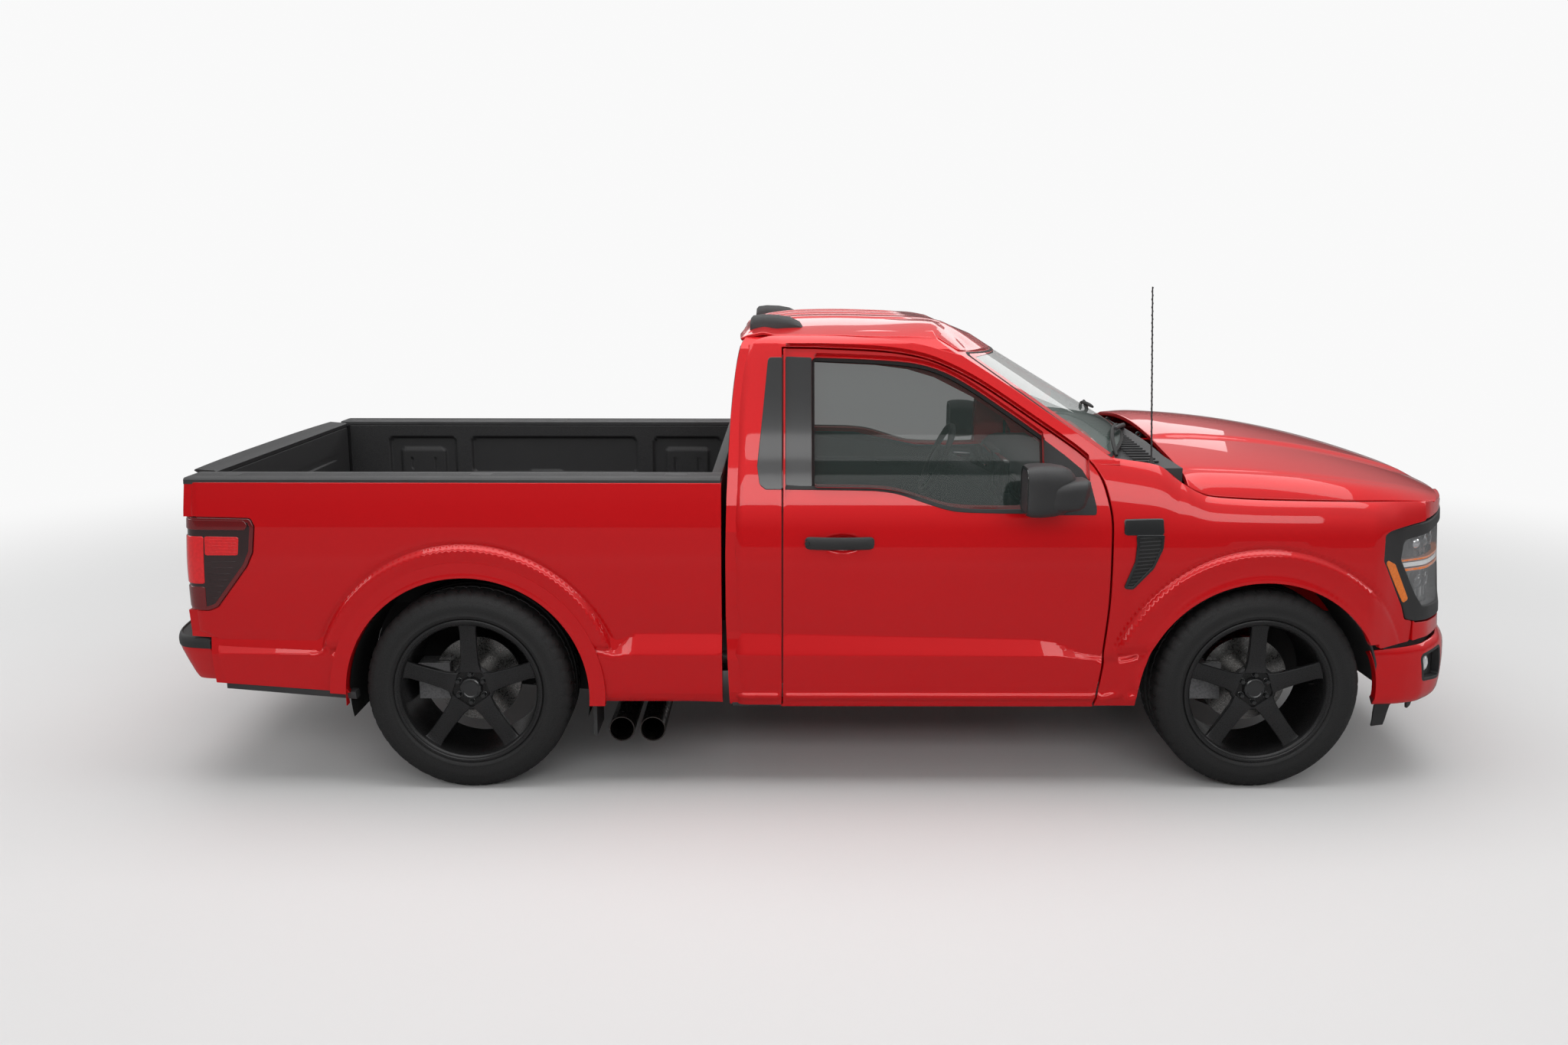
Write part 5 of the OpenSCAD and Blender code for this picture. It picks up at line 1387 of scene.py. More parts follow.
def along_plan(at_x, at_y, u, out):
    """Plan points at the run u from the middle of a plan line, moved out along its normal."""
    a = np.abs(u)
    tx, ty = at_x(a + 1) - at_x(a - 1), at_y(a + 1) - at_y(np.maximum(a - 1, 0))
    tx = np.where(a < 2, 0, tx)
    size = np.maximum(np.hypot(tx, ty), 1e-6)
    return at_x(a) + out * ty / size, np.sign(u) * (at_y(a) - out * tx / size)


def place_nose(u, z):
    x, y = along_plan(nose_x, nose_y, u, -0.075 * (z - 760))
    return np.stack([XF + x, y, z], 1)


bumper_bulge = curve([(222, -60), (250, -50), (300, -40), (330, -30), (345, -14), (372, -4), (420, 0),
                      (480, 2), (530, 0), (556, -3), (572, -9), (588, -20), (602, -36), (640, -60)])


def place_bumper(u, z):
    x, y = along_plan(bumper_x, bumper_y, u, bumper_bulge(z))
    return np.stack([XF + x, y, z], 1)


def nose_loop(points, radii):
    """An outline on the nose from (distance from the middle, height) points. A distance given as
    (0, x) is the one at which the nose is x ahead of the axle."""
    flat = []
    for a, z in points:
        flat.append((float(nose_u_x(a[1])) if isinstance(a, tuple) else float(nose_u_y(a)), z))
    return rounded(flat, radii, 7)


HEADLAMP = [(590, 1124), (792, 1084), ((0, FO - 500), 1052), ((0, FO - 504), 940), ((0, FO - 396), 744),
            ((0, FO - 376), 690), ((0, FO - 330), 678), (600, 660), (575, 700)]
LENS = [(612, 1062), (800, 1040), ((0, FO - 398), 1006), ((0, FO - 410), 932), ((0, FO - 336), 790),
        ((0, FO - 300), 738), (700, 716), (640, 740), (612, 880)]
MARKER = [((0, FO - 497), 946), ((0, FO - 440), 916), ((0, FO - 374), 772), ((0, FO - 398), 758)]


def lamp_eye(name, at, angle, material):
    """A projector lens in its ring."""
    r = 24
    eye = turn([(0.5, -2), (r * 0.5, -4), (r * 0.84, -9), (r, -16), (r * 1.05, -30)], 40, "x")
    ring = turn([(r * 1.02, -12), (r * 1.1, -6), (r * 1.2, -8), (r * 1.24, -30)], 40, "x")
    for shell, kind, finish_of in ((eye, name, material), (ring, name + "_ring", DARK_CHROME)):
        shell.turned(Matrix.Rotation(angle, 3, "Z")).moved(*at)
        both(kind, shell, finish_of, slot="lamp_clear")


def build_headlamps():
    """Thick black frame, clear lens over a dark case with projectors, amber marker and light strips."""
    outline = nose_loop(HEADLAMP, [8, 20, 26, 30, 24, 22, 20, 18, 12])
    lens = nose_loop(LENS, [12, 20, 22, 22, 20, 18, 16, 20, 20])
    marker = nose_loop(MARKER, [10, 10, 8, 8])
    grid = lattice(550, 1250, 650, 1130, 26, 26)
    bezel = skin(place_nose, outline, [lens], grid, step=16, hem=9, depth=46, lift=7)
    both("headlamp_bezel", bezel, TRIM, replaces=["headlamps"])
    case = skin(place_nose, outline, [], grid, step=24, hem=0, depth=1, lift=-46)
    both("headlamp_case", case, GLOSS)
    cover = skin(place_nose, grown(lens, 5), [], grid, step=20, hem=1, depth=3, lift=-3)
    both("headlamp_lens", cover, BRIGHT)
    both("amber_marker", skin(place_nose, marker, [], lattice(900, 1200, 740, 960, 16, 16), step=10, hem=3,
                              depth=6, lift=9.5), AMBER)
    fins = Shell()
    for k, x in enumerate((FO - 372, FO - 340, FO - 306, FO - 268, FO - 226)):
        u = float(nose_u_x(x))
        for z0, z1 in ((934, 1030 + 4 * k), (760 + max(0, 40 - 16 * k), 884)):
            fins.join(skin(place_nose, rect(u - 9, z0, u + 9, z1), step=30, hem=2, depth=6, lift=-30))
    both("lamp_fins", fins, DARK_CHROME)
    for k, (z, xs) in enumerate(((982, (FO - 300, FO - 238, FO - 182)), (828, (FO - 286, FO - 226)))):
        for j, x in enumerate(xs):
            u = float(nose_u_x(x))
            at = place_nose(np.array([u]), np.array([float(z)]))[0]
            ahead = place_nose(np.array([u + 1]), np.array([float(z)]))[0] - at
            angle = math.atan2(ahead[1], ahead[0]) - PI / 2
            lamp_eye(f"lamp_eye_{k + 1}_{j + 1}", at - np.array([14, 6, 0]), angle,
                     MIRROR if k + j == 0 else GLOSS)
    for name, z, h, material, end, lift in (("light_strip", 906, 9, WHITE_LENS, FO - 396, -4),
                                            ("turn_strip", 886, 5, AMBER, FO - 386, -3),
                                            ("turn_strip_upper", 924, 4, AMBER, FO - 400, -3)):
        strip = nose_loop([(612, z + 6 + h), ((0, end), z + h), ((0, end), z - h), (612, z + 6 - h)], 4)
        both(name, skin(place_nose, strip, step=18, hem=2, depth=20, lift=lift), material,
             slot="lamp_clear")


def build_grille():
    half = float(nose_u_y(572))
    frame_outer = rounded([(-half, 650), (half, 650), (half + 16, 1128), (-half - 16, 1128)], 26)
    frame_inner = rounded([(-half + 34, 684), (half - 34, 684), (half - 18, 1096), (-half + 18, 1096)], 30)
    surround = skin(place_nose, frame_outer, [frame_inner], step=30, hem=6, depth=50, lift=3)
    surround.make("grille_surround", TRIM, replaces=["grille"])
    back = skin(place_nose, grown(frame_inner, 20), step=60, hem=0, depth=1, lift=-48)
    back.make("grille_backing", RUBBER)
    mesh = Shell()
    for k in range(15):
        z = 694 + 28 * k
        row = rect(-half + 20, z - 3, half - 20, z + 3)
        mesh.join(skin(place_nose, row, step=60, hem=0, depth=8, lift=-30))
    for k in range(-19, 20):
        u = k * 28
        col = rect(u - 3, 690, u + 3, 1090)
        mesh.join(skin(place_nose, col, step=60, hem=0, depth=8, lift=-34))
    mesh.make("grille_mesh", TRIM)
    bars = Shell()
    for z, h, out in ((1046, 22, 0), (972, 22, 2), (890, 40, 10), (806, 22, 2), (734, 22, 0)):
        row = rounded(rect(-half + 8, z - h, half - 8, z + h), 10)
        bars.join(skin(place_nose, row, step=34, hem=6, depth=24, lift=out - 6))
    bars.make("grille_bars", GLOSS)


def build_front_bumper():
    top_side, top_mid = 568, 600
    u_mid = float(bumper_u_y(760))
    rear = [(float(bumper_u_x(FRONT_ARCH[0] + math.sqrt((ARCH_R + 2) ** 2 - (z - FRONT_ARCH[1]) ** 2))), z)
            for z in np.linspace(336, top_side, 9)]
    half_outline = rear + [(u_mid, top_mid)]
    outline = half_outline + [(-u, z) for u, z in half_outline[::-1]]
    outline = [p for i, p in enumerate(outline) if math.dist(p, outline[i - 1]) > 1]
    intake = rounded([(-430, 398), (430, 398), (456, 474), (-456, 474)], 16)
    u0, u1 = float(bumper_u_x(FO - 150)), float(bumper_u_x(FO - 292))
    fog = rounded([(u0, 412), (u1 - 22, 430), (u1, 540), (u0 + 30, 556)], 20)
    twin = [(-u, z) for u, z in fog]
    grid = lattice(-1260, 1260, 340, 600, 32, 18, (344, 350, 356, 364, 556, 564, 572, 580, 588, 594))
    shell = skin(place_bumper, outline, [intake, fog, twin], grid, step=22, hem=4, depth=34)
    shell.make("front_bumper_cover", PAINT, replaces=["front_bumper"])
    pockets = Shell()
    for pocket in (fog, twin):
        pockets.join(skin(place_bumper, grown(pocket, 6), step=20, hem=0, depth=1, lift=-30))
    pockets.join(skin(place_bumper, grown(intake, 6), step=40, hem=0, depth=1, lift=-34))
    pockets.make("bumper_pockets", TRIM)
    frames = Shell()
    for pocket in (fog, twin):
        frames.join(skin(place_bumper, grown(pocket, 3), [grown(pocket, -10)], step=14, hem=3, depth=30,
                         lift=1))
    for k in range(4):
        frames.join(skin(place_bumper, rect(-440, 408 + 17 * k, 440, 414 + 17 * k), step=40, hem=2,
                         depth=12, lift=-14))
    frames.make("bumper_grilles", TRIM)
    at = place_bumper(np.array([(u0 + u1) / 2]), np.array([486.0]))[0]
    fog_eye = turn([(0.5, -3), (20, -6), (30, -12), (34, -18), (36, -40)], 48, "x")
    fog_eye.turned(Matrix.Rotation(math.radians(32), 3, "Z")).moved(at[0] - 12, at[1] - 8, at[2])
    both("fog_lamp", fog_eye, WHITE_LENS)
    dam = skin(place_bumper, [(-880, 252), (880, 252), (960, 352), (-960, 352)], [],
               lattice(-900, 900, 260, 346, 60, 40), step=30, hem=4, depth=10, lift=-46)
    for side in (-1, 1):
        flap = [(side * 1112, 352), (side * 1122, 232), (side * 1172, 226), (side * 1184, 352)]
        dam.join(skin(place_bumper, flap if side > 0 else flap[::-1], step=30, hem=3, depth=8, lift=-6))
    dam.make("air_dam", TRIM)
    reach = float(nose_u_x(FO - 452))
    strip = skin(place_nose, rect(-reach, 548, reach, 620), [],
                 lattice(-reach, reach, 550, 618, 40, 20), step=34, hem=2, depth=20, lift=-22)
    strip.make("bumper_gap_strip", TRIM)
    beam = bar(rounded(rect(XF + FO - 150, 470, XF + FO - 60, 600), 12), -560, 560, 3, "y")
    beam.make("bumper_beam", FRAME_PAINT)


def build_nose_caps():
    """The fender's front end: above the headlamp up to the hood's seam, and below it to the bumper."""
    low = nose_loop([(572, 616), ((0, FO - 300), 606), ((0, FO - 341), 600), ((0, FO - 341), 684),
                     ((0, FO - 330), 672), (600, 652), (572, 652)], [3, 3, 3, 3, 3, 3, 3])
    both("nose_cap_low", skin(place_nose, low, [], lattice(580, 1100, 604, 690, 24, 12), step=16, hem=3,
                              depth=30, lift=4), PAINT)
    cap = nose_loop([(576, 1132), (792, 1092), ((0, FO - 318), 1080), ((0, FO - 318), 1152), (792, 1146),
                     (576, 1150)], [3, 20, 3, 3, 20, 3])
    both("nose_cap", skin(place_nose, cap, [], lattice(580, 1000, 1080, 1150, 24, 12), step=16, hem=3,
                          depth=40, lift=4), PAINT)


def build_arch_liners():
    """Dark liners inside the rear wheel arches, closed by a wall on their inner side."""
    rings = []
    for y in (HW - 40, 860, 700, 646):
        rings.append([(XR + x, y, z) for x, z in arc(REAR_ARCH, ARCH_R - 4, -12, 192, 60)])
    shell = loft(rings, closed=False)
    back = [(XR + x, 645, z) for x, z in arc(REAR_ARCH, ARCH_R - 4, -12, 192, 60)]
    shell.add(back + [(XR, 645, 330)], [(i, i + 1, len(back)) for i in range(len(back) - 1)])
    both("rear_arch_liner", shell, RUBBER)


def build_inner_wings():
    """Inner wings beside the engine, ribbed, with the radiator panel and slam panel ahead of it."""
    def place(x, z):
        rib = 5 * (np.cos(x / 26) > 0.4)
        return np.stack([XF + x, 492 + 0 * x - rib, z], 1)
    wall = skin(place, rect(-556, 602, FO - 190, 1108), [],
                lattice(-550, FO - 200, 610, 1100, 13, 80), step=40, hem=2, depth=4)
    shelf = skin(lambda x, y: np.stack([XF + x, y, 1106 + 0 * x], 1),
                 [(-556, 492), (FO - 190, 492), (FO - 190, 720), (FO - 320, 850), (-100, 900), (-556, 880)],
                 [], lattice(-550, FO - 200, 500, 890, 60, 60), step=50, hem=2, depth=14)
    both("inner_wing", wall.join(shelf), PAINT)
    # A dark sheet inboard of each front wheel: partly a splash shield, partly painted shade standing for
    # the shaded ground under the truck, seen through the wheel
    shield_and_shade = skin(lambda x, z: place(x, z) + np.array([0, 6, 0]),
                  rounded([(-440, 318), (440, 318), (470, 610), (-470, 610)], 40), [],
                  lattice(-430, 430, 330, 600, 26, 60), step=40, hem=2, depth=4)
    both("splash_shield_and_shade", shield_and_shade, RUBBER)
    panel = brick((XF + FO - 190, XF + FO - 90), (-560, 560), (1060, 1112), 4, 8)
    panel.make("slam_panel", TRIM)
    core = Shell()
    core.join(brick((XF + FO - 180, XF + FO - 130), (-480, 480), (640, 1050), 4, 8))
    for k in range(24):
        core.join(brick((XF + FO - 131, XF + FO - 126), (-470, 470), (652 + 16.4 * k, 658 + 16.4 * k), 1,
                        2))
    core.make("radiator", CAST)


# --- engine dressing -----------------------------------------------------------------------------------


def build_engine_dress():
    top = Shell()
    top.join(bar(rounded(rect(XF - 300, -190, XF + 380, 190), 40), 1062, 1100, 10, "z"))
    for y in (-120, -40, 40, 120):
        top.join(bar(rounded(rect(XF - 260, y - 22, XF + 340, y + 22), 14), 1098, 1108, 4, "z"))
    top.make("engine_cover", TRIM)
    box = bar(rounded(rect(XF + 100, 300, XF + 460, 470), 30), 900, 1070, 12, "z")
    box.join(pipe(smooth_path([(XF + 280, 310, 1000), (XF + 300, 240, 1040), (XF + 250, 120, 1085)], 8), 34,
                  20))
    box.make("air_box", TRIM)
    battery = brick((XF - 120, XF + 120), (-470, -300), (850, 1050), 4, 8)
    battery.join(turn([(0.5, 8), (9, 8), (9, 0)], 20, "z").moved(XF - 80, -350, 1050))
    battery.join(turn([(0.5, 8), (9, 8), (9, 0)], 20, "z").moved(XF + 80, -350, 1050))
    battery.make("battery", RUBBER)


# --- tail -----------------------------------------------------------------------------------------------


def place_gate(y, z):
    """Outer face of the tailgate: a shallow panel framed by a raised border, with a waist crease."""
    x = XR + BED_REAR - 4
    edge = np.maximum(np.abs(y) / 690, np.abs(z - 968) / 212)
    dish = 9 * ease((1.0 - edge) / 0.08)
    crease = 5 * ease((z - 930) / 30) * ease((1.0 - edge) / 0.08)
    return np.stack([x + 3 + dish - crease + 0 * y, y, z], 1)


def build_tailgate():
    low, high = BED_FLOOR_Z - 6, RAIL_Z - 25
    outline = rounded(rect(-GATE_HALF, low, GATE_HALF, high), 10)
    hatch = rounded(rect(-120, 1090, 120, 1150), 14)
    grid = lattice(-760, 760, low + 10, high - 8, 26, 16)
    shell = skin(place_gate, outline, [hatch], grid, step=22, hem=3, depth=40, sign=-1)
    shell.make("tailgate_skin", PAINT, "tailgate", replaces=["tailgate"])
    cup = skin(place_gate, grown(hatch, 4), [], lattice(-120, 120, 1090, 1150, 20, 12), step=20, hem=0,
               depth=1, sign=-1, lift=-24)
    cup.make("tailgate_handle_cup", TRIM, "tailgate")
    pull = skin(place_gate, rounded(rect(-112, 1112, 112, 1148), 12), step=14,
                hem=4, depth=12, sign=-1, lift=1)
    pull.make("tailgate_handle", GLOSS, "tailgate")
    def place_inner(y, z):
        edge = np.maximum(np.abs(y) / 640, np.abs(z - 975) / 195)
        groove = 5 * (np.sin(z / 11.5) > 0.2) * ease((0.94 - edge) / 0.04)
        return np.stack([XR + BED_REAR + 49 - groove + 0 * y, y, z], 1)
    inner = skin(place_inner, grown(outline, -2), [], lattice(-750, 750, low + 8, high - 8, 50, 6), step=30,
                 hem=3, depth=12)
    inner.make("tailgate_liner", LINER, "tailgate")
    pins = Shell()
    for s in (-1, 1):
        pins.join(turn([(0.5, s * (GATE_HALF + 13)), (9, s * (GATE_HALF + 13)),
                        (10.8, s * (GATE_HALF + 11)), (10.8, s * (GATE_HALF - 4))], 32,
                       "y").moved(XR + BED_REAR + 26, 0, 725))
    pins.make("tailgate_pins", STEEL, "tailgate")


def spoiler_section(y):
    """Cross-section of the tailgate's spoiler: a long curved blade, thinner towards its ends."""
    t = 1 - 0.35 * (abs(y) / GATE_HALF) ** 3
    r, z = BED_REAR, RAIL_Z
    return [(r + 46, z - 24), (r + 48, z - 8), (r + 38, z - 3), (r, z - 1), (r - 34 * t, z + 1),
            (r - 56 * t, z + 2), (r - 61 * t, z - 1), (r - 60 * t, z - 5), (r - 40 * t, z - 12),
            (r - 18 * t, z - 22), (r - 5, z - 25)]


def build_spoiler():
    rings = [[(XR + x, y, z) for x, z in spoiler_section(y)]
             for y in np.concatenate([[-GATE_HALF + 1], np.linspace(-GATE_HALF + 6, GATE_HALF - 6, 33),
                                      [GATE_HALF - 1]])]
    shell = loft(rings)
    shell.make("tailgate_spoiler_blade", TRIM, "tailgate", replaces=["tailgate_spoiler"])


def build_rails():
    """Bed rail caps with ribbed top strips, stake pockets and an outer lip."""
    y0, y1 = 810, HW - 45
    shell = Shell()
    top = RAIL_Z
    section = [(y0, top - 17), (y0, top - 4), (y0 + 3, top - 1), (y0 + 10, top - 0.4), (y0 + 44, top),
               (y0 + 46, top - 2), (y0 + 50, top - 2), (y0 + 52, top), (y0 + 62, top), (y0 + 64, top - 2),
               (y0 + 68, top - 2), (y0 + 70, top), (y0 + 80, top), (y0 + 82, top - 2), (y0 + 86, top - 2),
               (y0 + 88, top), (y0 + 98, top), (y0 + 100, top - 2), (y0 + 104, top - 2), (y0 + 106, top),
               (y1 - 12, top - 0.6), (y1 - 4, top - 3), (y1, top - 8), (y1 + 1, top - 24),
               (y1 - 3, top - 24), (y1 - 4, top - 17)]
    rings = [[(XR + x, y, z) for y, z in section] for x in (BED_REAR + 5, BED_REAR + 300, 200,
                                                            BED_FRONT - 2)]
    shell.join(loft(rings[::-1]))
    for x in (BED_REAR + 150, 60, BED_FRONT - 180):
        cap = rounded(rect(x - 44, y0 + 42, x + 44, y0 + 108), 8)
        shell.join(bar([(XR + a, b) for a, b in cap], top - 4, top + 0.8, 1, "z"))
    both("rail_cap", shell, TRIM, replaces=["bed_rails"])
    front = brick((XR + BED_FRONT - 43, XR + BED_FRONT), (-811, 811), (RAIL_Z - 17, RAIL_Z - 0.5), 4, 5)
    front.make("rail_cap_front", TRIM)


def liner_relief(x, z):
    """Depth of the shapes pressed into the bed's side liner."""
    def panel(x0, x1, z0, z1, depth, r=34):
        dx = np.maximum(np.maximum(x0 + r - x, x - x1 + r), 0)
        dz = np.maximum(np.maximum(z0 + r - z, z - z1 + r), 0)
        d = r - np.hypot(dx, dz)
        d = np.where((dx == 0) & (dz == 0), np.minimum(np.minimum(x - x0, x1 - x), np.minimum(z - z0,
                                                                                              z1 - z)), d)
        return depth * ease(d / 14)
    deep = 0
    for x0, x1, z0 in ((-820, -460, 900), (560, 920, 900)):
        deep = deep + panel(x0, x1, z0, 1180, 16) - panel(x0 + 60, x1 - 60, z0 + 60, 1120, 11, 26)
        slot = (x0 + x1) / 2
        deep = deep + panel(slot - 70, slot - 52, 1000, 1070, 9, 8) + panel(slot + 52, slot + 70, 1000,
                                                                            1070, 9, 8)
    deep = deep + panel(-390, 480, 980, 1180, 16)
    bulge = np.hypot(x, z - REAR_ARCH[1])
    deep = deep - 10 * ease((612 - bulge) / 12) * ease((bulge - 565) / 12) * (z > 960)
    return deep


def build_bed_liner():
    low, high = BED_FLOOR_Z + 2, RAIL_Z - 20
    def place(x, z):
        return np.stack([XR + x, 804 + liner_relief(x, z), z], 1)
    rear, front = BED_REAR + 8, BED_FRONT - 26
    r = ARCH_R + 19
    a0 = math.degrees(math.asin((low - REAR_ARCH[1]) / r))
    arch = arc(REAR_ARCH, r, a0, 180 - a0, 40)
    outline = [(rear, low), (arch[-1][0] - 1, low), *arch[::-1][1:-1], (arch[0][0] + 1, low), (front, low),
               (front, high), (rear, high)]
    side = skin(place, outline, [], lattice(rear + 6, front - 6, low + 8, high - 6, 11, 11), step=16, hem=3,
                depth=6)
    both("bed_side_liner", side, LINER)
    def place_front(y, z):
        a = np.abs(y)
        deep = 14 * ease((np.minimum(a - 120, 720 - a)) / 16) * ease(np.minimum(z - 800, 1180 - z) / 16)
        ring = 10 * ease((np.minimum(a - 210, 630 - a)) / 14) * ease(np.minimum(z - 860, 1120 - z) / 14)
        return np.stack([XR + BED_FRONT - 42 + deep - ring + 0 * y, y, z], 1)
    head = skin(place_front, rect(-804, low, 804, high), [],
                lattice(-796, 796, low + 8, high - 6, 14, 14), step=24, hem=3, depth=14, sign=-1)
    head.make("bed_front_liner", LINER)

    def place_floor(x, y):
        wave = 6 * ease((np.cos(y / 110 * 2 * PI) + 0.35) / 0.5) * ease((x - rear - 40) / 20) \
            * ease((front - 40 - x) / 20)
        return np.stack([XR + x, y, BED_FLOOR_Z + 2.5 + wave + 0 * x], 1)
    def floor_grid():
        return [(x, y) for x in list(np.arange(rear + 6, front - 4,
                                               120)) + [rear + 44, rear + 62, front - 62,
                                                        front - 44] for y in np.arange(-636, 637, 9)]
    floor = skin(place_floor, rect(rear - 30, -640, front + 14, 640),
                      [], floor_grid(), step=10, hem=0, depth=1)
    floor.make("bed_floor_mat", LINER)
    corner = Shell()
    for x in (rear + 20, front - 70):
        hook = pipe(smooth_path([(XR + x, 802, 800), (XR + x, 780, 790), (XR + x, 772, 765),
                                 (XR + x, 784, 742), (XR + x, 802, 736)], 5), 5, 10)
        plate = bar(rounded(rect(XR + x - 22, 724, XR + x + 22, 812), 8), 796, 803, 2, "y")
        corner.join(hook).join(plate)
    both("tie_down", corner, STEEL)


def build_tail_lamps():
    """Each lamp: a dark red frame, bright upper block and bar, and smoked lower block with fine lines."""
    limit = BED_REAR + BED_CORNER - BED_CORNER * PI / 2 - 36
    whole = lamp_hole(0)
    grid = lattice(limit, BED_REAR + 280, 742, 1106, 16, 20)
    base = skin(place_bed_side, whole, [], grid, step=12, hem=5, depth=60, sign=-1, lift=4)
    both("tail_lamp_body", base, LENS_SMOKE, replaces=["tail_lamps"])
    rim = skin(place_bed_side, grown(whole, -1), [grown(whole, -16)], step=12, hem=3, depth=6, sign=-1,
               lift=6.5)
    both("tail_lamp_rim", rim, LENS_DARK)
    x0 = BED_REAR
    def block(name, outline, radius, material, lift, lines=0):
        shape = rounded(outline, radius)
        box = np.array(outline)
        (u0, z0), (u1, z1) = box.min(0), box.max(0)
        shell = skin(place_bed_side, shape, [], lattice(u0, u1, z0, z1, 9, 20), step=9, hem=4, depth=5,
                     sign=-1, lift=lift)
        for k in range(lines):
            z = z0 + (z1 - z0) * (k + 1) / (lines + 1)
            shell.join(skin(place_bed_side, rect(u0 + 6, z - 1.6, u1 - 8, z + 1.6), step=14, hem=1, depth=2,
                            sign=-1, lift=lift + 1.2))
        both(name, shell, material, slot="lamp_red")
    block("lamp_top_bar", [(limit + 8, 1058), (x0 + 236, 1056), (x0 + 248, 1074), (x0 + 236, 1094),
                           (limit + 8, 1098)], 10, LENS_DARK, 8)
    block("lamp_upper_block", [(x0 + 80, 958), (x0 + 206, 958), (x0 + 212, 1030), (x0 + 80, 1032)], 8,
          LENS_RED, 7, lines=5)
    block("lamp_side_block", [(limit + 8, 846), (x0 + 72, 846), (x0 + 78, 1032), (limit + 8, 1032)], 8,
          LENS_RED, 8)
    block("lamp_lower_corner", [(limit + 8, 748), (x0 + 70, 748), (x0 + 72, 834), (limit + 8, 834)], 8,
          LENS_DARK, 8)
    ribs = Shell()
    for k in range(8):
        z = 764 + 24 * k
        reach = x0 + 104 + 104 * k / 8
        row = rect(x0 + 88, z - 2, reach, z + 2)
        ribs.join(skin(place_bed_side, row, step=16, hem=1, depth=2, sign=-1, lift=5.5))
    both("lamp_fine_lines", ribs, LENS_SMOKE)


_REAR = [(0, -1234), (200, -1233), (420, -1229), (580, -1222), (714, -1210), (800, -1199), (864, -1184),
         (905, -1165), (934, -1140), (950, -1105), (960, -1060), (966, -1010)]
rear_x, rear_y, _, _, REAR_END = plan_line([(y, -x) for y, x in _REAR])
rear_bulge = curve([(420, -66), (440, -52), (480, -34), (530, -14), (566, -2), (592, 0), (606, -2),
                    (618, -8), (622, -14)])


def place_rear_bumper(u, z):
    x, y = along_plan(rear_x, rear_y, u, rear_bulge(z))
    return np.stack([XR - x, y, z], 1)


def build_rear_bumper():
    end = REAR_END - 8
    outline = rounded(rect(-end, 424, end, 572), 10)
    lip = skin(place_rear_bumper, rect(-end, 571, end, 621), [],
               lattice(-end + 6, end - 6, 574, 618, 30, 7), step=22, hem=3, depth=30, sign=-1, lift=3)
    lip.make("bumper_top_strip", TRIM)
    plate_well = rounded(rect(-190, 458, 190, 560), 14)
    shell = skin(place_rear_bumper, outline, [plate_well], lattice(-end + 6, end - 6, 426, 610, 30, 14,
                 (428, 434, 440, 556, 562, 568)), step=22, hem=4, depth=30, sign=-1)
    shell.make("rear_bumper_cover", PAINT, replaces=["rear_bumper"])
    well = skin(place_rear_bumper, grown(plate_well, 6), step=30, hem=0, depth=1, sign=-1, lift=-26)
    well.make("plate_well", TRIM)
    def place_step(x, y):
        return np.stack([XR + x, y, 614 + 2.0 * (np.cos(x / 5.2) > 0) * (np.abs(y) < 860) + 0 * x], 1)
    edge = [(float(-rear_x(u)) + 6, float(rear_y(u))) for u in np.linspace(0, end, 26)]
    pad = edge + [(-1080, 955), (-1080, 0)]
    loop = pad + [(x, -y) for x, y in pad[::-1]]
    loop = [p for i, p in enumerate(loop) if math.dist(p, loop[i - 1]) > 1]
    step = skin(place_step, loop, step=30, hem=3, depth=10, lift=2)
    step.make("bumper_step_pad", TRIM)
    hitch = Shell()
    x, z = XR - 1170, 398
    for y0, y1, z0, z1 in ((-31.8, -25.6, -31.8, 31.8), (25.6, 31.8, -31.8, 31.8),
                           (-31.8, 31.8, 25.6, 31.8), (-31.8, 31.8, -31.8, -25.6)):
        hitch.join(brick((x - 54, x + 209), (y0, y1), (z + z0, z + z1), 1, 2))
    hitch.join(bar(rounded(rect(-40, -40, 40, 40), 12), x - 62, x - 55, 1, "x").moved(0, 0, z))
    hitch.join(brick((x + 130, x + 208), (-430, 430), (z + 32, 469), 3, 6))
    hitch.make("hitch_receiver_tube", FRAME_PAINT)
    arms = brick((XR - 1200, XR - 1041), (371, 429), (482, 598), 4, 10)
    both("bumper_bracket", arms, FRAME_PAINT)


# --- small outside pieces ---------------------------------------------------------------------------------


def build_fender_vents():
    """A black plate behind the front wheel, with a curved fang below it that holds a mesh."""
    plate = rounded([(-564, 1040), (-564, 1101), (-414, 1104), (-410, 1040)], [12, 8, 8, 12])
    plate = [(x, fender_v(x, z)) for x, z in plate]
    fang = rounded([(-517, 1042), (-409, 1042), (-412, 990), (-446, 912), (-521, 829), (-560, 831),
                    (-520, 940), (-515, 1000)], [6, 6, 30, 30, 10, 10, 40, 30])
    both("vent_plate", skin(place_fender, plate, step=14, hem=3, depth=5, sign=-1, lift=9), GLOSS)
    both("vent_fang", skin(place_fender, fang, [grown(fang, -11)], step=10, hem=3, depth=6, sign=-1,
                           lift=10), GLOSS)
    both("vent_floor", skin(place_fender, grown(fang, -3), step=14, hem=1, depth=2, sign=-1, lift=4.5),
         RUBBER)
    mesh = Shell()
    for k in range(13):
        z = 846 + 15 * k
        left = -540 + (k / 13) ** 0.6 * 40
        right = -505 + 88 * min(1, (k / 9)) ** 0.8
        mesh.join(skin(place_fender, [(left, z), (right, z + 6), (right, z + 10), (left, z + 4)], step=16,
                       hem=0, depth=2, sign=-1, lift=6.5))
    both("vent_mesh", mesh, TRIM)


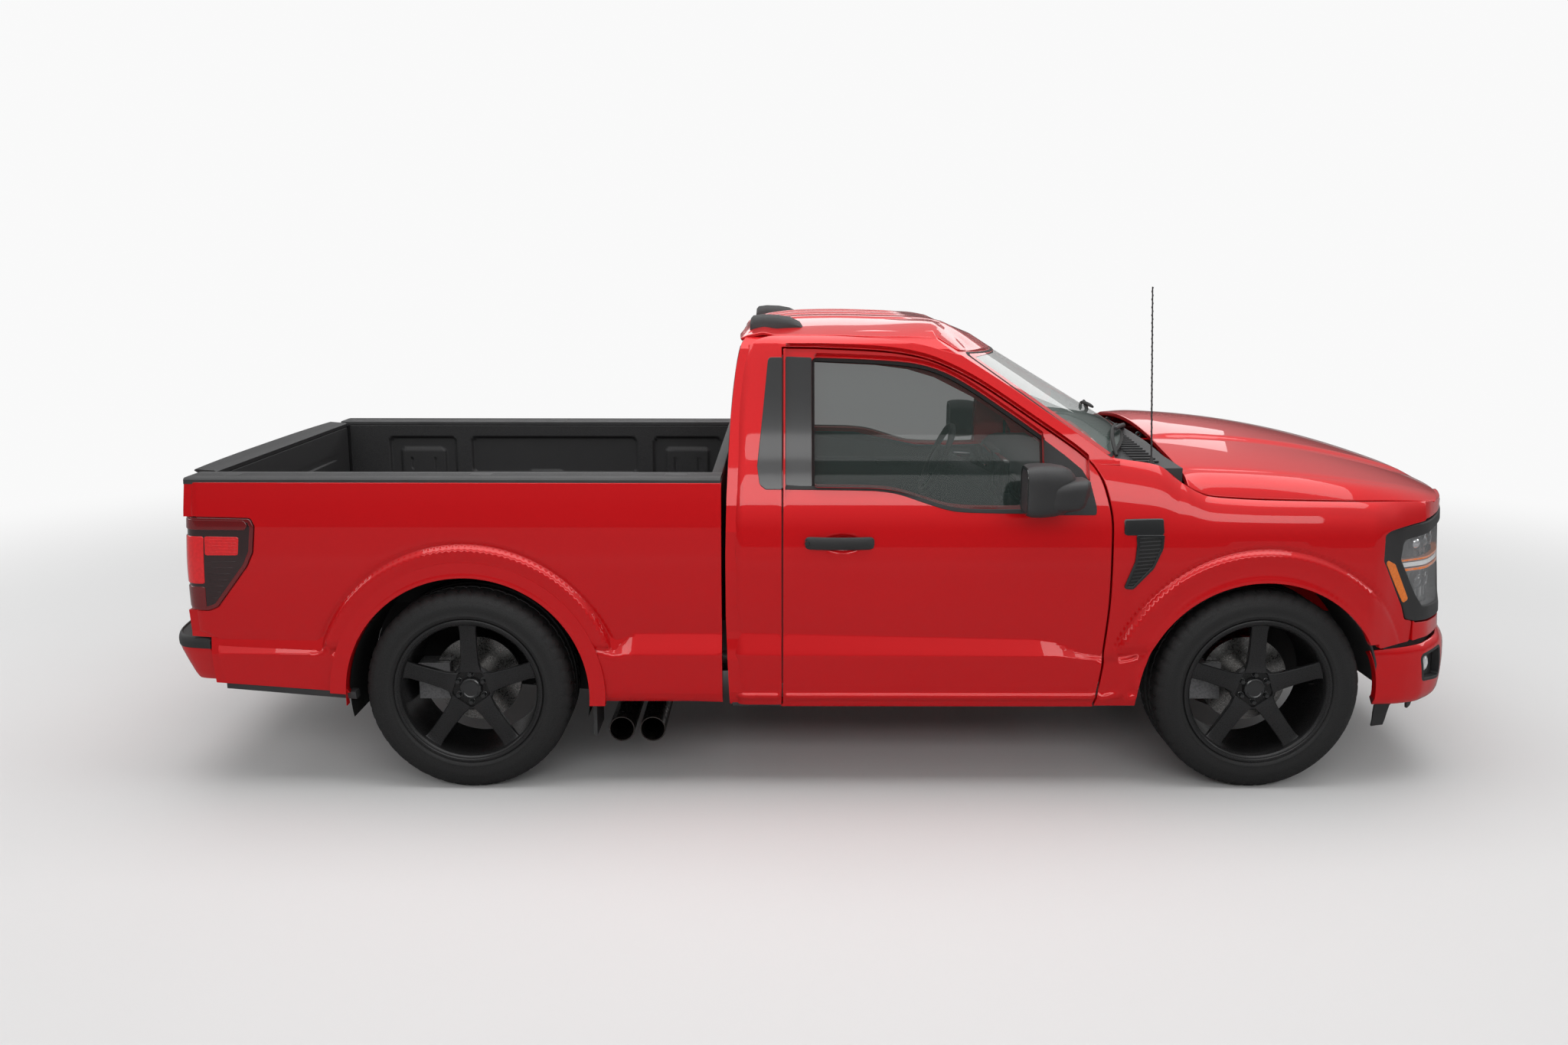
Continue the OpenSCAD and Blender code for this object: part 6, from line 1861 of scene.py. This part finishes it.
def build_cowl():
    """Cowl louvres, and two wipers with their arms and blades."""
    slots = Shell()
    for k in range(46):
        y = -810 + 36 * k
        if abs(y) > 815:
            continue
        z = 1364 - 77 * (abs(y) / 889) ** 2.1
        x = XF - 470 + 40 * (abs(y) / 889) ** 3
        slots.join(brick((x - 46, x + 46), (y - 5, y + 5), (z - 6, z + 3), 2, 3))
    slots.make("cowl_louvres", TRIM)
    for name, y0, tip in (("near", -250, -790), ("far", 420, -80)):
        def on_glass(y, s, up=6):
            p = place_screen(np.array([float(y)]), np.array([float(s)]))[0]
            return (p[0] + up * math.sin(SCREEN_TILT), p[1], p[2] + up * math.cos(SCREEN_TILT))
        pivot = on_glass(y0, 664, 4)
        elbow = on_glass(y0 - 60, 648, 26)
        mid = on_glass((y0 + tip) / 2, 566, 26)
        arm = pipe(smooth_path([pivot, elbow, mid], 6), [9] * 12 + [6], 10)
        arm.join(turn([(0.5, 20), (13, 18), (15, 8), (15, -10)], 24, "z").moved(*pivot))
        arm.make(f"wiper_arm_{name}", TRIM)
        blade = pipe([on_glass(y0 - 40 + (tip - y0 + 10) * t, 628 - 90 * math.sin(PI * 0.62 * t), 12)
                      for t in np.linspace(0, 1, 16)], [5] + [8] * 14 + [5], 8)
        blade.make(f"wiper_blade_{name}", RUBBER)


def build_antenna():
    x, y = XF - 438, 155 - HW
    base = turn([(15.5, 0), (15.5, 6), (13, 14), (8, 22), (6, 34), (4.2, 38)], 36, "z").moved(x, y, 1288)
    base.join(pipe([(x, y, 1322), (x - 34, y, 1980)], [3.4, 2.6], 12))
    coil = smooth_path([(x - 34 * t + 3.6 * math.cos(44 * PI * t), y + 3.6 * math.sin(44 * PI * t),
                         1322 + 656 * t) for t in np.linspace(0.03, 1, 260)], 1)
    base.join(pipe(coil, 0.9, 5))
    base.make("antenna_mast", TRIM, replaces=["antenna"])


def build_roof_pieces():
    """Roof pods at the rear corners and the stop lamp between them."""
    rings = []
    for y in np.linspace(516, 606, 11):
        k = 1 - (abs(y - 561) / 46) ** 4 * 0.55
        top = [(-2014, 1800), (-2010, 1800 + 46 * k), (-2000, 1800 + 58 * k), (-1960, 1800 + 63 * k),
               (-1900, 1800 + 61 * k), (-1850, 1800 + 52 * k), (-1812, 1800 + 34 * k), (-1790, 1800)]
        rings.append([(XF + x, y, z) for x, z in top])
    both("roof_pod", loft(rings), TRIM, replaces=["roof_pods"])
    lamp_rings = []
    x = XF + CAB_BACK + 78
    for v in np.linspace(-170, 170, 15):
        k = 1 - (abs(v) / 175) ** 6 * 0.5
        lamp_rings.append([(x - 20 * k, v, 1776 - 12 * k), (x - 24 * k, v, 1776),
                           (x - 16 * k, v, 1776 + 14 * k), (x, v, 1776 + 18 * k), (x + 6, v, 1770)])
    loft(lamp_rings).make("high_stop_lamp", LENS_RED)


def build_underside():
    """Sill strip below the doors, and the rear valance's black edge."""
    sill = bar(rounded(rect(XF - 2080, 336, XF - 640, 352), 4), HW - 110, HW - 52, 3, "y")
    both("sill_strip", sill, TRIM)
    edge = bar([(XR - 956, 442), (XR - 474, 404), (XR - 450, 402), (XR - 446, 372), (XR - 956, 416)],
               HW - 74, HW - 24, 3, "y")
    both("rear_valance_edge", edge, TRIM)

# --- cabin ----------------------------------------------------------------------------------------------


def inner_side(x, z):
    """The door's inner face: flat below the window, leaning in with the pillars above it."""
    low = HW - 133 + 0 * z
    high = HW - 120 - 205 * (z - 1205) / 531
    y = np.where(z < 1160, low, np.minimum(low, high - 13 * ease((1215 - z) / 55)))
    rest = 18 * ease((70 - np.abs(z - 1000)) / 26) * ease((x + 1760) / 40) * ease((-960 - x) / 60)
    scoop = 14 * ease((70 - np.abs(z - 560)) / 20) * ease((x + 1640) / 50) * ease((-900 - x) / 60)
    return y - rest + scoop


def place_inner_door(x, z):
    return np.stack([XF + x, inner_side(x, z), z], 1)


def door_inner_shape():
    loop = []
    for x, z in door_shape(-6):
        loop.append((max(-1868, min(x, -700)), max(352, min(z, 1728))))
    return [p for i, p in enumerate(loop) if math.dist(p, loop[i - 1]) > 2]


def build_door_inners():
    window = grown(rounded(soft_window(), 14), -2)
    lining_rows = lattice(-1860, -700, 356, 1720, 30, 22)
    metal = skin(place_inner_door, door_inner_shape(), [window], lining_rows, step=24, hem=4, depth=86,
                 sign=1, lift=-2)
    both("door_inner_panel", metal, PAINT, DOORS)
    card = rounded([(-1846, 400), (-730, 400), (-730, 1120), (-850, 1132), (-1000, 1126), (-1184, 1128),
                    (-1341, 1160), (-1509, 1196), (-1846, 1200)], [60, 60, 40, 30, 20, 20, 20, 20, 20])
    lining = skin(place_inner_door, card, [], lattice(-1840, -740, 410, 1200, 24, 16), step=20, hem=6,
                  depth=10, sign=1, lift=7)
    both("door_lining", lining, CABIN, DOORS)
    insert = rounded([(-1720, 1052), (-860, 1052), (-900, 1112), (-1180, 1112), (-1341, 1142),
                      (-1700, 1172)], 24)
    both("door_insert", skin(place_inner_door, insert, [], lattice(-1710, -870, 1056, 1170, 24, 18),
                             step=18, hem=4, depth=5, sign=1, lift=10), CLOTH, DOORS)
    grille = turn([(0.5, -12), (30, -12), (62, -9), (74, -6), (80, 0)], 64, "y")
    grille.moved(XF - 900, HW - 140, 560)
    both("door_speaker", grille, TRIM, DOORS)
    pull = bar(rounded(rect(-92, -10, 92, 10), 9), -20, 0, 4, "y")
    pull.moved(XF - 1300, HW - 152, 1042)
    both("door_pull", pull, GLOSS, DOORS)
    lever = bar(rounded([(-46, -14), (46, -9), (46, 9), (-46, 14)], 8), -10, 0, 3, "y")
    lever.moved(XF - 940, HW - 144, 1080)
    both("door_lever", lever, CHROME, DOORS)
    seal = skin(place_inner_door, grown(door_inner_shape(), -9), [grown(door_inner_shape(), -23)], step=22,
                hem=4, depth=8, sign=1, lift=5)
    both("door_seal", seal, RUBBER, DOORS)


def place_back_trim(y, z):
    lean = np.interp(z, [565, 1198, 1479, 1665, 1768], [46, 46, 66, 90, 122])
    return np.stack([XF + CAB_BACK + lean + 3 + 0 * y, y, z], 1)


def build_cabin_trim():
    """Back-wall trim, carpet and mats, headliner, sun visors, inner mirror and sill plates."""
    wall = skin(place_back_trim, [(-826, 570), (826, 570), (826, 1200), (620, 1710), (-620, 1710),
                                  (-826, 1200)], [grown(BACK_WINDOW, 4)],
                lattice(-820, 820, 576, 1700, 50, 40), step=30, hem=3, depth=3, sign=1, lift=6)
    wall.make("back_wall_trim", CABIN)
    def place_floor(x, y):
        hump = 157 * ease((222 - np.abs(y)) / 30) * ease((x + 1124) / 20)
        ripple = 1.2 * np.sin(x / 31) * np.cos(y / 43)
        return np.stack([XF + x, y, 569 + hump + ripple], 1)
    rows = [(x, s * y) for x in np.arange(-2030, -600,
                                          34) for y in (0, 60, 120, 180, 190, 198, 206, 214, 222, 260, 340,
                                                        430, 520, 610, 700,
                                                        780) for s in (-1, 1) if y or s > 0]
    rows += [(x, y) for x in (-1126, -1120, -1114, -1108) for y in np.arange(-200, 201, 40)]
    carpet = skin(place_floor, rect(-2040, -828, -596, 828), [], rows, step=34, hem=3, depth=3)
    carpet.make("cabin_carpet", CARPET)
    for s, name in ((1, "left"), (-1, "right")):
        mat = skin(lambda x, y: place_floor(x, y) + np.array([0, 0, 8]),
                   rounded(rect(-1100, s * 270, -640, s * 740)[::s], 50), [],
                   lattice(-1090, -650, min(s * 280, s * 730), max(s * 280, s * 730), 18, 18), step=20,
                   hem=3, depth=6)
        mat.make(f"floor_mat_{name}", RUBBER, slot="cabin_plastic")
    def place_liner(x, y):
        a = np.abs(y) / 560
        z = 1800 - 40 * ease((a - 0.55) / 0.45) * a
        front = np.clip((x + 1400) / 300, 0, 1)
        return np.stack([XF + x, y, z - 84 * front ** 1.5], 1)
    liner = skin(place_liner, rounded([(-1990, -545), (-1230, -545), (-1150, -400), (-1100, 0),
                                       (-1150, 400), (-1230, 545), (-1990, 545)], 30), [],
                 lattice(-1980, -1110, -540, 540, 50, 50), step=34, hem=6, depth=6, sign=-1, lift=3)
    liner.make("headliner", LIGHT_TRIM)
    for s, name in ((1, "left"), (-1, "right")):
        visor = bar(rounded(rect(-1310, s * 90, -1175, s * 430), 26), 0, 16, 5, "z")
        visor.turned(Matrix.Translation((XF, 0, 1672)) @ Matrix.Translation((-1175, 0, 0))
                     @ Matrix.Rotation(math.radians(18), 4, "Y") @ Matrix.Translation((1175, 0, 0)))
        visor.make(f"sun_visor_{name}", LIGHT_TRIM)
    glass = rounded([(-120, -32), (120, -32), (112, 32), (-112, 32)], 26)
    centre = bar([(y, 1610 + z) for y, z in glass], XF - 1082, XF - 1060, 7, "x")
    centre.join(pipe([(XF - 1060, 0, 1615), (XF - 1024, 0, 1648)], 8, 12))
    centre.make("inner_mirror", GLOSS)
    plate = skin(lambda x, y: np.stack([XF + x, y, 571 + 0 * x], 1),
                 rounded(rect(-1840, 838, -760, 885), 8), [],
                 lattice(-1830, -770, 842, 882, 40, 8), step=30, hem=2, depth=5, sign=1, lift=0)
    both("sill_plate", plate, TRIM)


# --- seats ----------------------------------------------------------------------------------------------


def seat_block(profile, y0, y1, soft=34):
    """A padded block: its side profile swept across the seat, with rounded ends."""
    rings = []
    base = resample(rounded(profile, soft, 10), 72)
    middle = np.array(base).mean(0)
    for t in np.linspace(0, 1, 17):
        y = y0 + (y1 - y0) * t
        edge = min(t, 1 - t) * (y1 - y0)
        s = 1 - 0.5 * (1 - min(1, edge / soft)) ** 2.4
        shrink = (1 - s) * 44
        ring = []
        for p in np.array(base):
            d = p - middle
            k = max(0.0, 1 - shrink / max(np.linalg.norm(d), 1))
            ring.append((XF + middle[0] + d[0] * k, y, middle[1] + d[1] * k))
        rings.append(ring)
    return loft(rings)


def cushion(name, shell, material, pressure=3.0):
    """A soft piece, filled out by its own cloth pass so that it has taut faces and pinched seams."""
    piece = shell.make(name, material, smooth=180)
    bpy.context.view_layer.objects.active = piece
    remesh = piece.modifiers.new("remesh", "REMESH")
    remesh.mode = "VOXEL"
    remesh.voxel_size = 0.011
    graph = bpy.context.evaluated_depsgraph_get()
    dense_mesh = bpy.data.meshes.new_from_object(piece.evaluated_get(graph))
    piece.modifiers.clear()
    worker = bpy.data.objects.new(name + "_pass", dense_mesh)
    bpy.context.scene.collection.objects.link(worker)
    cloth = worker.modifiers.new("cloth", "CLOTH")
    settings = cloth.settings
    settings.use_pressure = True
    settings.uniform_pressure_force = pressure
    settings.effector_weights.gravity = 0
    settings.tension_stiffness = settings.compression_stiffness = 40
    settings.bending_stiffness = 4
    settings.quality = 4
    cloth.point_cache.frame_start, cloth.point_cache.frame_end = 1, 20
    scene = bpy.context.scene
    scene.frame_start, scene.frame_end = 1, 20
    before = np.array([v.co[:] for v in dense_mesh.vertices])
    for i in range(1, 21):
        scene.frame_set(i)
    graph = bpy.context.evaluated_depsgraph_get()
    settled = bpy.data.meshes.new_from_object(worker.evaluated_get(graph))
    scene.frame_set(1)
    after = np.array([v.co[:] for v in settled.vertices])
    move = after - before
    size = np.linalg.norm(move, axis=1)
    move *= (np.minimum(size, 0.006) / np.maximum(size, 1e-9))[:, None]
    for v, p in zip(settled.vertices, before + move):
        v.co = p
    bpy.data.objects.remove(worker)
    settled.materials.clear()
    settled.materials.append(material)
    settled.shade_smooth()
    piece.data = settled
    return piece


SEAT_BASE = [(-1860, 650), (-1300, 640), (-1222, 760), (-1208, 856), (-1256, 902), (-1480, 888),
             (-1700, 892), (-1860, 880)]
SEAT_BACK = [(-1876, 868), (-1716, 892), (-1742, 1010), (-1776, 1180), (-1798, 1362), (-1850, 1392),
             (-1898, 1392), (-1950, 1374), (-1932, 1280), (-1886, 960)]


def build_seat():
    """A 40/20/40 bench: cushions and backs in cloth, over a plastic base."""
    frame_box = brick((XF - 1860, XF - 1310), (-648, 648), (572, 668), 4, 20)
    frame_box.make("seat_frame", CABIN, replaces=["bench_seat"])
    for part, y0, y1 in (("left", 168, 650), ("centre", -158, 158), ("right", -650, -168)):
        cushion(f"seat_base_{part}", seat_block(SEAT_BASE, y0, y1), CLOTH)
        cushion(f"seat_back_{part}", seat_block(SEAT_BACK, y0, y1), CLOTH)
    for s, name in ((1, "left"), (-1, "right")):
        lo, hi = min(s * 296, s * 520), max(s * 296, s * 520)
        rest = seat_block([(-1942, 1436), (-1850, 1430), (-1842, 1500), (-1852, 1568), (-1880, 1580),
                           (-1936, 1574), (-1944, 1520)], lo, hi, soft=20)
        cushion(f"headrest_{name}", rest, CLOTH, pressure=1.5)
        posts = Shell()
        for y in (s * 360, s * 460):
            posts.join(pipe([(XF - 1894, y, 1376), (XF - 1896, y, 1450)], 6, 12))
        posts.make(f"headrest_posts_{name}", STEEL)
        belt = []
        for x, y, z in smooth_path([(XF - 1992, s * 700, 1500), (XF - 1975, s * 712, 1200),
                                    (XF - 1950, s * 716, 800), (XF - 1930, s * 716, 640)], 6):
            belt.append([(*p, z) for p in rect(x - 22, y - 1.5, x + 22, y + 1.5)])
        loft(belt).make(f"seat_belt_{name}", RUBBER)
    buckle = Shell()
    for y in (150, -150):
        buckle.join(brick((XF - 1760, XF - 1735), (y - 14, y + 14), (850, 960), 4, 8))
    buckle.make("belt_buckles", GLOSS, slot="black_plastic")


# --- dashboard ------------------------------------------------------------------------------------------


def build_dashboard():
    """Padded top, face with screen and vents, glove box, centre stack, pedals."""
    profile = [(-604, 905), (-820, 925), (-852, 960), (-866, 1010), (-858, 1080), (-848, 1150),
               (-812, 1188), (-770, 1201), (-604, 1201)]
    top = resample(rounded(profile, [10, 30, 20, 30, 20, 24, 24, 20, 10], 8), 84)
    rings = []
    for y in np.concatenate([[-828, -824, -815], np.linspace(-790, 790, 49), [815, 824, 828]]):
        inset = 10 * (abs(y) > 826) + 3 * (823 < abs(y) <= 826)
        ring = []
        for x, z in top:
            wave = 7 * float(ease((150 - abs(y)) / 40)) * (x < -840) * (920 < z < 1180)
            ring.append((XF + x + inset * (x < -700) - wave, y, z - inset * (z > 1100)))
        rings.append(ring)
    loft(rings).make("dashboard_body", CABIN, replaces=["dashboard"])
    binnacle = bar(rounded([(215, 1128), (525, 1128), (515, 1196), (225, 1196)], 24), XF - 884, XF - 842, 8,
                   "x")
    binnacle.make("instrument_hood", TRIM, slot="cabin_plastic")
    dial = bar(rounded([(232, 1136), (508, 1136), (500, 1188), (240, 1188)], 16), XF - 886.5, XF - 883, 1,
               "x")
    dial.make("instrument_glass", GLOSS)
    screen = bar(rounded(rect(-140, 1050, 140, 1196), 12), XF - 890, XF - 862, 4, "x")
    screen.make("centre_screen", GLOSS)
    trim = Shell()
    for y0, y1 in ((-790, -640), (-330, -180), (180, 225), (640, 790)):
        if y1 - y0 > 60:
            trim.join(bar(rounded(rect(y0, 1090, y1, 1150), 14), XF - 868, XF - 846, 4, "x"))
            for k in range(5):
                trim.join(brick((XF - 872, XF - 862), (y0 + 12, y1 - 12), (1096 + 11 * k, 1100 + 11 * k), 1,
                                2))
    trim.make("dashboard_vents", TRIM)
    strip = Shell()
    for y0, y1 in ((-800, -150), (530, 800)):
        strip.join(bar(rounded(rect(y0, 1066, y1, 1078), 5), XF - 872, XF - 856, 2, "x"))
    strip.make("dashboard_strip", CHROME)
    box = bar(rounded(rect(-760, 940, -210, 1052), 22), XF - 872, XF - 846, 5, "x")
    box.make("glove_box_lid", CABIN)
    stack = bar(rounded(rect(-136, 905, 136, 1040), 18), XF - 882, XF - 846, 5, "x")
    for y in (-96, -48, 0, 48, 96):
        stack.join(turn([(0.5, -10), (12, -9), (15, -6), (16, 0)], 28, "x").moved(XF - 884, y, 1010))
    for k in range(5):
        stack.join(brick((XF - 887, XF - 881), (-110 + 46 * k, -74 + 46 * k), (950, 972), 1, 4))
    stack.make("centre_stack", TRIM, slot="cabin_plastic")
    pedals = Shell()
    for y, w, z in ((290, 26, 690), (420, 34, 700)):
        pedals.join(brick((XF - 782, XF - 768), (y - w, y + w), (z - 40, z + 40), 3, 6))
        pedals.join(pipe(smooth_path([(XF - 770, y, z + 10), (XF - 744, y, z + 120), (XF - 742, y, 925)],
                                     5), 8, 10))
    pedals.make("pedals", RUBBER)


def build_steering_wheel():
    """A leather rim with three spokes, a blank centre pad and its column."""
    tilt = math.radians(24)
    at = Vector((XF - 1130, 370, 1130))
    move = Matrix.Translation(at) @ Matrix.Rotation(PI / 2 + tilt, 4, "Y")
    rings = []
    R, r = 174, 15
    for i in range(72):
        a = 2 * PI * i / 72
        grip = 1.0 + 0.12 * (abs(math.sin(a)) > 0.35) * (abs(math.sin(a)) < 0.7)
        rings.append([((R + r * grip * math.cos(b)) * math.cos(a),
                       (R + r * grip * math.cos(b)) * math.sin(a),
                       r * grip * math.sin(b)) for b in np.linspace(0, 2 * PI, 16, endpoint=False)])
    rings.append(rings[0])
    loft(rings, cap=False).turned(move).make("steering_rim", VINYL, "steering_wheel",
                                             replaces=["steering_wheel"])
    spokes = Shell()
    for a in (0, PI / 2, -PI / 2):
        arm = []
        for x, w, h, z in ((40, 34, 9, 8), (80, 26, 8, 8), (130, 20, 7, 4), (168, 24, 8, 0)):
            arm.append([(x, w, z - h), (x, w, z + h), (x, -w, z + h), (x, -w, z - h)][::-1])
        spokes.join(loft(arm).turned(Matrix.Rotation(a, 4, "Z")))
    spokes.turned(move).make("steering_spokes", GLOSS, "steering_wheel")
    pad = turn([(0.5, -24), (40, -23), (62, -18), (74, -8), (76, 8), (66, 24), (30, 28), (0.5, 28)][::-1],
               64, "z")
    pad.turned(move).make("steering_pad", CABIN, "steering_wheel")
    column = turn([(0.5, 34), (50, 36), (56, 50), (52, 150), (44, 290), (0.5, 291)][::-1], 48, "z")
    column.turned(move).make("column_shroud", CABIN)
    stalks = Shell()
    for s in (-1, 1):
        stalks.join(pipe([(0, s * 40, 62), (-10, s * 120, 56), (-14, s * 175, 54)], [7, 6, 8], 12))
    stalks.turned(move).make("column_stalks", TRIM)

# --- light, floor and camera ----------------------------------------------------------------


def studio_floor():
    """A pale floor that takes a shadow and turns white away from the truck, to the eye and in glass."""
    material = bpy.data.materials.new("studio_floor")
    material.use_nodes = True
    tree = material.node_tree
    face = tree.nodes["Principled BSDF"]
    where = add(tree, "TexCoord")
    noise = add(tree, "TexNoise", [("Vector", where.outputs["Object"])], scale=0.8, detail=2.0)
    tone = add(tree, "MapRange", [("Value", noise.outputs["Fac"])], To_Min=0.74, To_Max=0.75)
    path = add(tree, "LightPath")
    dim = add(tree, "MapRange", [("Value", path.outputs["Is Glossy Ray"])], To_Min=1.0, To_Max=0.35)
    tone = add(tree, "Math", [(0, tone.outputs[0]), (1, dim.outputs[0])], operation="MULTIPLY")
    tree.links.new(tone.outputs[0], face.inputs["Base Color"])
    face.inputs["Roughness"].default_value = 0.7
    face.inputs["Specular IOR Level"].default_value = 0.15
    far = add(tree, "VectorMath", [(0, where.outputs["Object"])], operation="LENGTH")
    mask = add(tree, "MapRange", [("Value", far.outputs["Value"])], From_Min=3.2, From_Max=8.5)
    mask.interpolation_type = "SMOOTHSTEP"
    seen = add(tree, "Math", [(0, path.outputs["Is Camera Ray"]), (1, path.outputs["Is Transmission Ray"])],
               operation="MAXIMUM")
    soft = add(tree, "Math", [(0, path.outputs["Is Glossy Ray"])], operation="MULTIPLY")
    soft.inputs[1].default_value = 0.2
    seen = add(tree, "Math", [(0, seen.outputs[0]), (1, soft.outputs[0])], operation="MAXIMUM")
    share = add(tree, "Math", [(0, seen.outputs[0]), (1, mask.outputs[0])], operation="MULTIPLY")
    glow = add(tree, "Emission")
    glow.inputs["Strength"].default_value = 0.95
    blend = add(tree, "MixShader", [(0, share.outputs[0]), (1, face.outputs[0]), (2, glow.outputs[0])])
    tree.links.new(blend.outputs[0], tree.nodes["Material Output"].inputs["Surface"])
    return material


def build_stage():
    mesh = bpy.data.meshes.new("studio_floor")
    mesh.from_pydata([(-60, -60, 0), (60, -60, 0), (60, 60, 0), (-60, 60, 0)], [], [(0, 1, 2, 3)])
    mesh.materials.append(studio_floor())
    floor = bpy.data.objects.new("studio_floor", mesh)
    bpy.context.scene.collection.objects.link(floor)
    world = bpy.data.worlds.new("studio")
    bpy.context.scene.world = world
    world.use_nodes = True
    tree = world.node_tree
    back = tree.nodes["Background"]
    path = tree.nodes.new("ShaderNodeLightPath")
    seen = add(tree, "Math", [(0, path.outputs["Is Camera Ray"]), (1, path.outputs["Is Transmission Ray"])],
               operation="MAXIMUM")
    level = add(tree, "MapRange", [("Value", seen.outputs[0])], To_Min=0.34, To_Max=0.95)
    where = add(tree, "TexCoord")
    height = add(tree, "SeparateXYZ", [(0, where.outputs["Generated"])])
    sky = add(tree, "MapRange", [("Value", height.outputs[2])], From_Min=0.05, From_Max=0.7, To_Min=-0.24,
              To_Max=0.3)
    glossy = add(tree, "Math", [(0, path.outputs["Is Glossy Ray"]), (1, sky.outputs[0])],
                 operation="MULTIPLY")
    total = add(tree, "Math", [(0, level.outputs[0]), (1, glossy.outputs[0])], operation="ADD")
    tree.links.new(total.outputs[0], back.inputs["Strength"])
    back.inputs["Color"].default_value = (1, 1, 1, 1)


def lamp(name, at, towards, size, power):
    data = bpy.data.lights.new(name, "AREA")
    data.shape = "RECTANGLE"
    data.size, data.size_y = size
    data.energy = power
    light = bpy.data.objects.new(name, data)
    light.location = at
    light.rotation_euler = (Vector(towards) - Vector(at)).to_track_quat("-Z", "Y").to_euler()
    bpy.context.scene.collection.objects.link(light)


def build_lights():
    lamp("overhead_softbox", (0, -0.3, 5.6), (0, 0, 0), (9.0, 5.0), 300)
    lamp("near_side_softbox", (0, -7.5, 4.4), (0, 0, 0.8), (10.0, 2.0), 170)
    lamp("far_side_softbox", (0, 7.5, 4.4), (0, 0, 0.8), (10.0, 2.0), 90)
    lamp("nose_softbox", (8.0, 0, 3.5), (1.5, 0, 0.8), (4.0, 2.0), 70)
    lamp("tail_softbox", (-8.0, 0, 3.5), (-1.5, 0, 0.8), (4.0, 2.0), 70)


def build_camera():
    """The photograph's view: about 2 m above the ground, looking slightly down."""
    data = bpy.data.cameras.new("camera")
    data.sensor_width = 36.0
    data.lens = 29.28
    camera = bpy.data.objects.new("camera", data)
    camera.location = (-0.1727, -5.7982, 2.0681)
    camera.rotation_euler = (math.radians(90 - 11.52), math.radians(-0.07), math.radians(0.03))
    bpy.context.scene.collection.objects.link(camera)
    bpy.context.scene.camera = camera


bpy.context.scene.view_settings.view_transform = "Standard"
build_camera()

# --- carried-over pieces of the frame ---------------------------------------------------------

CARRIED = {FRAME_PAINT: ["chassis_frame", "front_suspension"],
           CAST: ["powertrain", "rear_axle", "knuckle_left", "knuckle_right"], PIPE: ["exhaust"],
           TRIM: ["fuel_tank", "wheel_liners", "cowl_panel", "antenna", "roof_pods"], LINER: ["bed_floor"],
           BED_WALL: ["bed_sides"], DISC: [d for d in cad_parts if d.startswith("disc_")],
           PAINT: ["cab_shell"],}


def dress_frame():
    """Each CAD node gets its own finish; those that a piece stands for are hidden anyway."""
    finish_of = {node: material for material, nodes in CARRIED.items() for node in nodes}
    for name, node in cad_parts.items():
        material = finish_of.get(name, TRIM)
        if not node.material_slots:
            node.data.materials.append(material)
        for slot in node.material_slots:
            slot.material = material


def main():
    for build in (dress_frame, build_doors, build_cab_sides, build_cab_back, build_roof, build_glass,
                  build_fenders, build_bed_sides, build_hood, build_wheels, build_side_glass, build_handles,
                  build_mirrors, build_headlamps, build_grille, build_front_bumper, build_nose_caps,
                  build_arch_liners, build_inner_wings, build_engine_dress, build_tailgate, build_spoiler,
                  build_rails, build_bed_liner, build_tail_lamps, build_rear_bumper, build_fender_vents,
                  build_cowl, build_antenna, build_roof_pieces, build_underside, build_door_inners,
                  build_cabin_trim, build_seat, build_dashboard, build_steering_wheel, build_stage,
                  build_lights):
        build()


main()
